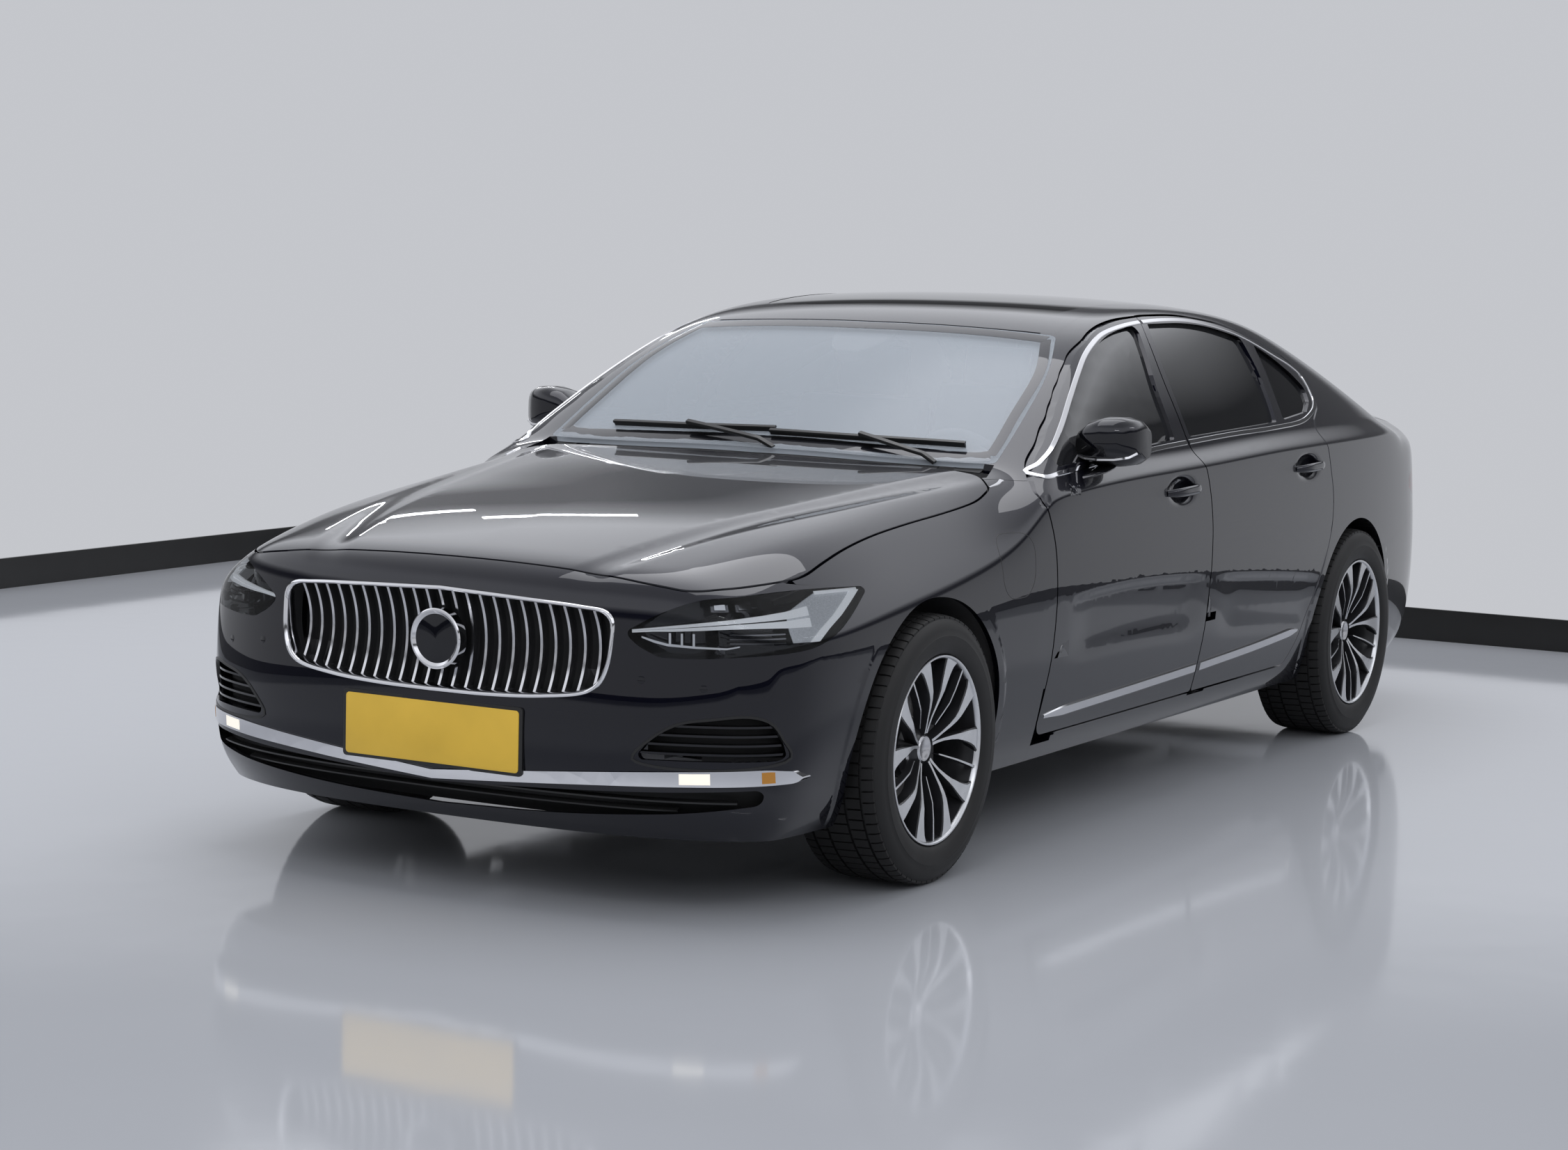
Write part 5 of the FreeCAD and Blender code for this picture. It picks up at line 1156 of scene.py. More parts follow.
@dataclass
class Panel:
    """A CAD panel whose outer face is divided finely and settled on the skin."""

    node: str
    body: str
    slot: str
    finish: Finish
    inner: Optional[Finish] = None
    inner_depth: float = 40.0
    longest: float = 36.0
    shortest: float = 5.0
    turn: float = 3.2
    settle: bool = True
    skin_depth: float = 3.0
    facing_least: float = 0.45
    passes: int = 9
    crisp_angle: float = 28.0

    def build(self, frame: dict) -> bpy.types.Object:
        """Divides, settles and dresses the panel.


        Returns:
            The finished object.
        """
        mesh = bmesh.new()
        mesh.from_mesh(frame["nodes"][self.node].data)
        bmesh.ops.remove_doubles(mesh, verts=mesh.verts, dist=2e-5)
        bmesh.ops.dissolve_degenerate(mesh, edges=mesh.edges, dist=1e-6)
        outer = mesh.faces.layers.int.new("outer")
        self._mark_outer(mesh, outer)
        for _ in range(self.passes):
            if not self._divide(mesh, outer):
                break
        triangles = [face for face in mesh.faces if len(face.verts) > 3]
        bmesh.ops.triangulate(mesh, faces=triangles)
        self._settle(mesh, outer)
        return self._finish(mesh, outer)

    def _arrays(self, verts: Sequence[bmesh.types.BMVert]) -> Points:
        """Places of vertices in millimetres."""
        return np.array([v.co for v in verts], float).reshape(-1, 3) / MM

    def _mark_outer(self, mesh: bmesh.types.BMesh, outer: bmesh.types.BMLayerItem) -> None:
        """Marks the faces that lie on the skin and look outwards."""
        mesh.verts.ensure_lookup_table()
        mesh.verts.index_update()
        places = self._arrays(mesh.verts)
        depth = -SKIN.outside(places)
        centres = np.array([face.calc_center_median() for face in mesh.faces]) / MM
        facing = SKIN.normals(centres)
        limit = depth.min() + self.skin_depth if not self.settle else self.skin_depth
        for face, way in zip(mesh.faces, facing):
            near = all(depth[v.index] < limit for v in face.verts)
            face[outer] = int(near and float(np.dot(way, face.normal)) > self.facing_least)

    def _divide(self, mesh: bmesh.types.BMesh, outer: bmesh.types.BMLayerItem) -> bool:
        """Halves the outer edges that are long or that turn much.

        Args:
            mesh: The mesh.
            outer: The layer that marks outer faces.

        Returns:
            Whether any edge was halved.
        """
        mesh.verts.ensure_lookup_table()
        mesh.verts.index_update()
        ways = SKIN.normals(self._arrays(mesh.verts), self.settle)
        edges = [edge for edge in mesh.edges if any(face[outer] for face in edge.link_faces)]
        chosen = []
        for edge in edges:
            length = edge.calc_length() / MM
            a, b = edge.verts
            bend = 1 - float(np.dot(ways[a.index], ways[b.index]))
            if length > self.longest or (length > 2 * self.shortest and
                                         bend > 1 - math.cos(math.radians(self.turn))):
                chosen.append(edge)
        if not chosen:
            return False
        bmesh.ops.subdivide_edges(mesh, edges=chosen, cuts=1)
        bmesh.ops.triangulate(mesh, faces=[f for f in mesh.faces if len(f.verts) > 3])
        return True

    def _settle(self, mesh: bmesh.types.BMesh, outer: bmesh.types.BMLayerItem) -> None:
        """Moves the outer faces' vertices onto the pressed skin."""
        if not self.settle:
            return
        verts = [v for v in mesh.verts if any(face[outer] for face in v.link_faces)]
        placed = SKIN.settled(self._arrays(verts))
        for vert, place in zip(verts, placed):
            vert.co = place * MM

    def _finish(self, mesh: bmesh.types.BMesh,
                outer: bmesh.types.BMLayerItem) -> bpy.types.Object:
        """Makes the object, its normals and its finishes."""
        data = bpy.data.meshes.new(self.node + "_panel")
        mesh.faces.ensure_lookup_table()
        on_skin = np.array([face[outer] for face in mesh.faces], bool)
        centres = np.array([face.calc_center_median() for face in mesh.faces]) / MM
        mesh.to_mesh(data)
        mesh.free()
        deep = -SKIN.outside(centres) > self.inner_depth
        finishes = [self.finish] + ([self.inner] if self.inner else [])
        for finish in finishes:
            data.materials.append(finish.material())
        if self.inner:
            data.polygons.foreach_set("material_index", (deep & ~on_skin).astype(int))
        data.polygons.foreach_set("use_smooth", np.ones(len(data.polygons), bool))
        data.update()
        data.set_sharp_from_angle(angle=math.radians(self.crisp_angle))
        places = np.zeros(len(data.vertices) * 3)
        data.vertices.foreach_get("co", places)
        ways = SKIN.normals(places.reshape(-1, 3) / MM, self.settle)
        corners = np.zeros(len(data.loops), int)
        data.loops.foreach_get("vertex_index", corners)
        owner = np.repeat(np.arange(len(data.polygons)), 3)
        own = np.where(on_skin[owner][:, None], ways[corners], 0.0)
        data.normals_split_custom_set(own.tolist())
        made = bpy.data.objects.new(self.node + "_panel", data)
        bpy.context.scene.collection.objects.link(made)
        return place_piece(made, self.body, (self.node,))


# Repeated parts


class Repeater:
    """Geometry node groups that copy a part around a wheel or along a row."""

    _groups: dict[str, bpy.types.NodeTree] = {}

    @classmethod
    def around(cls, part: bpy.types.Object, centre: Sequence[float], count: int,
               finish: Finish) -> None:
        """Copies a part about an axle across the car, and makes it a plain mesh.

        Args:
            part: The part, drawn once at its place.
            centre: A point of the axle in millimetres.
            count: How many copies the ring has.
            finish: The finish of the copies.
        """
        group = cls._groups.get("around") or cls._around_group()
        values = {"Count": count, "Centre": tuple(c * MM for c in centre),
                  "Material": finish.material()}
        cls._apply(part, group, values)

    @classmethod
    def along(cls, row: bpy.types.Object, part: bpy.types.Object, finish: Finish) -> None:
        """Copies a part to every vertex of a row, as tall as the vertex says.

        Args:
            row: Object of loose vertices with the attribute "tall".
            part: The part, drawn about the origin.
            finish: The finish of the copies.
        """
        group = cls._groups.get("along") or cls._along_group()
        cls._apply(row, group, {"Part": part, "Material": finish.material()})
        bpy.data.objects.remove(part)

    @staticmethod
    def _apply(target: bpy.types.Object, group: bpy.types.NodeTree, values: dict) -> None:
        """Adds the group as a modifier with its inputs set, and replaces the mesh by its result."""
        modifier = target.modifiers.new("copies", "NODES")
        modifier.node_group = group
        for item in group.interface.items_tree:
            if item.item_type == "SOCKET" and item.in_out == "INPUT" and item.name in values:
                modifier[item.identifier] = values[item.name]
        target.update_tag()
        apply_modifiers(target)
        target.data.polygons.foreach_set("use_smooth", [True] * len(target.data.polygons))
        target.data.set_sharp_from_angle(angle=math.radians(SMOOTH_ANGLE))

    @classmethod
    def _new_group(cls, name: str, inputs: Sequence[tuple[str, str]]) -> bpy.types.NodeTree:
        """An empty group with a geometry input and output and some named inputs."""
        group = bpy.data.node_groups.new(name, "GeometryNodeTree")
        group.interface.new_socket("Geometry", in_out="INPUT", socket_type="NodeSocketGeometry")
        for label, kind in inputs:
            group.interface.new_socket(label, in_out="INPUT", socket_type=kind)
        group.interface.new_socket("Geometry", in_out="OUTPUT", socket_type="NodeSocketGeometry")
        cls._groups[name] = group
        return group

    @staticmethod
    def _node(group: bpy.types.NodeTree, kind: str, values: dict,
              **settings: str) -> bpy.types.NodeSocket:
        """Adds a node to a group.

        Args:
            group: The node group.
            kind: The node's type.
            values: Values or links of its sockets, by name or number.
            **settings: The node's settings.

        Returns:
            Its first output.
        """
        made = group.nodes.new(kind)
        for key, value in settings.items():
            setattr(made, key, value)
        for key, value in values.items():
            if isinstance(value, bpy.types.NodeSocket):
                group.links.new(value, made.inputs[key])
            else:
                made.inputs[key].default_value = value
        return made.outputs[0]

    @classmethod
    def _end(cls, group: bpy.types.NodeTree, result: bpy.types.NodeSocket,
             dress: bpy.types.NodeSocket) -> None:
        """Gives the copies their material and hands them out."""
        dressed = cls._node(group, "GeometryNodeSetMaterial", {
            "Geometry": result, "Material": dress})
        group.links.new(dressed, group.nodes.new("NodeGroupOutput").inputs[0])

    @classmethod
    def _around_group(cls) -> bpy.types.NodeTree:
        """The group that copies a part about an axle."""
        group = cls._new_group("around", (("Count", "NodeSocketInt"),
                                          ("Centre", "NodeSocketVector"),
                                          ("Material", "NodeSocketMaterial")))
        entry = group.nodes.new("NodeGroupInput").outputs
        back = cls._node(group, "ShaderNodeVectorMath", {0: entry["Centre"], "Scale": -1.0},
                         operation="SCALE")
        home = cls._node(group, "GeometryNodeTransform", {
            "Geometry": entry["Geometry"], "Translation": back})
        spots = cls._node(group, "GeometryNodeMeshLine", {
            "Count": entry["Count"], "Offset": (0, 0, 0)})
        index = cls._node(group, "GeometryNodeInputIndex", {})
        share = cls._node(group, "ShaderNodeMath", {0: index, 1: entry["Count"]},
                          operation="DIVIDE")
        angle = cls._node(group, "ShaderNodeMath", {0: share, 1: 2 * math.pi},
                          operation="MULTIPLY")
        turn = cls._node(group, "ShaderNodeCombineXYZ", {0: angle})
        copies = cls._node(group, "GeometryNodeInstanceOnPoints", {
            "Points": spots, "Instance": home, "Rotation": turn})
        real = cls._node(group, "GeometryNodeRealizeInstances", {0: copies})
        moved = cls._node(group, "GeometryNodeTransform", {
            "Geometry": real, "Translation": entry["Centre"]})
        cls._end(group, moved, entry["Material"])
        return group

    @classmethod
    def _along_group(cls) -> bpy.types.NodeTree:
        """The group that copies a part to the vertices of a row."""
        group = cls._new_group("along", (("Part", "NodeSocketObject"),
                                         ("Material", "NodeSocketMaterial")))
        entry = group.nodes.new("NodeGroupInput").outputs
        part = cls._node(group, "GeometryNodeObjectInfo", {"Object": entry["Part"]})
        tall = cls._node(group, "GeometryNodeInputNamedAttribute", {"Name": "tall"},
                         data_type="FLOAT")
        size = cls._node(group, "ShaderNodeCombineXYZ", {0: 1.0, 1: 1.0, 2: tall})
        copies = cls._node(group, "GeometryNodeInstanceOnPoints", {
            "Points": entry["Geometry"], "Instance": part.node.outputs["Geometry"],
            "Scale": size})
        real = cls._node(group, "GeometryNodeRealizeInstances", {0: copies})
        cls._end(group, real, entry["Material"])
        return group


# Trims of the flanks


DOOR_SPLIT = Curve((288, 1741), (450, 1745), (600, 1753), (700, 1760), (792, 1760), (880, 1743),
                   (960, 1715), (1031, 1693), (1215, 1715), (1330, 1768), (1391, 1815))
FLAT_BAR: tuple[Corner, ...] = ((-0.5, 0.0), (0.5, 0.0), (0.5, 0.6), (0.38, 1.0), (-0.38, 1.0),
                                (-0.5, 0.6))


def bar_profile(width: float, height: float, sunk: float = 0.0) -> list[Corner]:
    """Outline of a flat strip with soft upper edges, partly sunk under its path."""
    return [(a * width, b * height - sunk) for a, b in FLAT_BAR]


def oval(count: int, wide: float, tall: float) -> list[Corner]:
    """Outline of an oval with as many corners."""
    return [(math.cos(turn) * wide, math.sin(turn) * tall) for turn in turns(count)]


def on_side(line: Points, side: Side, pressed: bool = False) -> tuple[Points, Points]:
    """Places and ways out of a line of stations and heights on a flank."""
    places = SKIN.beside(line[:, 0], line[:, 1], side, pressed)
    return places, SKIN.normals(places)


def bar_across(wide: Points, height: float, profile: Sequence[Corner], sunk: float = 0.0,
               backwards: bool = False, scale: Optional[Points] = None) -> Shape:
    """Bar that follows the nose from side to side or, looking backwards, the tail.

    Args:
        wide: X of the places along the bar.
        height: Its height.
        profile: Closed outline of (sideways, outwards).
        sunk: How far inside the skin it runs.
        backwards: Whether it is on the tail.
        scale: Sideways scale of the profile at each place.

    Returns:
        The closed shape.
    """
    places = SKIN.ahead(wide, np.full(len(wide), height), False, backwards)
    ways = SKIN.normals(places)
    return swept(places - ways * sunk, ways, profile, scale=scale)


@dataclass
class SideTrim:
    """Chrome and gloss black parts of one flank."""

    side: Side
    window_line: tuple[Corner, ...] = (
        (704, 992), (762, 1018), (845, 1057), (940, 1109), (1060, 1176), (1180, 1238),
        (1292, 1289), (1385, 1321), (1485, 1346), (1655, 1367), (1860, 1378), (2121, 1378),
        (2290, 1367), (2443, 1347), (2560, 1324), (2649, 1299), (2770, 1258), (2862, 1226),
        (2908, 1195), (2914, 1166), (2890, 1115), (2846, 1090), (2770, 1070), (2664, 1054),
        (2400, 1045), (2058, 1041), (1760, 1034), (1481, 1026), (1200, 1013), (980, 1002),
        (800, 990), (720, 984))
    strips: tuple[tuple[str, tuple[Corner, ...]], ...] = (
        ("front_door", ((682, 341), (1250, 352), (1725, 362))),
        ("rear_door", ((1758, 363), (2200, 378), (2560, 395))))

    def build(self) -> None:
        """Builds the trims of this side."""
        self._window_surround()
        self._strips()
        self._handles()
        self._fender_tip()
        self._mirror()
        if self.side is Side.LEFT:
            self._flap()

    def _body(self, owner: str) -> str:
        """Name of a door's body on this side."""
        return f"{owner}_{self.side.word}"

    def _window_surround(self) -> None:
        """Chrome frame of the side windows, one part on each door."""
        line = smooth_line(self.window_line, 10.0, closed=True)
        split = DOOR_SPLIT(line[:, 1])
        for owner, sign in (("front_door", 1), ("rear_door", -1)):
            inside = sign * (split - line[:, 0]) > 4.0
            chrome = Shape()
            for run in self._runs(inside):
                if len(run) > 2:
                    places, ways = on_side(line[run], self.side)
                    chrome.join(swept(places, ways, bar_profile(15, 5, 2)))
            build_piece(f"window_chrome_{self._body(owner)}", chrome, (CHROME,),
                        self._body(owner))

    @staticmethod
    def _runs(inside: Points) -> list[Points]:
        """Unbroken runs in a closed row of flags, as rows of indices."""
        count = len(inside)
        runs = []
        for start in range(count):
            if inside[start] and not inside[start - 1]:
                length = 0
                while length < count and inside[(start + length) % count]:
                    length += 1
                runs.append((start + np.arange(length)) % count)
        return runs

    def _strips(self) -> None:
        """Chrome strips low on the doors, tapered to the front."""
        for owner, corners in self.strips:
            line = smooth_line(corners, 24.0)
            places, ways = on_side(line, self.side, True)
            width = np.interp(line[:, 0], (682, 800, 2500, 2560), (0.35, 1, 1, 0.3))
            strip = swept(places, ways, bar_profile(30, 8, 3), scale=width)
            build_piece(f"low_chrome_{self._body(owner)}", strip, (CHROME,),
                        self._body(owner))

    def _handles(self) -> None:
        """Pull handles that stand off their cups on two feet."""
        half = 110.0
        along = np.linspace(-half, half, 23)
        lift = 30 * (1 - (np.abs(along) / half) ** 4)
        taper = 1 - 0.3 * (np.abs(along) / half) ** 3
        for owner, (station, height) in zip(("front_door", "rear_door"), HANDLE_PLACES):
            line = np.stack([station + along, height + 0.025 * along], 1)
            places, ways = on_side(line, self.side)
            grip = swept(places + ways * (lift - 3)[:, None], ways, oval(12, 14, 7), scale=taper)
            build_piece(f"handle_{self._body(owner)}", grip, (LACQUER,), self._body(owner),
                        smooth=60)

    def _fender_tip(self) -> None:
        """Chrome wedge on the front wing that leads into the window frame."""
        line = smooth_line(((560, 958), (600, 966), (628, 974)), 8.0)
        places, ways = on_side(line, self.side)
        width = np.interp(line[:, 0], (560, 628), (0.3, 1.0))
        tip = swept(places, ways, bar_profile(15, 5, 2), scale=width)
        build_piece(f"fender_tip_{self.side.word}", tip, (CHROME,), "body")

    def _flap(self) -> None:
        """Dark joint round the charging flap on the left wing."""
        corners = rounded_outline(184, 168, 66, 8) + (452, 769)
        line = smooth_line(corners, 6.0, closed=True)
        places, ways = on_side(line, self.side)
        joint = swept(places, ways, bar_profile(2.6, 1.2, 0.9), closed=True)
        build_piece("charging_flap_joint", joint, (BLACK_TRIM,), "body")

    def _mirror(self) -> None:
        """Gloss mirror head on a flat stalk, with its glass and a chrome lamp strip."""
        sections = ((840, 966, 1010, 1098), (872, 953, 1001, 1124), (915, 950, 999, 1136),
                    (960, 958, 1001, 1136), (992, 985, 1007, 1126), (1007, 1030, 1022, 1104))
        rings = []
        back = 1106
        for x, front, low, top in sections:
            tall, deep = (top - low) / 2, (back - front) / 2
            ring = []
            for turn in turns(28):
                lean = abs(math.cos(turn)) ** 0.62 * math.copysign(1, math.cos(turn))
                rise = abs(math.sin(turn)) ** 0.62 * math.copysign(1, math.sin(turn))
                ring.append((x, FRONT_AXLE + front + deep + deep * lean,
                             (low + top) / 2 + tall * rise))
            rings.append(ring)
        stalk_line = smooth_line(np.array(((868, 905, 968), (890, 930, 976), (912, 965, 988),
                                           (925, 1000, 1002))) + (0, FRONT_AXLE, 0), 8.0)
        stalk = swept(stalk_line, np.tile((0.0, 0.0, 1.0), (len(stalk_line), 1)), oval(12, 30, 8))
        x_places, fronts, lows, _ = np.array(sections, float).T
        across = np.linspace(850, 1002, 15)
        lamp = np.stack([across, FRONT_AXLE + np.interp(across, x_places, fronts) + 2,
                         np.interp(across, x_places, lows) + 22], 1)
        strip = swept(lamp, np.tile((0.0, -1.0, 0.0), (15, 1)), bar_profile(7, 4, 1))
        glass = rounded_block((128, 98), 22, (1105, 1108), 1, (918, FRONT_AXLE, 1066))
        shape = Shape().join(tube(np.array(rings)), 0).join(stalk, 0)
        shape.join(strip, 1).join(glass, 2)
        build_piece(f"mirror_shell_{self.side.word}", shape.on(self.side),
                    (PIANO, CHROME, SATIN_CHROME), self._body("front_door"),
                    (f"mirror_{self.side.word}",), smooth=40)


# The nose and the tail


def around_corner(places: Points, heights: Points, side: Side, backwards: bool = False,
                  depth: float = 0.0) -> Points:
    """Places on a front or rear corner of the car.

    Args:
        places: Distances across the corner, along a line at 45 degrees.
        heights: Heights.
        side: Which side of the car.
        backwards: Whether the corner is at the tail.
        depth: How far inside the skin the places lie.

    Returns:
        Places in millimetres, one per row.
    """
    half = math.sqrt(0.5)
    forwards = -1 if backwards else 1
    base = REAR_AXLE if backwards else FRONT_AXLE
    places = np.asarray(places, float)
    origins = np.stack([half * places, base + forwards * half * places,
                        np.asarray(heights, float)], 1)
    ways = np.tile((half, -forwards * half, 0.0), (len(places), 1))
    met = SKIN.met(origins, ways, 1500, False) - ways * depth
    return met * (side.value, 1, 1)


def corner_sheet(pairs: Sequence[tuple[Corner, Corner]], side: Side, depth: float,
                 thickness: float, backwards: bool = False, across: int = 5) -> Shape:
    """Sheet behind the skin of a corner, between two edges.

    Args:
        pairs: Pairs of points (place, height) on the two edges.
        side: Which side of the car.
        depth: How far inside the skin its face lies.
        thickness: Its thickness.
        backwards: Whether the corner is at the tail.
        across: Points from edge to edge.

    Returns:
        The sheet.
    """
    first = np.array([pair[0] for pair in pairs], float)
    second = np.array([pair[1] for pair in pairs], float)
    nets = []
    for extra in (0.0, thickness):
        rows = []
        for share in np.linspace(0, 1, across):
            line = first + (second - first) * share
            rows.append(around_corner(line[:, 0], line[:, 1], side, backwards, depth + extra))
        nets.append(np.array(rows))
    return sheet_of(nets[0], nets[1])


@dataclass
class Headlamp:
    """Clear lamp with a forked light guide over dark fins."""

    side: Side

    def build(self) -> Shape:
        """Light guide, fins and lamp modules of this side, marked by finish.

        Returns:
            The parts, to be joined with the other side's.
        """
        inside = Shape()
        line = ((-196, 690, 683), (-150, 697, 688), (-109, 703, 690), (-50, 711, 694),
                (24, 720, 699), (100, 727, 700), (166, 732, 698), (230, 740, 697))
        upper = [((u, top), (u, low + 0.56 * (top - low))) for u, top, low in line]
        lower = [((u, low + 0.44 * (top - low)), (u, low)) for u, top, low in line]
        rows = ((664, 174, 236), (690, 166, 270), (715, 166, 314), (735, 186, 344),
                (750, 224, 366), (764, 262, 386))
        head = [((left, z), (right, z)) for z, left, right in rows]
        edge = [((right - 15, z), (right + 12, z)) for z, _, right in rows]
        brow = [((u, 769), (u, 762)) for u in (262, 300, 345, 392)]
        inside.join(corner_sheet(head, self.side, 14, 6), 3)
        for strip in (upper, lower, edge, brow):
            inside.join(corner_sheet(strip, self.side, 9, 5), 0)
        tray = [((u, top), (u, low)) for u, top, low in (
            (-176, 676, 672), (-150, 668, 662), (-120, 661, 655), (-60, 657, 652),
            (10, 655, 651), (40, 660, 657))]
        inside.join(corner_sheet(tray, self.side, 12, 5, across=2), 1)
        for u in (-118, -92, -66):
            inside.join(corner_sheet([((u, 686), (u + 5, 686)), ((u, 657), (u + 5, 657))],
                                     self.side, 12, 10, across=2), 1)
        for z in (664, 674, 684):
            fin = [((u, z + 1.5), (u, z - 1.5)) for u in np.linspace(20, 158, 8)]
            inside.join(corner_sheet(fin, self.side, 24, 16, across=2), 2)
        for u in (-20, 40, 100):
            module = [((u + a, 757), (u + a, 735)) for a in (0, 14, 28, 42)]
            inside.join(corner_sheet(module, self.side, 26, 14, across=3), 2)
            bulb = [((u + a, 752), (u + a, 740)) for a in (8, 21, 34)]
            inside.join(corner_sheet(bulb, self.side, 23, 4, across=3), 1)
        return inside


@dataclass
class Nose:
    """Grille, intakes, lamps, strip and plate of the front bumper."""

    bars: int = 23
    pitch: float = 39.0
    bar_length: float = 240.0
    badge_height: float = 629.0
    plate_height: float = 403.5
    grille_half: tuple[Corner, ...] = (
        (0, 757), (250, 748), (400, 740), (462, 732), (484, 712), (487, 660), (480, 598),
        (462, 556), (430, 533), (313, 514), (164, 505), (0, 503))
    inlet: tuple[Corner, ...] = ((545, 388), (590, 440), (650, 476), (720, 489), (795, 496),
                                 (828, 482), (846, 445), (854, 390))

    def build(self, frame: dict) -> None:
        """Builds every part of the nose.
        """
        self._grille()
        self._badge()
        self._inlets()
        self._lower_intake()
        self._plate()
        self._lamps(frame)
        self._sensors()
        Panel("bumper_strip", "body", "chrome", CHROME, settle=False, skin_depth=2.5).build(frame)
        self._strip_lamps()

    def _ahead(self, line: Points, depth: float = 0.0) -> tuple[Points, Points]:
        """Places and ways out of a line of half widths and heights on the nose."""
        places = SKIN.ahead(line[:, 0], line[:, 1], False)
        ways = SKIN.normals(places)
        return places + (0, depth, 0), ways

    def _grille(self) -> None:
        """Chrome frame, hollow-fronted upright bars and the dark field behind them."""
        half = smooth_line(self.grille_half, 12.0)
        line = np.vstack([half, (half * (-1, 1))[::-1][1:-1]])
        middle = (self.grille_half[0][1] + self.grille_half[-1][1]) / 2
        rings = []
        for wide, tall, depth in ((1, 1, 1), (0.996, 0.985, -4), (0.988, 0.955, -5),
                                  (0.980, 0.925, -2), (0.974, 0.905, 5), (0.974, 0.90, 60),
                                  (1, 1, 34)):
            ring = np.stack([line[:, 0] * wide, middle + (line[:, 1] - middle) * tall], 1)
            rings.append(self._ahead(ring, depth)[0])
        surround = tube(np.stack(rings, 1), closed_path=True)
        build_piece("grille_surround", surround, (CHROME,), "body", smooth=50)
        places = []
        heights = []
        for i in range(self.bars):
            x = (i - (self.bars - 1) / 2) * self.pitch
            top = float(np.interp(abs(x), (0, 250, 400, 462, 487), (752, 744, 736, 728, 700)))
            low = float(np.interp(abs(x), (0, 164, 313, 430, 462, 480), (506, 508, 517, 535,
                                                                         556, 590)))
            front_y = SKIN.ahead([x], [self.badge_height], False)[0][1]
            places.append((x, front_y + 10, (top + low) / 2))
            heights.append((top - low) / self.bar_length)
        row = bpy.data.meshes.new("grille_bar_row")
        row.from_pydata((np.array(places) * MM).tolist(), [], [])
        row.attributes.new("tall", "FLOAT", "POINT").data.foreach_set("value", heights)
        rows = bpy.data.objects.new("grille_bars", row)
        bpy.context.scene.collection.objects.link(rows)
        bar = make_mesh("grille_bar", self._bar(), (SATIN_CHROME,))
        Repeater.along(rows, bar, SATIN_CHROME)
        place_piece(rows, "body", ("grille",))
        self._field("grille_field", [(-478, -240, 0, 240, 478)], (508, 560, 629, 700, 752), 86)

    def _bar(self) -> Shape:
        """One upright bar, hollow in front, about the origin."""
        rings = []
        for z in np.linspace(-self.bar_length / 2, self.bar_length / 2, 19):
            hollow = 38 * (1 - (z / 128) ** 2)
            rings.append([(-2.4, hollow + 30, z), (-5.2, hollow + 6, z), (-3.6, hollow, z),
                          (3.6, hollow, z), (5.2, hollow + 6, z), (2.4, hollow + 30, z)])
        return tube(np.array(rings))

    def _field(self, name: str, columns: Sequence[Sequence[float]], heights: Sequence[float],
               depth: float) -> None:
        """Dark sheet behind an opening.

        Args:
            name: The piece's name.
            columns: Rows of half widths.
            heights: Heights of the net's rows.
            depth: Millimetres behind the skin.
        """
        sheet = Shape()
        for widths in columns:
            wide = np.linspace(min(widths), max(widths), 25)
            net = np.array([SKIN.ahead(wide, np.full(25, z), False) + (0, depth, 0)
                            for z in heights])
            sheet.join(sheet_of(net, net + (0, 3, 0)))
        build_piece(name, sheet, (DARK_VOID,), "body")

    def _badge(self) -> None:
        """Plain round badge with a raised rim, blank all over."""
        front = SKIN.ahead([0.0], [self.badge_height], False)[0][1]
        outline = ((26, 74), (0, 74), (-2.6, 71), (-2.6, 67), (0, 64), (3, 60), (1.5, 30),
                   (0.5, 0.2), (26, 0.2))
        rings = []
        for turn in turns(72):
            rings.append([(r * math.sin(turn), front + 3 + a, self.badge_height
                           + r * math.cos(turn)) for a, r in outline])
        badge = tube(np.array(rings), closed_path=True)
        badge.marks = [1 if face % 9 in (5, 6, 7) else 0 for face in range(len(badge.faces))]
        build_piece("round_badge", badge, (CHROME, PIANO), "body")

    def _inlets(self) -> None:
        """Four slats and a dark field in each outer inlet, with a gloss lip round it."""
        slats = Shape()
        lips = Shape()
        for side in Side:
            for z, inner, outer in ((404, 556, 856), (426, 574, 853), (448, 598, 848),
                                    (470, 634, 836)):
                wide = np.linspace(inner, outer, 26) * side.value
                slats.join(bar_across(wide, z, bar_profile(7, 18), 26))
            corners = smooth_line(self.inlet, 12.0, closed=True) * (side.value, 1)
            places, ways = self._ahead(corners)
            lips.join(swept(places - ways * 8, ways, bar_profile(8, 10), closed=True))
        build_piece("inlet_slats", slats, (PIANO,), "body")
        build_piece("inlet_lips", lips, (BLACK_TRIM,), "body")
        self._field("inlet_field", [(548, 846), (-846, -548)], (392, 420, 450, 480, 494), 64)

    def _lower_intake(self) -> None:
        """Mesh and two bars in the opening under the strip."""
        bars = Shape()
        for z, reach in ((262, 640), (286, 770)):
            wide = np.linspace(-reach, reach, 61)
            bars.join(bar_across(wide, z, bar_profile(6, 16), 24))
        build_piece("lower_bars", bars, (BLACK_TRIM,), "body")
        self._field("lower_field", [(-800, 800)], (228, 250, 280, 310, 325), 46)

    def _plate(self) -> None:
        """Blank yellow number plate on a black holder."""
        front = NOSE_STATION + FRONT_AXLE + 1.0
        middle = (0, 0, self.plate_height)
        holder = rounded_block((530, 166), 10, (front + 2.4, front + 14), 1, middle)
        plate = rounded_block((510, 150), 9, (front, front + 3.4), 1, middle)
        shape = Shape().join(holder, 0).join(plate, 1)
        build_piece("front_plate", shape, (BLACK_TRIM, PLATE), "body",
                    bevel=0.8)

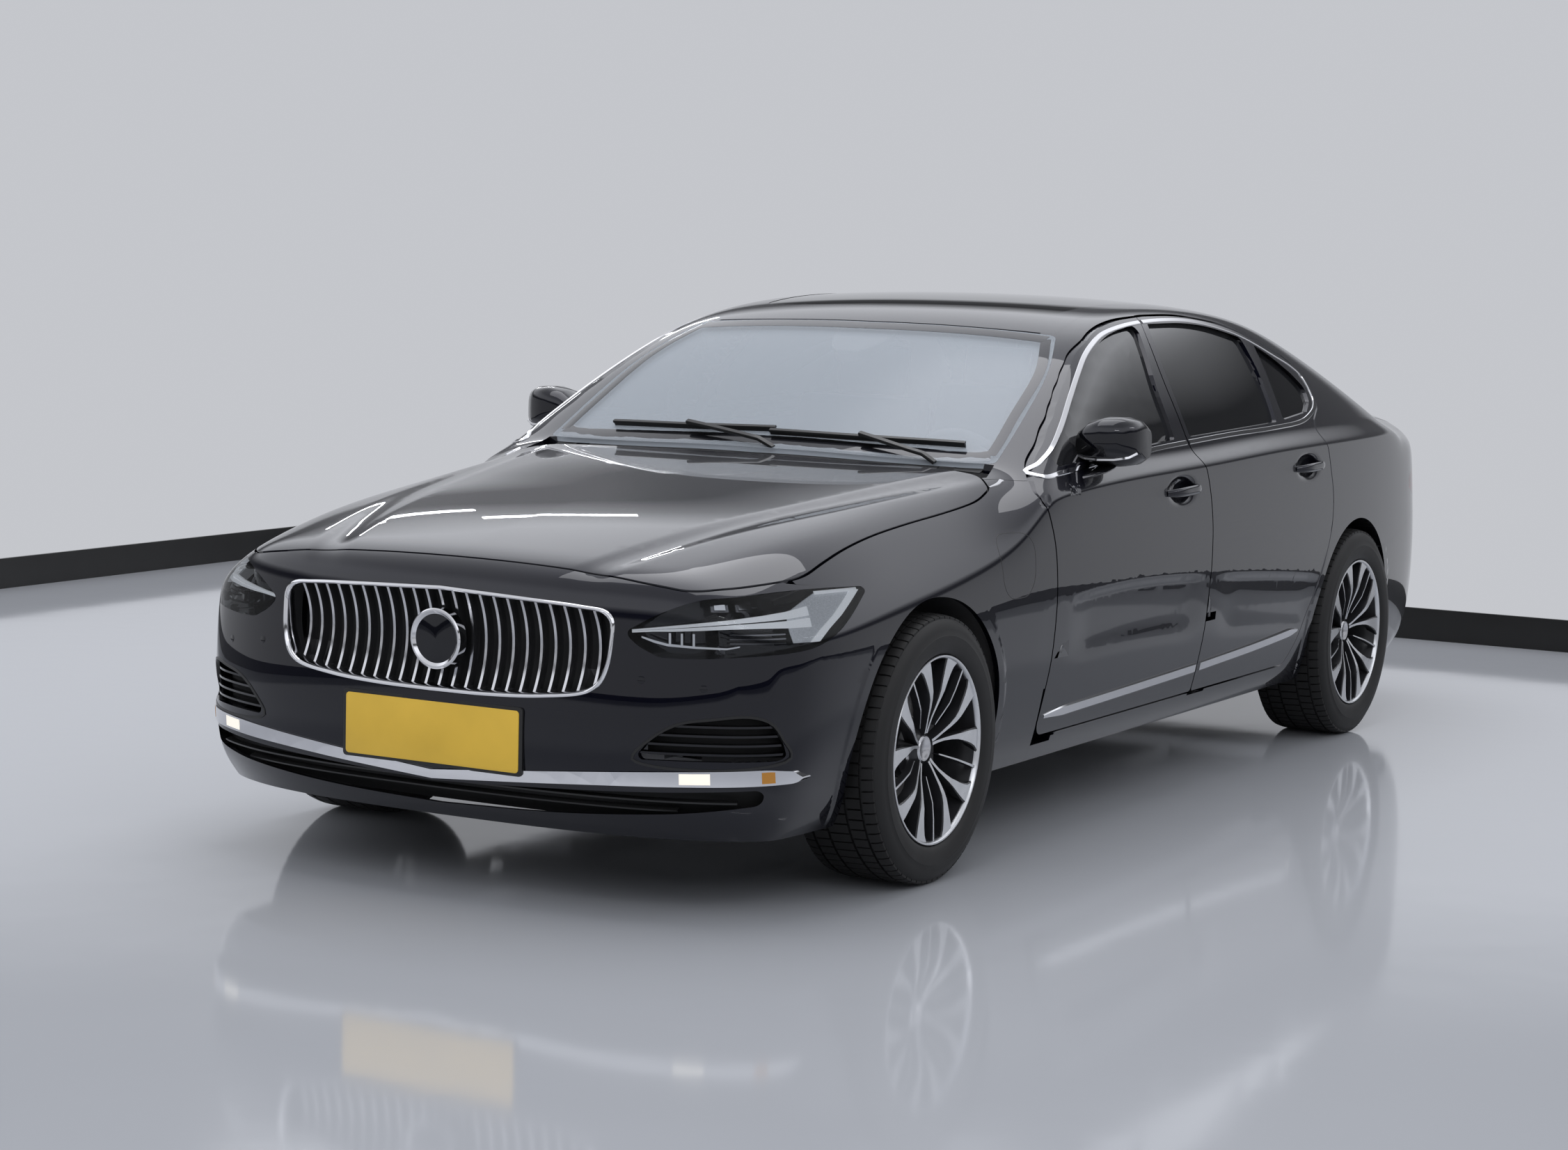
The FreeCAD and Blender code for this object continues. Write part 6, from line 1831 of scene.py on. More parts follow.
    def _lamps(self, frame: dict) -> None:
        """Lamp covers from the CAD frame, and what is inside them."""
        inside = Shape()
        for side in Side:
            inside.join(Headlamp(side).build())
        build_piece("headlamp_insides", inside, (GLOW, CHROME, DARK_CHROME, FROSTED), "body")
        Panel("headlamps", "body", "lamp", LENS, PIANO, inner_depth=7.0).build(frame)

    def _strip_lamps(self) -> None:
        """Amber reflector and small day lamp at each end of the strip."""
        shape = Shape()
        for side in Side:
            for low_x, top_x, mark in ((814, 834, 0), (652, 718, 1)):
                wide = np.linspace(low_x, top_x, 5) * side.value
                low = np.interp(abs(wide), (600, 864), (332, 340))
                top = np.interp(abs(wide), (600, 828, 864), (357, 366, 361))
                rows = [SKIN.ahead(wide, low + (top - low) * t, False) for t in (0, 0.5, 1)]
                ways = [SKIN.normals(row) for row in rows]
                out = np.array([row + way * 5.6 for row, way in zip(rows, ways)])
                back = np.array([row + way * 2.0 for row, way in zip(rows, ways)])
                shape.join(sheet_of(out, back), mark)
        build_piece("strip_lamps", shape, (AMBER, WARM_GLOW), "body")

    def _sensors(self) -> None:
        """Four parking sensors in the bumper."""
        shape = Shape()
        for x, z in ((-700, 560), (-560, 575), (560, 575), (700, 560)):
            place = SKIN.ahead([x], [z], False)
            way = Vector(SKIN.normals(place)[0])
            frame = way.to_track_quat("Z", "Y").to_matrix()
            rings = []
            for radius, height in ((9.5, -3), (9.5, 0.4), (7, 0.9)):
                rings.append([place[0] + np.array(frame @ Vector((
                    radius * math.cos(t), radius * math.sin(t), height)))
                    for t in turns(20)])
            shape.join(tube(np.array(rings)))
        build_piece("parking_sensors", shape, (PIANO,), "body")


@dataclass
class Tail:
    """Lamps, plate and chrome of the boot."""

    def build(self, frame: dict) -> None:
        """Builds every part of the tail.
        """
        inside = Shape()
        for side in Side:
            guide = [((-190, 770), (-190, 758)), ((-60, 768), (-60, 756)), ((70, 774), (74, 762)),
                     ((132, 792), (144, 784)), ((136, 812), (150, 814)), ((80, 836), (84, 848)),
                     ((-60, 884), (-58, 896)), ((-190, 922), (-188, 934))]
            inside.join(corner_sheet(guide, side, 10, 5, True, across=3), 0)
            for z in (790, 812, 834, 856):
                reach = float(np.interp(z, (780, 820, 860), (110, 120, 0)))
                fin = [((u, z + 2), (u, z - 2)) for u in np.linspace(-190, reach, 10)]
                inside.join(corner_sheet(fin, side, 22, 12, True, across=2), 1)
        build_piece("tail_lamp_insides", inside, (RED_GLOW, DARK_CHROME), "body")
        Panel("tail_lamps", "body", "red_lamp", RED_LENS, PIANO, inner_depth=7.0).build(frame)
        self._lid_trim()
        self._bumper_trim()

    def _lid_trim(self) -> None:
        """Chrome bar and plate on the boot lid."""
        wide = np.linspace(-640, 640, 53)
        taper = np.interp(np.abs(wide), (0, 560, 640), (1, 1, 0.3))
        bar = bar_across(wide, 852, bar_profile(24, 6, 4.5), backwards=True, scale=taper)
        build_piece("lid_chrome", bar, (CHROME,), "boot_lid")
        back = SKIN.ahead([0.0], [760.0], False, True)[0][1]
        plate = rounded_block((520, 112), 9, (back - 12, back - 1.0), 1, (0, 0, 770))
        build_piece("rear_plate", plate, (PLATE,), "boot_lid", bevel=0.8)

    def _bumper_trim(self) -> None:
        """Chrome strip of the rear bumper."""
        wide = np.linspace(-790, 790, 61)
        taper = np.interp(np.abs(wide), (0, 700, 790), (1, 1, 0.3))
        strip = bar_across(wide, 350, bar_profile(22, 6, 4.5), backwards=True, scale=taper)
        build_piece("rear_low_chrome", strip, (CHROME,), "body")


# Wheels


@dataclass
class Wheel:
    """A tyre and its forked alloy rim, drawn on the left and turned round for the right."""

    side: Side
    row: str
    half_width: float = 127.5
    bead: float = 241.0
    pairs: int = 5
    blocks: int = 72
    bolts: int = 5

    @property
    def centre(self) -> tuple[float, float, float]:
        """The wheel's centre in millimetres."""
        station = FRONT_AXLE if self.row == "front" else REAR_AXLE
        return (WHEEL_X * self.side.value, station, AXLE_HEIGHT)

    @property
    def body(self) -> str:
        """The CAD body of the wheel."""
        return f"wheel_{self.row}_{self.side.word}"

    @property
    def words(self) -> str:
        """The row and side, for names."""
        return f"{self.row}_{self.side.word}"

    def _at_wheel(self, shape: Shape) -> Shape:
        """Moves a shape drawn about the origin, outwards along +X, to the wheel."""
        turned = shape.on(self.side)
        return Shape(turned.points + self.centre, list(turned.faces), list(turned.marks))

    def build(self) -> None:
        """Builds the wheel's parts."""
        metal = Turned(f"machined_{self.row}", axle_y=self.centre[1] * MM)
        steel = Turned(f"disc_{self.row}", (0.42, 0.41, 0.40), 0.3, self.centre[1] * MM)
        self._tyre()
        self._rim(metal, steel)

    def _tyre(self) -> None:
        """Carcass with sidewall rings, and the tread's blocks as a ring of copies."""
        w, b = self.half_width, self.bead
        outline = ((-w + 15, b), (-w + 9, b + 5), (-w + 3, b + 15), (-w + 0.4, b + 32),
                   (-w, b + 48), (-w + 1.6, b + 50), (-w + 2.4, b + 63), (-w + 6, b + 76),
                   (-w + 15, b + 88), (-w + 28, b + 93.5), (w - 28, b + 93.5), (w - 15, b + 88),
                   (w - 6, b + 76), (w - 2.4, b + 63), (w - 1.6, b + 50), (w, b + 48),
                   (w - 0.4, b + 32), (w - 3, b + 15), (w - 9, b + 5), (w - 15, b))
        carcass = revolved(outline, (0, 0, 0), 120)
        build_piece(f"tyre_{self.words}_carcass", self._at_wheel(carcass), (RUBBER,), self.body,
                    (f"tyre_{self.words}",), smooth=40)
        blocks = Shape()
        step = math.radians(360 / self.blocks)
        for low, high, shift in ((-w + 17, -w + 47, 0.0), (-w + 54, -w + 93, 0.35),
                                 (-w + 100, w - 100, 0.1), (w - 93, w - 54, 0.6),
                                 (w - 47, w - 17, 0.25)):
            rings = []
            for x in np.linspace(low, high, 3):
                edge = max(0.0, abs(x) - (w - 47)) / 30
                top = b + 100 - 5.2 * edge ** 2
                floor = top - 8
                lean = 0.25 * (x / w)
                ring = []
                for share, radius in ((0.06, floor), (0.08, top), (0.50, top), (0.92, top),
                                      (0.94, floor)):
                    turn = (share - 0.5 + shift + lean) * step
                    ring.append((x, radius * math.sin(turn), radius * math.cos(turn)))
                rings.append(ring)
            blocks.join(tube(np.array(rings)))
        tread = make_mesh(f"tread_{self.words}", self._at_wheel(blocks), ())
        Repeater.around(tread, self.centre, self.blocks, RUBBER)
        place_piece(tread, self.body)

    def _rim(self, metal: Finish, steel: Finish) -> None:
        """Barrel, forked spokes, thin blades, hub, blank cap, bolts and brake disc."""
        w, b = self.half_width, self.bead
        barrel = revolved(((-w + 14, b - 0.4), (w - 12, b - 0.4), (w - 9.5, b - 2), (w - 9.5, b - 6),
                           (w - 12, b - 8.5), (w - 22, b - 11), (w - 44, b - 16),
                           (w - 60, b - 22), (-w + 30, b - 24), (-w + 18, b - 14)),
                          (0, 0, 0), 96)
        barrel.marks = [0 if face % 10 in (1, 2, 3, 4) else 1 for face in range(len(barrel.faces))]
        build_piece(f"rim_{self.words}_barrel", self._at_wheel(barrel), (metal, POCKET),
                    self.body, (f"rim_{self.words}",), smooth=40)
        spoke, face = self._fork()
        for name, shape, finish in (("pockets", spoke, POCKET), ("faces", face, metal)):
            made = make_mesh(f"rim_{self.words}_{name}", self._at_wheel(shape), ())
            Repeater.around(made, self.centre, self.pairs, finish)
            place_piece(made, self.body)
        hub = revolved(((-2, 0.3), (77, 0.3), (78, 22), (80.5, 25), (80.5, 31), (76, 34),
                        (72, 40), (66, 47), (50, 56), (40, 74), (20, 78), (-2, 78)),
                       (0, 0, 0), 72)
        hub.marks = [0 if face % 12 in (1, 2, 3, 4) else 1 for face in range(len(hub.faces))]
        build_piece(f"hub_{self.words}", self._at_wheel(hub), (SATIN_CHROME, POCKET), self.body,
                    smooth=40)
        turn = math.radians(180 / self.bolts)
        out = np.array((0, math.sin(turn), math.cos(turn))) * 58
        bolt = tube(np.array([[(x, out[1] + r * math.cos(t), out[2] + r * math.sin(t))
                               for t in turns(6)]
                              for x, r in ((40, 9), (60, 9), (61.5, 7))]))
        bolts = make_mesh(f"bolts_{self.words}", self._at_wheel(bolt), ())
        Repeater.around(bolts, self.centre, self.bolts, SATIN_CHROME)
        place_piece(bolts, self.body)
        disc = revolved(((-26, 80), (-26, 159.6), (-17, 159.6), (-17, 150), (-11, 150),
                         (-11, 159.6), (-2, 159.6), (-2, 92), (12, 91), (12, 80)), (0, 0, 0), 72)
        build_piece(f"disc_{self.words}", self._at_wheel(disc), (steel,), self.body,
                    smooth=40)

    def _fork(self) -> tuple[Shape, Shape]:
        """One pair of spokes about a shallow pocket, and the thin blade beside it.

        Returns:
            The dark part and the machined faces.
        """
        dark = Shape()
        bright = Shape()
        rim = self.bead - 8.0
        radii = np.array((0.17, 0.21, 0.26, 0.35, 0.47, 0.57, 0.65, 0.75, 0.85, 0.93, 1.0)) * rim
        front = np.interp(radii / rim, (0.12, 0.35, 0.5, 0.62, 1.0), (79, 92, 103, 110, 113))
        near = np.array((0.3, 0.8, 2.4, 4.3, 5.8, 6.9, 7.7, 8.6, 9.4, 10.0, 10.6))
        far = np.array((13, 11.2, 10.2, 10.2, 12.0, 14.0, 16.4, 18.8, 21.2, 23.4, 27.0))
        for sign in (-1, 1):
            self._blade(dark, bright, radii, front, sign * (near + far) / 2, (far - near) / 2, 34)
        radii = np.array((0.30, 0.33, 0.45, 0.58, 0.75, 0.9, 1.0)) * rim
        front = np.interp(radii / rim, (0.12, 0.35, 0.5, 0.62, 1.0), (76, 89, 101, 109, 112))
        half = np.array((0.9, 1.5, 1.3, 1.1, 1.0, 0.95, 1.0))
        self._blade(dark, bright, radii, front, np.full(7, 180 / self.pairs), half, 20)
        return dark, bright

    @staticmethod
    def _blade(dark: Shape, bright: Shape, radii: Points, front: Points, middle: Points,
               half: Points, depth: float) -> None:
        """Adds one blade to the dark and bright shapes.

        Args:
            dark: Shape that takes the blade's body.
            bright: Shape that takes its bright face.
            radii: Radii of its sections.
            front: How far out each section's face lies.
            middle: Angle of each section's middle in degrees.
            half: Half its width in degrees.
            depth: Its depth behind the face.
        """
        body, face = [], []
        for r, x, mid, wide in zip(radii, front, middle, half):
            def at(angle: float, out: float) -> tuple[float, float, float]:
                """Place at an angle from the section's middle, as far out as asked."""
                turn = math.radians(mid + angle)
                return (out, r * math.sin(turn), r * math.cos(turn))
            body.append([at(-wide, x - 3), at(-wide * 0.86, x - 0.6), at(wide * 0.86, x - 0.6),
                         at(wide, x - 3), at(wide * 0.7, x - depth), at(-wide * 0.7, x - depth)])
            face.append([at(-wide * 0.84, x), at(wide * 0.84, x), at(wide * 0.84, x - 1.2),
                         at(-wide * 0.84, x - 1.2)])
        dark.join(tube(np.array(body)))
        bright.join(tube(np.array(face)))


# The cabin


@dataclass
class Cushion:
    """Padded block with rounded edges and sewn pleats."""

    size: tuple[float, float, float]
    pleats: int = 0
    hollow: float = 0.0
    steps: int = 22

    def build(self) -> Shape:
        """The cushion about the origin, its soft side upwards.

        Returns:
            The closed shape.
        """
        wide, long, tall = self.size
        count = self.steps
        nets = []
        for sign in (1, -1):
            net = []
            for v in np.linspace(-1, 1, count):
                row = []
                for u in np.linspace(-1, 1, count):
                    x = math.copysign(abs(u) ** 0.92, u)
                    y = math.copysign(abs(v) ** 0.92, v)
                    edge = (1 - abs(x) ** 7) ** 0.45 * (1 - abs(y) ** 7) ** 0.45
                    z = tall / 2 * edge
                    if sign > 0:
                        z += self.hollow * (abs(x) ** 3 - 0.5) * edge
                        if self.pleats and abs(x) < 0.62:
                            z -= 4.0 * abs(math.cos(math.pi * self.pleats * (v + 1) / 2)) ** 14
                    shrink = 1 - 0.05 * (1 - edge)
                    row.append((x * wide / 2 * shrink, y * long / 2 * shrink, sign * z))
                net.append(row)
            nets.append(np.array(net))
        return sheet_of(nets[0], nets[1])


def placed(shape: Shape, degrees: float, place: Sequence[float]) -> Shape:
    """A shape tipped by some degrees about the X axis, then moved to its place."""
    turn = np.array(Matrix.Rotation(math.radians(degrees), 3, Vector((1, 0, 0))))
    return Shape(shape.points @ turn.T + np.asarray(place, float), shape.faces, shape.marks)


Padding = tuple[tuple[float, float, float], int, float, float, float, float]


def seat(x: float, parts: Sequence[Padding]) -> Shape:
    """Cushions of one seat.

    Args:
        x: The seat's place across the car.
        parts: Size, pleats, hollow, tip in degrees, station and height of each cushion.

    Returns:
        The cushions as one shape.
    """
    made = Shape()
    for size, pleats, hollow, tip, station, height in parts:
        made.join(placed(Cushion(size, pleats, hollow).build(), tip,
                         (x, FRONT_AXLE + station, height)))
    return made


COLUMN_LEAN = math.radians(23)
COLUMN_WAY = np.array((0, -math.cos(COLUMN_LEAN), -math.sin(COLUMN_LEAN)))
COLUMN_TOP = np.array((370, FRONT_AXLE + 1230, 900.0))


@dataclass
class Cabin:
    """Seats, dashboard and steering wheel."""

    def build(self) -> None:
        """Builds the furniture of the cabin."""
        self._front_seats()
        self._bench()
        self._dashboard()
        self._steering_wheel()

    def _front_seats(self) -> None:
        """Two front seats with bolsters, pleats and head rests."""
        seats = Shape()
        for x in (370, -370):
            seats.join(seat(x, (((500, 470, 130), 5, 34, 3, 1600, 480),
                                ((490, 620, 120), 7, 34, 78, 1935, 815),
                                ((250, 170, 80), 0, 6, 80, 2050, 1180))))
            seats.join(rounded_block((400, 440), 40, (271, 420), 2, (x, FRONT_AXLE + 1620, 0)))
        made = build_piece("front_seat_leather", seats, (LEATHER,), "body",
                           ("front_seats",), smooth=60)

    def _bench(self) -> None:
        """Rear bench with three places and head rests."""
        bench = Shape()
        for x, wide in ((-395, 430), (0, 340), (395, 430)):
            bench.join(seat(x, (((wide, 470, 150), 5, 26, 3, 2590, 500),
                                ((wide, 600, 130), 7, 26, 74, 2915, 830))))
        for x in (-395, 395):
            bench.join(seat(x, (((250, 150, 90), 0, 6, 78, 3010, 1165),)))
        bench.join(rounded_block((1240, 300), 30, (376, 440), 2, (0, FRONT_AXLE + 2740, 0)))
        made = build_piece("rear_bench_leather", bench, (LEATHER,), "body",
                           ("rear_bench",), smooth=60)

    def _dashboard(self) -> None:
        """Soft upper roll, wide screen, console and the column's shroud."""
        shape = Shape()
        sections = []
        for x in np.linspace(-680, 680, 35):
            hump = 26 * math.exp(-((x - 370) / 190) ** 2)
            sections.append([(x, FRONT_AXLE + s, z + hump * h) for s, z, h in (
                (748, 930, 0), (800, 948, 0.3), (900, 962, 1), (985, 950, 1), (1010, 925, 0.6),
                (1004, 890, 0), (975, 800, 0), (930, 720, 0), (760, 720, 0))])
        shape.join(tube(np.array(sections)), 0)
        trim = [[(x, FRONT_AXLE + 1012 + a, z) for a, z in ((-8, 862), (2, 866), (2, 882),
                                                            (-8, 886))]
                for x in np.linspace(-670, 670, 12)]
        shape.join(tube(np.array(trim)), 1)
        for size, radius, span, place in (
                ((330, 128), 10, (1004, 1016), (0, 0, 905)),
                ((300, 110), 14, (1000, 1010), (370, 0, 925))):
            low, top = span
            shape.join(rounded_block(size, radius, (FRONT_AXLE + low, FRONT_AXLE + top), 1, place),
                       2)
        console = [[(x, FRONT_AXLE + s, z) for s, z in (
            (1000, 431), (1900, 431), (1900, 600), (1640, 625), (1300, 610), (1080, 760),
            (990, 800), (960, 700), (960, 500))] for x in (-103, -96, 96, 103)]
        shape.join(tube(np.array(console)), 0)
        shape.join(rounded_block((170, 250), 20, (0, 10), 2, (0, FRONT_AXLE + 1760, 617)), 3)
        way = COLUMN_WAY
        start = COLUMN_TOP + way * 44
        side = np.array((1.0, 0, 0))
        up = np.cross(side, way)
        rings = []
        for reach, radius in ((0, 32), (30, 40), (120, 48), (280, 56)):
            rings.append([start + way * reach + side * radius * math.cos(t)
                          + up * radius * 0.9 * math.sin(t) for t in turns(16)])
        shape.join(tube(np.array(rings)), 3)
        made = build_piece("dashboard_trim", shape, (TRIM_LEATHER, DARK_CHROME, PIANO, GRAINED),
                           "body", ("dashboard",), smooth=40)

    def _steering_wheel(self) -> None:
        """Leather rim with grips, three spokes and a blank centre."""
        way = COLUMN_WAY
        centre = COLUMN_TOP
        side = np.array((1.0, 0, 0))
        up = -np.cross(side, way)
        rings = []
        for turn in turns(64):
            out = side * math.cos(turn) + up * math.sin(turn)
            thick = 14 + 1.5 * math.cos(4 * turn)
            rings.append([centre + out * (170 + thick * math.cos(t)) + way * thick * math.sin(t)
                          for t in turns(12)])
        shape = Shape().join(tube(np.array(rings), closed_path=True), 0)
        hub = [[centre + way * a + side * r * 1.05 * math.cos(t) + up * r * 0.9 * math.sin(t)
                for t in turns(28)]
               for a, r in ((22, 50), (-8, 62), (-20, 58), (-26, 40), (-28, 4))]
        shape.join(tube(np.array(hub)), 1)
        for out in (side, -side, -up):
            wide_way = np.cross(way, out)
            spoke = []
            for reach, wide in ((44, 24), (90, 17), (130, 14), (160, 15)):
                spoke.append([centre + out * reach + wide_way * a * wide + way * b
                              for a, b in ((-1, -4), (1, -4), (1, 7), (-1, 7))])
            shape.join(tube(np.array(spoke)), 2)
        build_piece("steering_wheel_trim", shape, (TRIM_LEATHER, GRAINED, SATIN_CHROME),
                    "steering_wheel", ("steering_wheel",), smooth=40)


@dataclass
class Screen:
    """What lies on and under the windscreen: printed border, camera housing, cowl and wipers."""

    border: tuple[Corner, ...] = ((0, 680), (400, 690), (640, 718), (692, 738), (688, 800),
                                  (676, 900), (646, 1132), (576, 1318), (400, 1316), (0, 1308))

    def build(self) -> None:
        """Builds the parts at the windscreen."""
        half = smooth_line(self.border[:4], 20.0)
        side = smooth_line(self.border[3:8], 20.0)
        top = smooth_line(self.border[7:], 20.0)
        frit = Shape()
        for line, wide in ((half, 52), (side, 30), (top, 50)):
            for sign in (1, -1):
                places = SKIN.above(line[:, 0] * sign, line[:, 1], False)
                frit.join(swept(places, SKIN.normals(places), bar_profile(wide, 0.9, 0.5)))
        build_piece("screen_border", frit, (PIANO,), "body")
        self._camera()
        self._cowl()
        self._wipers()

    def _camera(self) -> None:
        """Camera housing behind the top of the windscreen."""
        rings = []
        for s, wide, lift in ((1180, 40, -20), (1210, 70, -18), (1270, 95, -17), (1318, 100, -17)):
            place = SKIN.above([0.0], [s], False)[0]
            rings.append([(x * wide, place[1], place[2] + lift - deep) for x, deep in (
                (-1, 0), (1, 0), (0.8, 34), (-0.8, 34))])
        build_piece("camera_housing", tube(np.array(rings)), (GRAINED,), "body")

    def _cowl(self) -> None:
        """Slotted panel between hood and windscreen."""
        cowl = Shape()
        for low, top, start in ((-566, 566, 594), (614, 690, 634), (-690, -614, 634)):
            wide = np.linspace(low, top, max(3, int((top - low) / 40)))
            net = []
            for s in np.linspace(start, 690, 5):
                stations = np.full(len(wide), s) + 44 * (np.abs(wide) / 690) ** 2
                net.append(SKIN.above(wide, stations, False) - (0, 0, 17))
            cowl.join(sheet_of(np.array(net), np.array(net) - (0, 0, 3)))
        for x in np.arange(-520, 521, 20.0):
            rib = SKIN.above([x, x, x], [600, 615, 630], False) - (0, 0, 16)
            cowl.join(swept(rib, np.tile((0.0, 0.0, 1.0), (3, 1)), bar_profile(7, 3)))
        build_piece("cowl_panel", cowl, (GRAINED,), "body")

    def _wipers(self) -> None:
        """Two parked wipers, blade and arm."""
        wipers = Shape()
        for start, end, pivot in (((610, 752), (20, 708), (560, 662)),
                                  ((30, 722), (-520, 742), (60, 650))):
            share = np.linspace(0, 1, 26)
            xs = start[0] + (end[0] - start[0]) * share
            ss = start[1] + (end[1] - start[1]) * share - 12 * np.sin(math.pi * share)
            places = SKIN.above(xs, ss, False)
            ways = SKIN.normals(places)
            for rise, profile in ((1.0, bar_profile(6, 12)), (11.0, bar_profile(13, 7))):
                wipers.join(swept(places + ways * rise, ways, profile))
            middle = len(share) // 2
            arm_x = np.linspace(pivot[0], xs[middle], 14)
            arm_s = np.linspace(pivot[1], ss[middle], 14)
            arm = SKIN.above(arm_x, arm_s, False)
            arm_ways = SKIN.normals(arm)
            lift = np.interp(np.linspace(0, 1, 14), (0, 0.15, 1), (-4, 14, 20))
            wipers.join(swept(arm + arm_ways * lift[:, None], arm_ways, bar_profile(15, 9)))
        build_piece("wipers", wipers, (BLACK_TRIM,), "body")


# The CAD pieces that stay as they are


@dataclass(frozen=True)
class Dressed:
    """CAD nodes that keep their shape and get a finish."""

    nodes: tuple[str, ...]
    finish: Finish
    slot: str

    def build(self, frame: dict) -> None:
        """Gives the nodes their finish.
        """
        for node in self.nodes:
            data = frame["nodes"][node].data
            data.materials.clear()
            data.materials.append(self.finish.material())


@dataclass
class Bodywork:
    """Every panel and pane of the outside."""

    def build(self, frame: dict) -> None:
        """Dresses the panels and panes.
        """
        for panel in self._panels():
            panel.build(frame)

    @staticmethod
    def _panels() -> list[Panel]:
        """The panels with their finishes."""
        panels = [Panel("hood", "hood", "paint", LACQUER, CARPET, 18.0),
                  Panel("boot_lid", "boot_lid", "paint", LACQUER, CARPET, 18.0),
                  Panel("roof", "body", "paint", LACQUER, TRIM_LEATHER, 11.0),
                  Panel("front_bumper", "body", "bumper_paint", LACQUER, BLACK_TRIM, 11.0,
                        longest=26.0),
                  Panel("rear_bumper", "body", "bumper_paint", LACQUER, BLACK_TRIM, 11.0),
                  # The windscreen's pale face colour is a painted reflection of the ceiling.
                  Panel("windscreen", "body", "screen_glass", WINDSCREEN_PAINTED_REFLECTION, settle=False),
                  Panel("rear_window", "body", "screen_glass", PRIVACY, settle=False),
                  Panel("roof_glass", "body", "dark_glass", ROOF_GLASS, settle=False)]
        for side in Side:
            word = side.word
            panels += [
                Panel(f"body_side_{word}", "body", "paint", LACQUER, TRIM_LEATHER, 55.0),
                Panel(f"fender_{word}", "body", "paint", LACQUER, UNDERSEAL, 11.0),
                Panel(f"front_door_{word}", f"front_door_{word}", "paint", LACQUER,
                      TRIM_LEATHER, 50.0),
                Panel(f"rear_door_{word}", f"rear_door_{word}", "paint", LACQUER, TRIM_LEATHER,
                      50.0),
                Panel(f"front_door_glass_{word}", f"front_door_{word}", "dark_glass", PRIVACY,
                      settle=False),
                Panel(f"rear_door_glass_{word}", f"rear_door_{word}", "dark_glass", PRIVACY,
                      settle=False)]
        return panels


# The studio


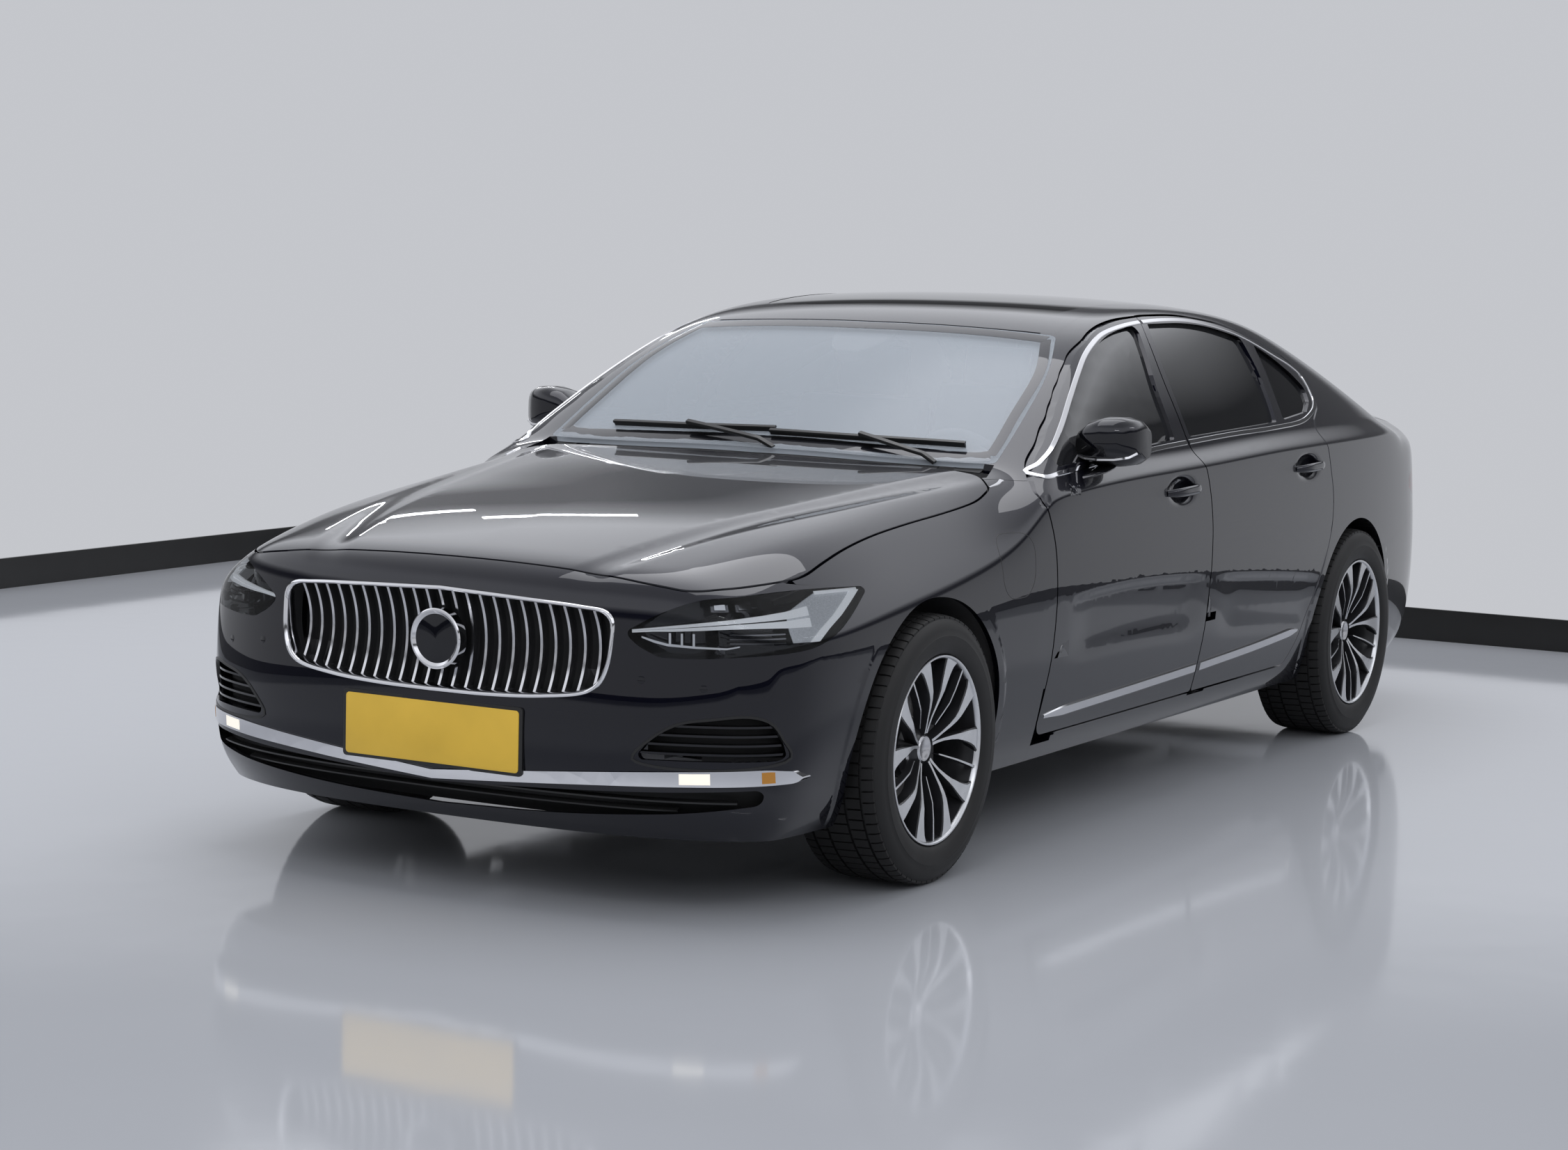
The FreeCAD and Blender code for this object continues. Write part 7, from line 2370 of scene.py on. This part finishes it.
@dataclass
class Studio:
    """Camera at the photograph's angle, pale floor and soft lamps."""

    place: tuple[float, float, float] = (4.50566, -8.77631, 1.63746)
    azimuth: float = 29.5615
    elevation: float = 6.2113
    roll: float = 1.42879
    lens: float = 73.65

    def build(self) -> None:
        """Sets up the camera, the world, the lamps and the floor."""
        self._camera()
        self._world()
        self._lamps()
        self._floor()
        bpy.context.scene.view_settings.view_transform = "Standard"

    def _camera(self) -> None:
        """Camera turned by azimuth, elevation and roll."""
        a, e, r = (math.radians(angle) for angle in (self.azimuth, self.elevation, self.roll))
        back = Vector((math.sin(a) * math.cos(e), -math.cos(a) * math.cos(e), math.sin(e)))
        level = (-back).cross(Vector((0, 0, 1))).normalized()
        steep = level.cross(-back)
        right = math.cos(r) * level + math.sin(r) * steep
        up = math.cos(r) * steep - math.sin(r) * level
        made = bpy.data.objects.new("camera", bpy.data.cameras.new("camera"))
        bpy.context.scene.collection.objects.link(made)
        made.data.lens = self.lens
        made.data.sensor_width = 36.0
        made.data.sensor_fit = "HORIZONTAL"
        turned_by = Matrix((right, up, back)).transposed().to_4x4()
        made.matrix_world = Matrix.Translation(Vector(self.place)) @ turned_by
        bpy.context.scene.camera = made

    @staticmethod
    def _floor() -> None:
        """Plain pale floor with a dark skirting round it."""
        outline = rounded_outline(15200, 17000, 60) + (2400, -4500)
        made = make_mesh("floor", slab_between(outline, -20, 0, 2), (FLOOR,))
        foot = np.insert(outline, 2, 0.0, axis=1)
        strip = swept(foot, np.tile((0.0, 0.0, 1.0), (len(foot), 1)), bar_profile(20, 130),
                      closed=True)
        edge = make_mesh("skirting", strip, (BLACK_TRIM,))

    @staticmethod
    def _world() -> None:
        """Pale even surroundings."""
        world = bpy.data.worlds.new("studio")
        bpy.context.scene.world = world
        world.use_nodes = True
        nodes, links = world.node_tree.nodes, world.node_tree.links
        way = nodes.new("ShaderNodeTexCoord")
        split = nodes.new("ShaderNodeSeparateXYZ")
        links.new(way.outputs["Generated"], split.inputs[0])
        rise = nodes.new("ShaderNodeValToRGB")
        links.new(split.outputs[2], rise.inputs[0])
        stops = ((0.0, 0.60), (0.195, 0.60), (0.235, 0.08), (0.285, 0.05), (0.33, 0.45),
                 (0.39, 1.30), (0.60, 1.20), (0.75, 0.80), (1.0, 0.70))
        ramp = rise.color_ramp.elements
        ramp.remove(ramp[1])
        for place, light in stops:
            stop = ramp.new(place) if place else ramp[0]
            stop.position = place
            stop.color = (light * 0.925, light * 0.945, light, 1.0)
        sky = nodes["Background"]
        links.new(rise.outputs[0], sky.inputs["Color"])
        sky.inputs["Strength"].default_value = 1.0

    @staticmethod
    def _lamps() -> None:
        """Soft panels over, beside and behind the car."""
        for name, place, aim, size, power in (
                ("overhead", (-0.4, 0.0, 6.0), (-0.4, 0.0, 0.5), (4.0, 6.0), 150),
                ("tube_far", (-4.4, 2.6, 3.0), (-0.4, -1.6, 0.9), (0.9, 0.06), 5),
                ("tube_middle", (-3.9, 3.4, 3.4), (-0.4, -1.6, 0.9), (0.9, 0.06), 5),
                ("tube_near", (3.6, -4.6, 3.6), (0.6, -1.0, 0.8), (1.6, 0.08), 8),
                ("tube_side", (4.6, 0.6, 3.4), (0.9, 0.2, 0.8), (1.6, 0.08), 8)):
            lamp = bpy.data.lights.new(name, "AREA")
            lamp.shape = "RECTANGLE"
            lamp.size, lamp.size_y = size
            lamp.energy = power
            lamp.color = (0.965, 0.97, 1.0)
            made = bpy.data.objects.new(name, lamp)
            bpy.context.scene.collection.objects.link(made)
            made.location = place
            made.rotation_euler = (Vector(aim) - Vector(place)).to_track_quat("-Z", "Y").to_euler()


def main() -> None:
    """Builds the finished car around its CAD frame."""
    logging.basicConfig(level=logging.INFO, format="%(name)s: %(message)s")
    for leftover in list(bpy.data.objects):
        bpy.data.objects.remove(leftover)
    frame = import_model()
    Bodywork().build(frame)
    for side in Side:
        SideTrim(side).build()
        for row in ("front", "rear"):
            Wheel(side, row).build()
    Nose().build(frame)
    Tail().build(frame)
    Screen().build()
    Cabin().build()
    for dressed in CHASSIS:
        dressed.build(frame)
    Studio().build()
    log.info("%d pieces, %d triangles", len(PIECES_MADE), sum(PIECES_MADE.values()))


CHASSIS = (
    Dressed(("floor_pan", "boot_tub", "front_structure"), UNDERSEAL, "chassis"),
    Dressed(("front_subframe", "rear_subframe", "knuckle_left", "knuckle_right", "engine"),
            ALLOY_CAST, "casting"),
    Dressed(("exhaust",), STEEL, "exhaust_steel"),
)


if __name__ == "__main__":
    main()
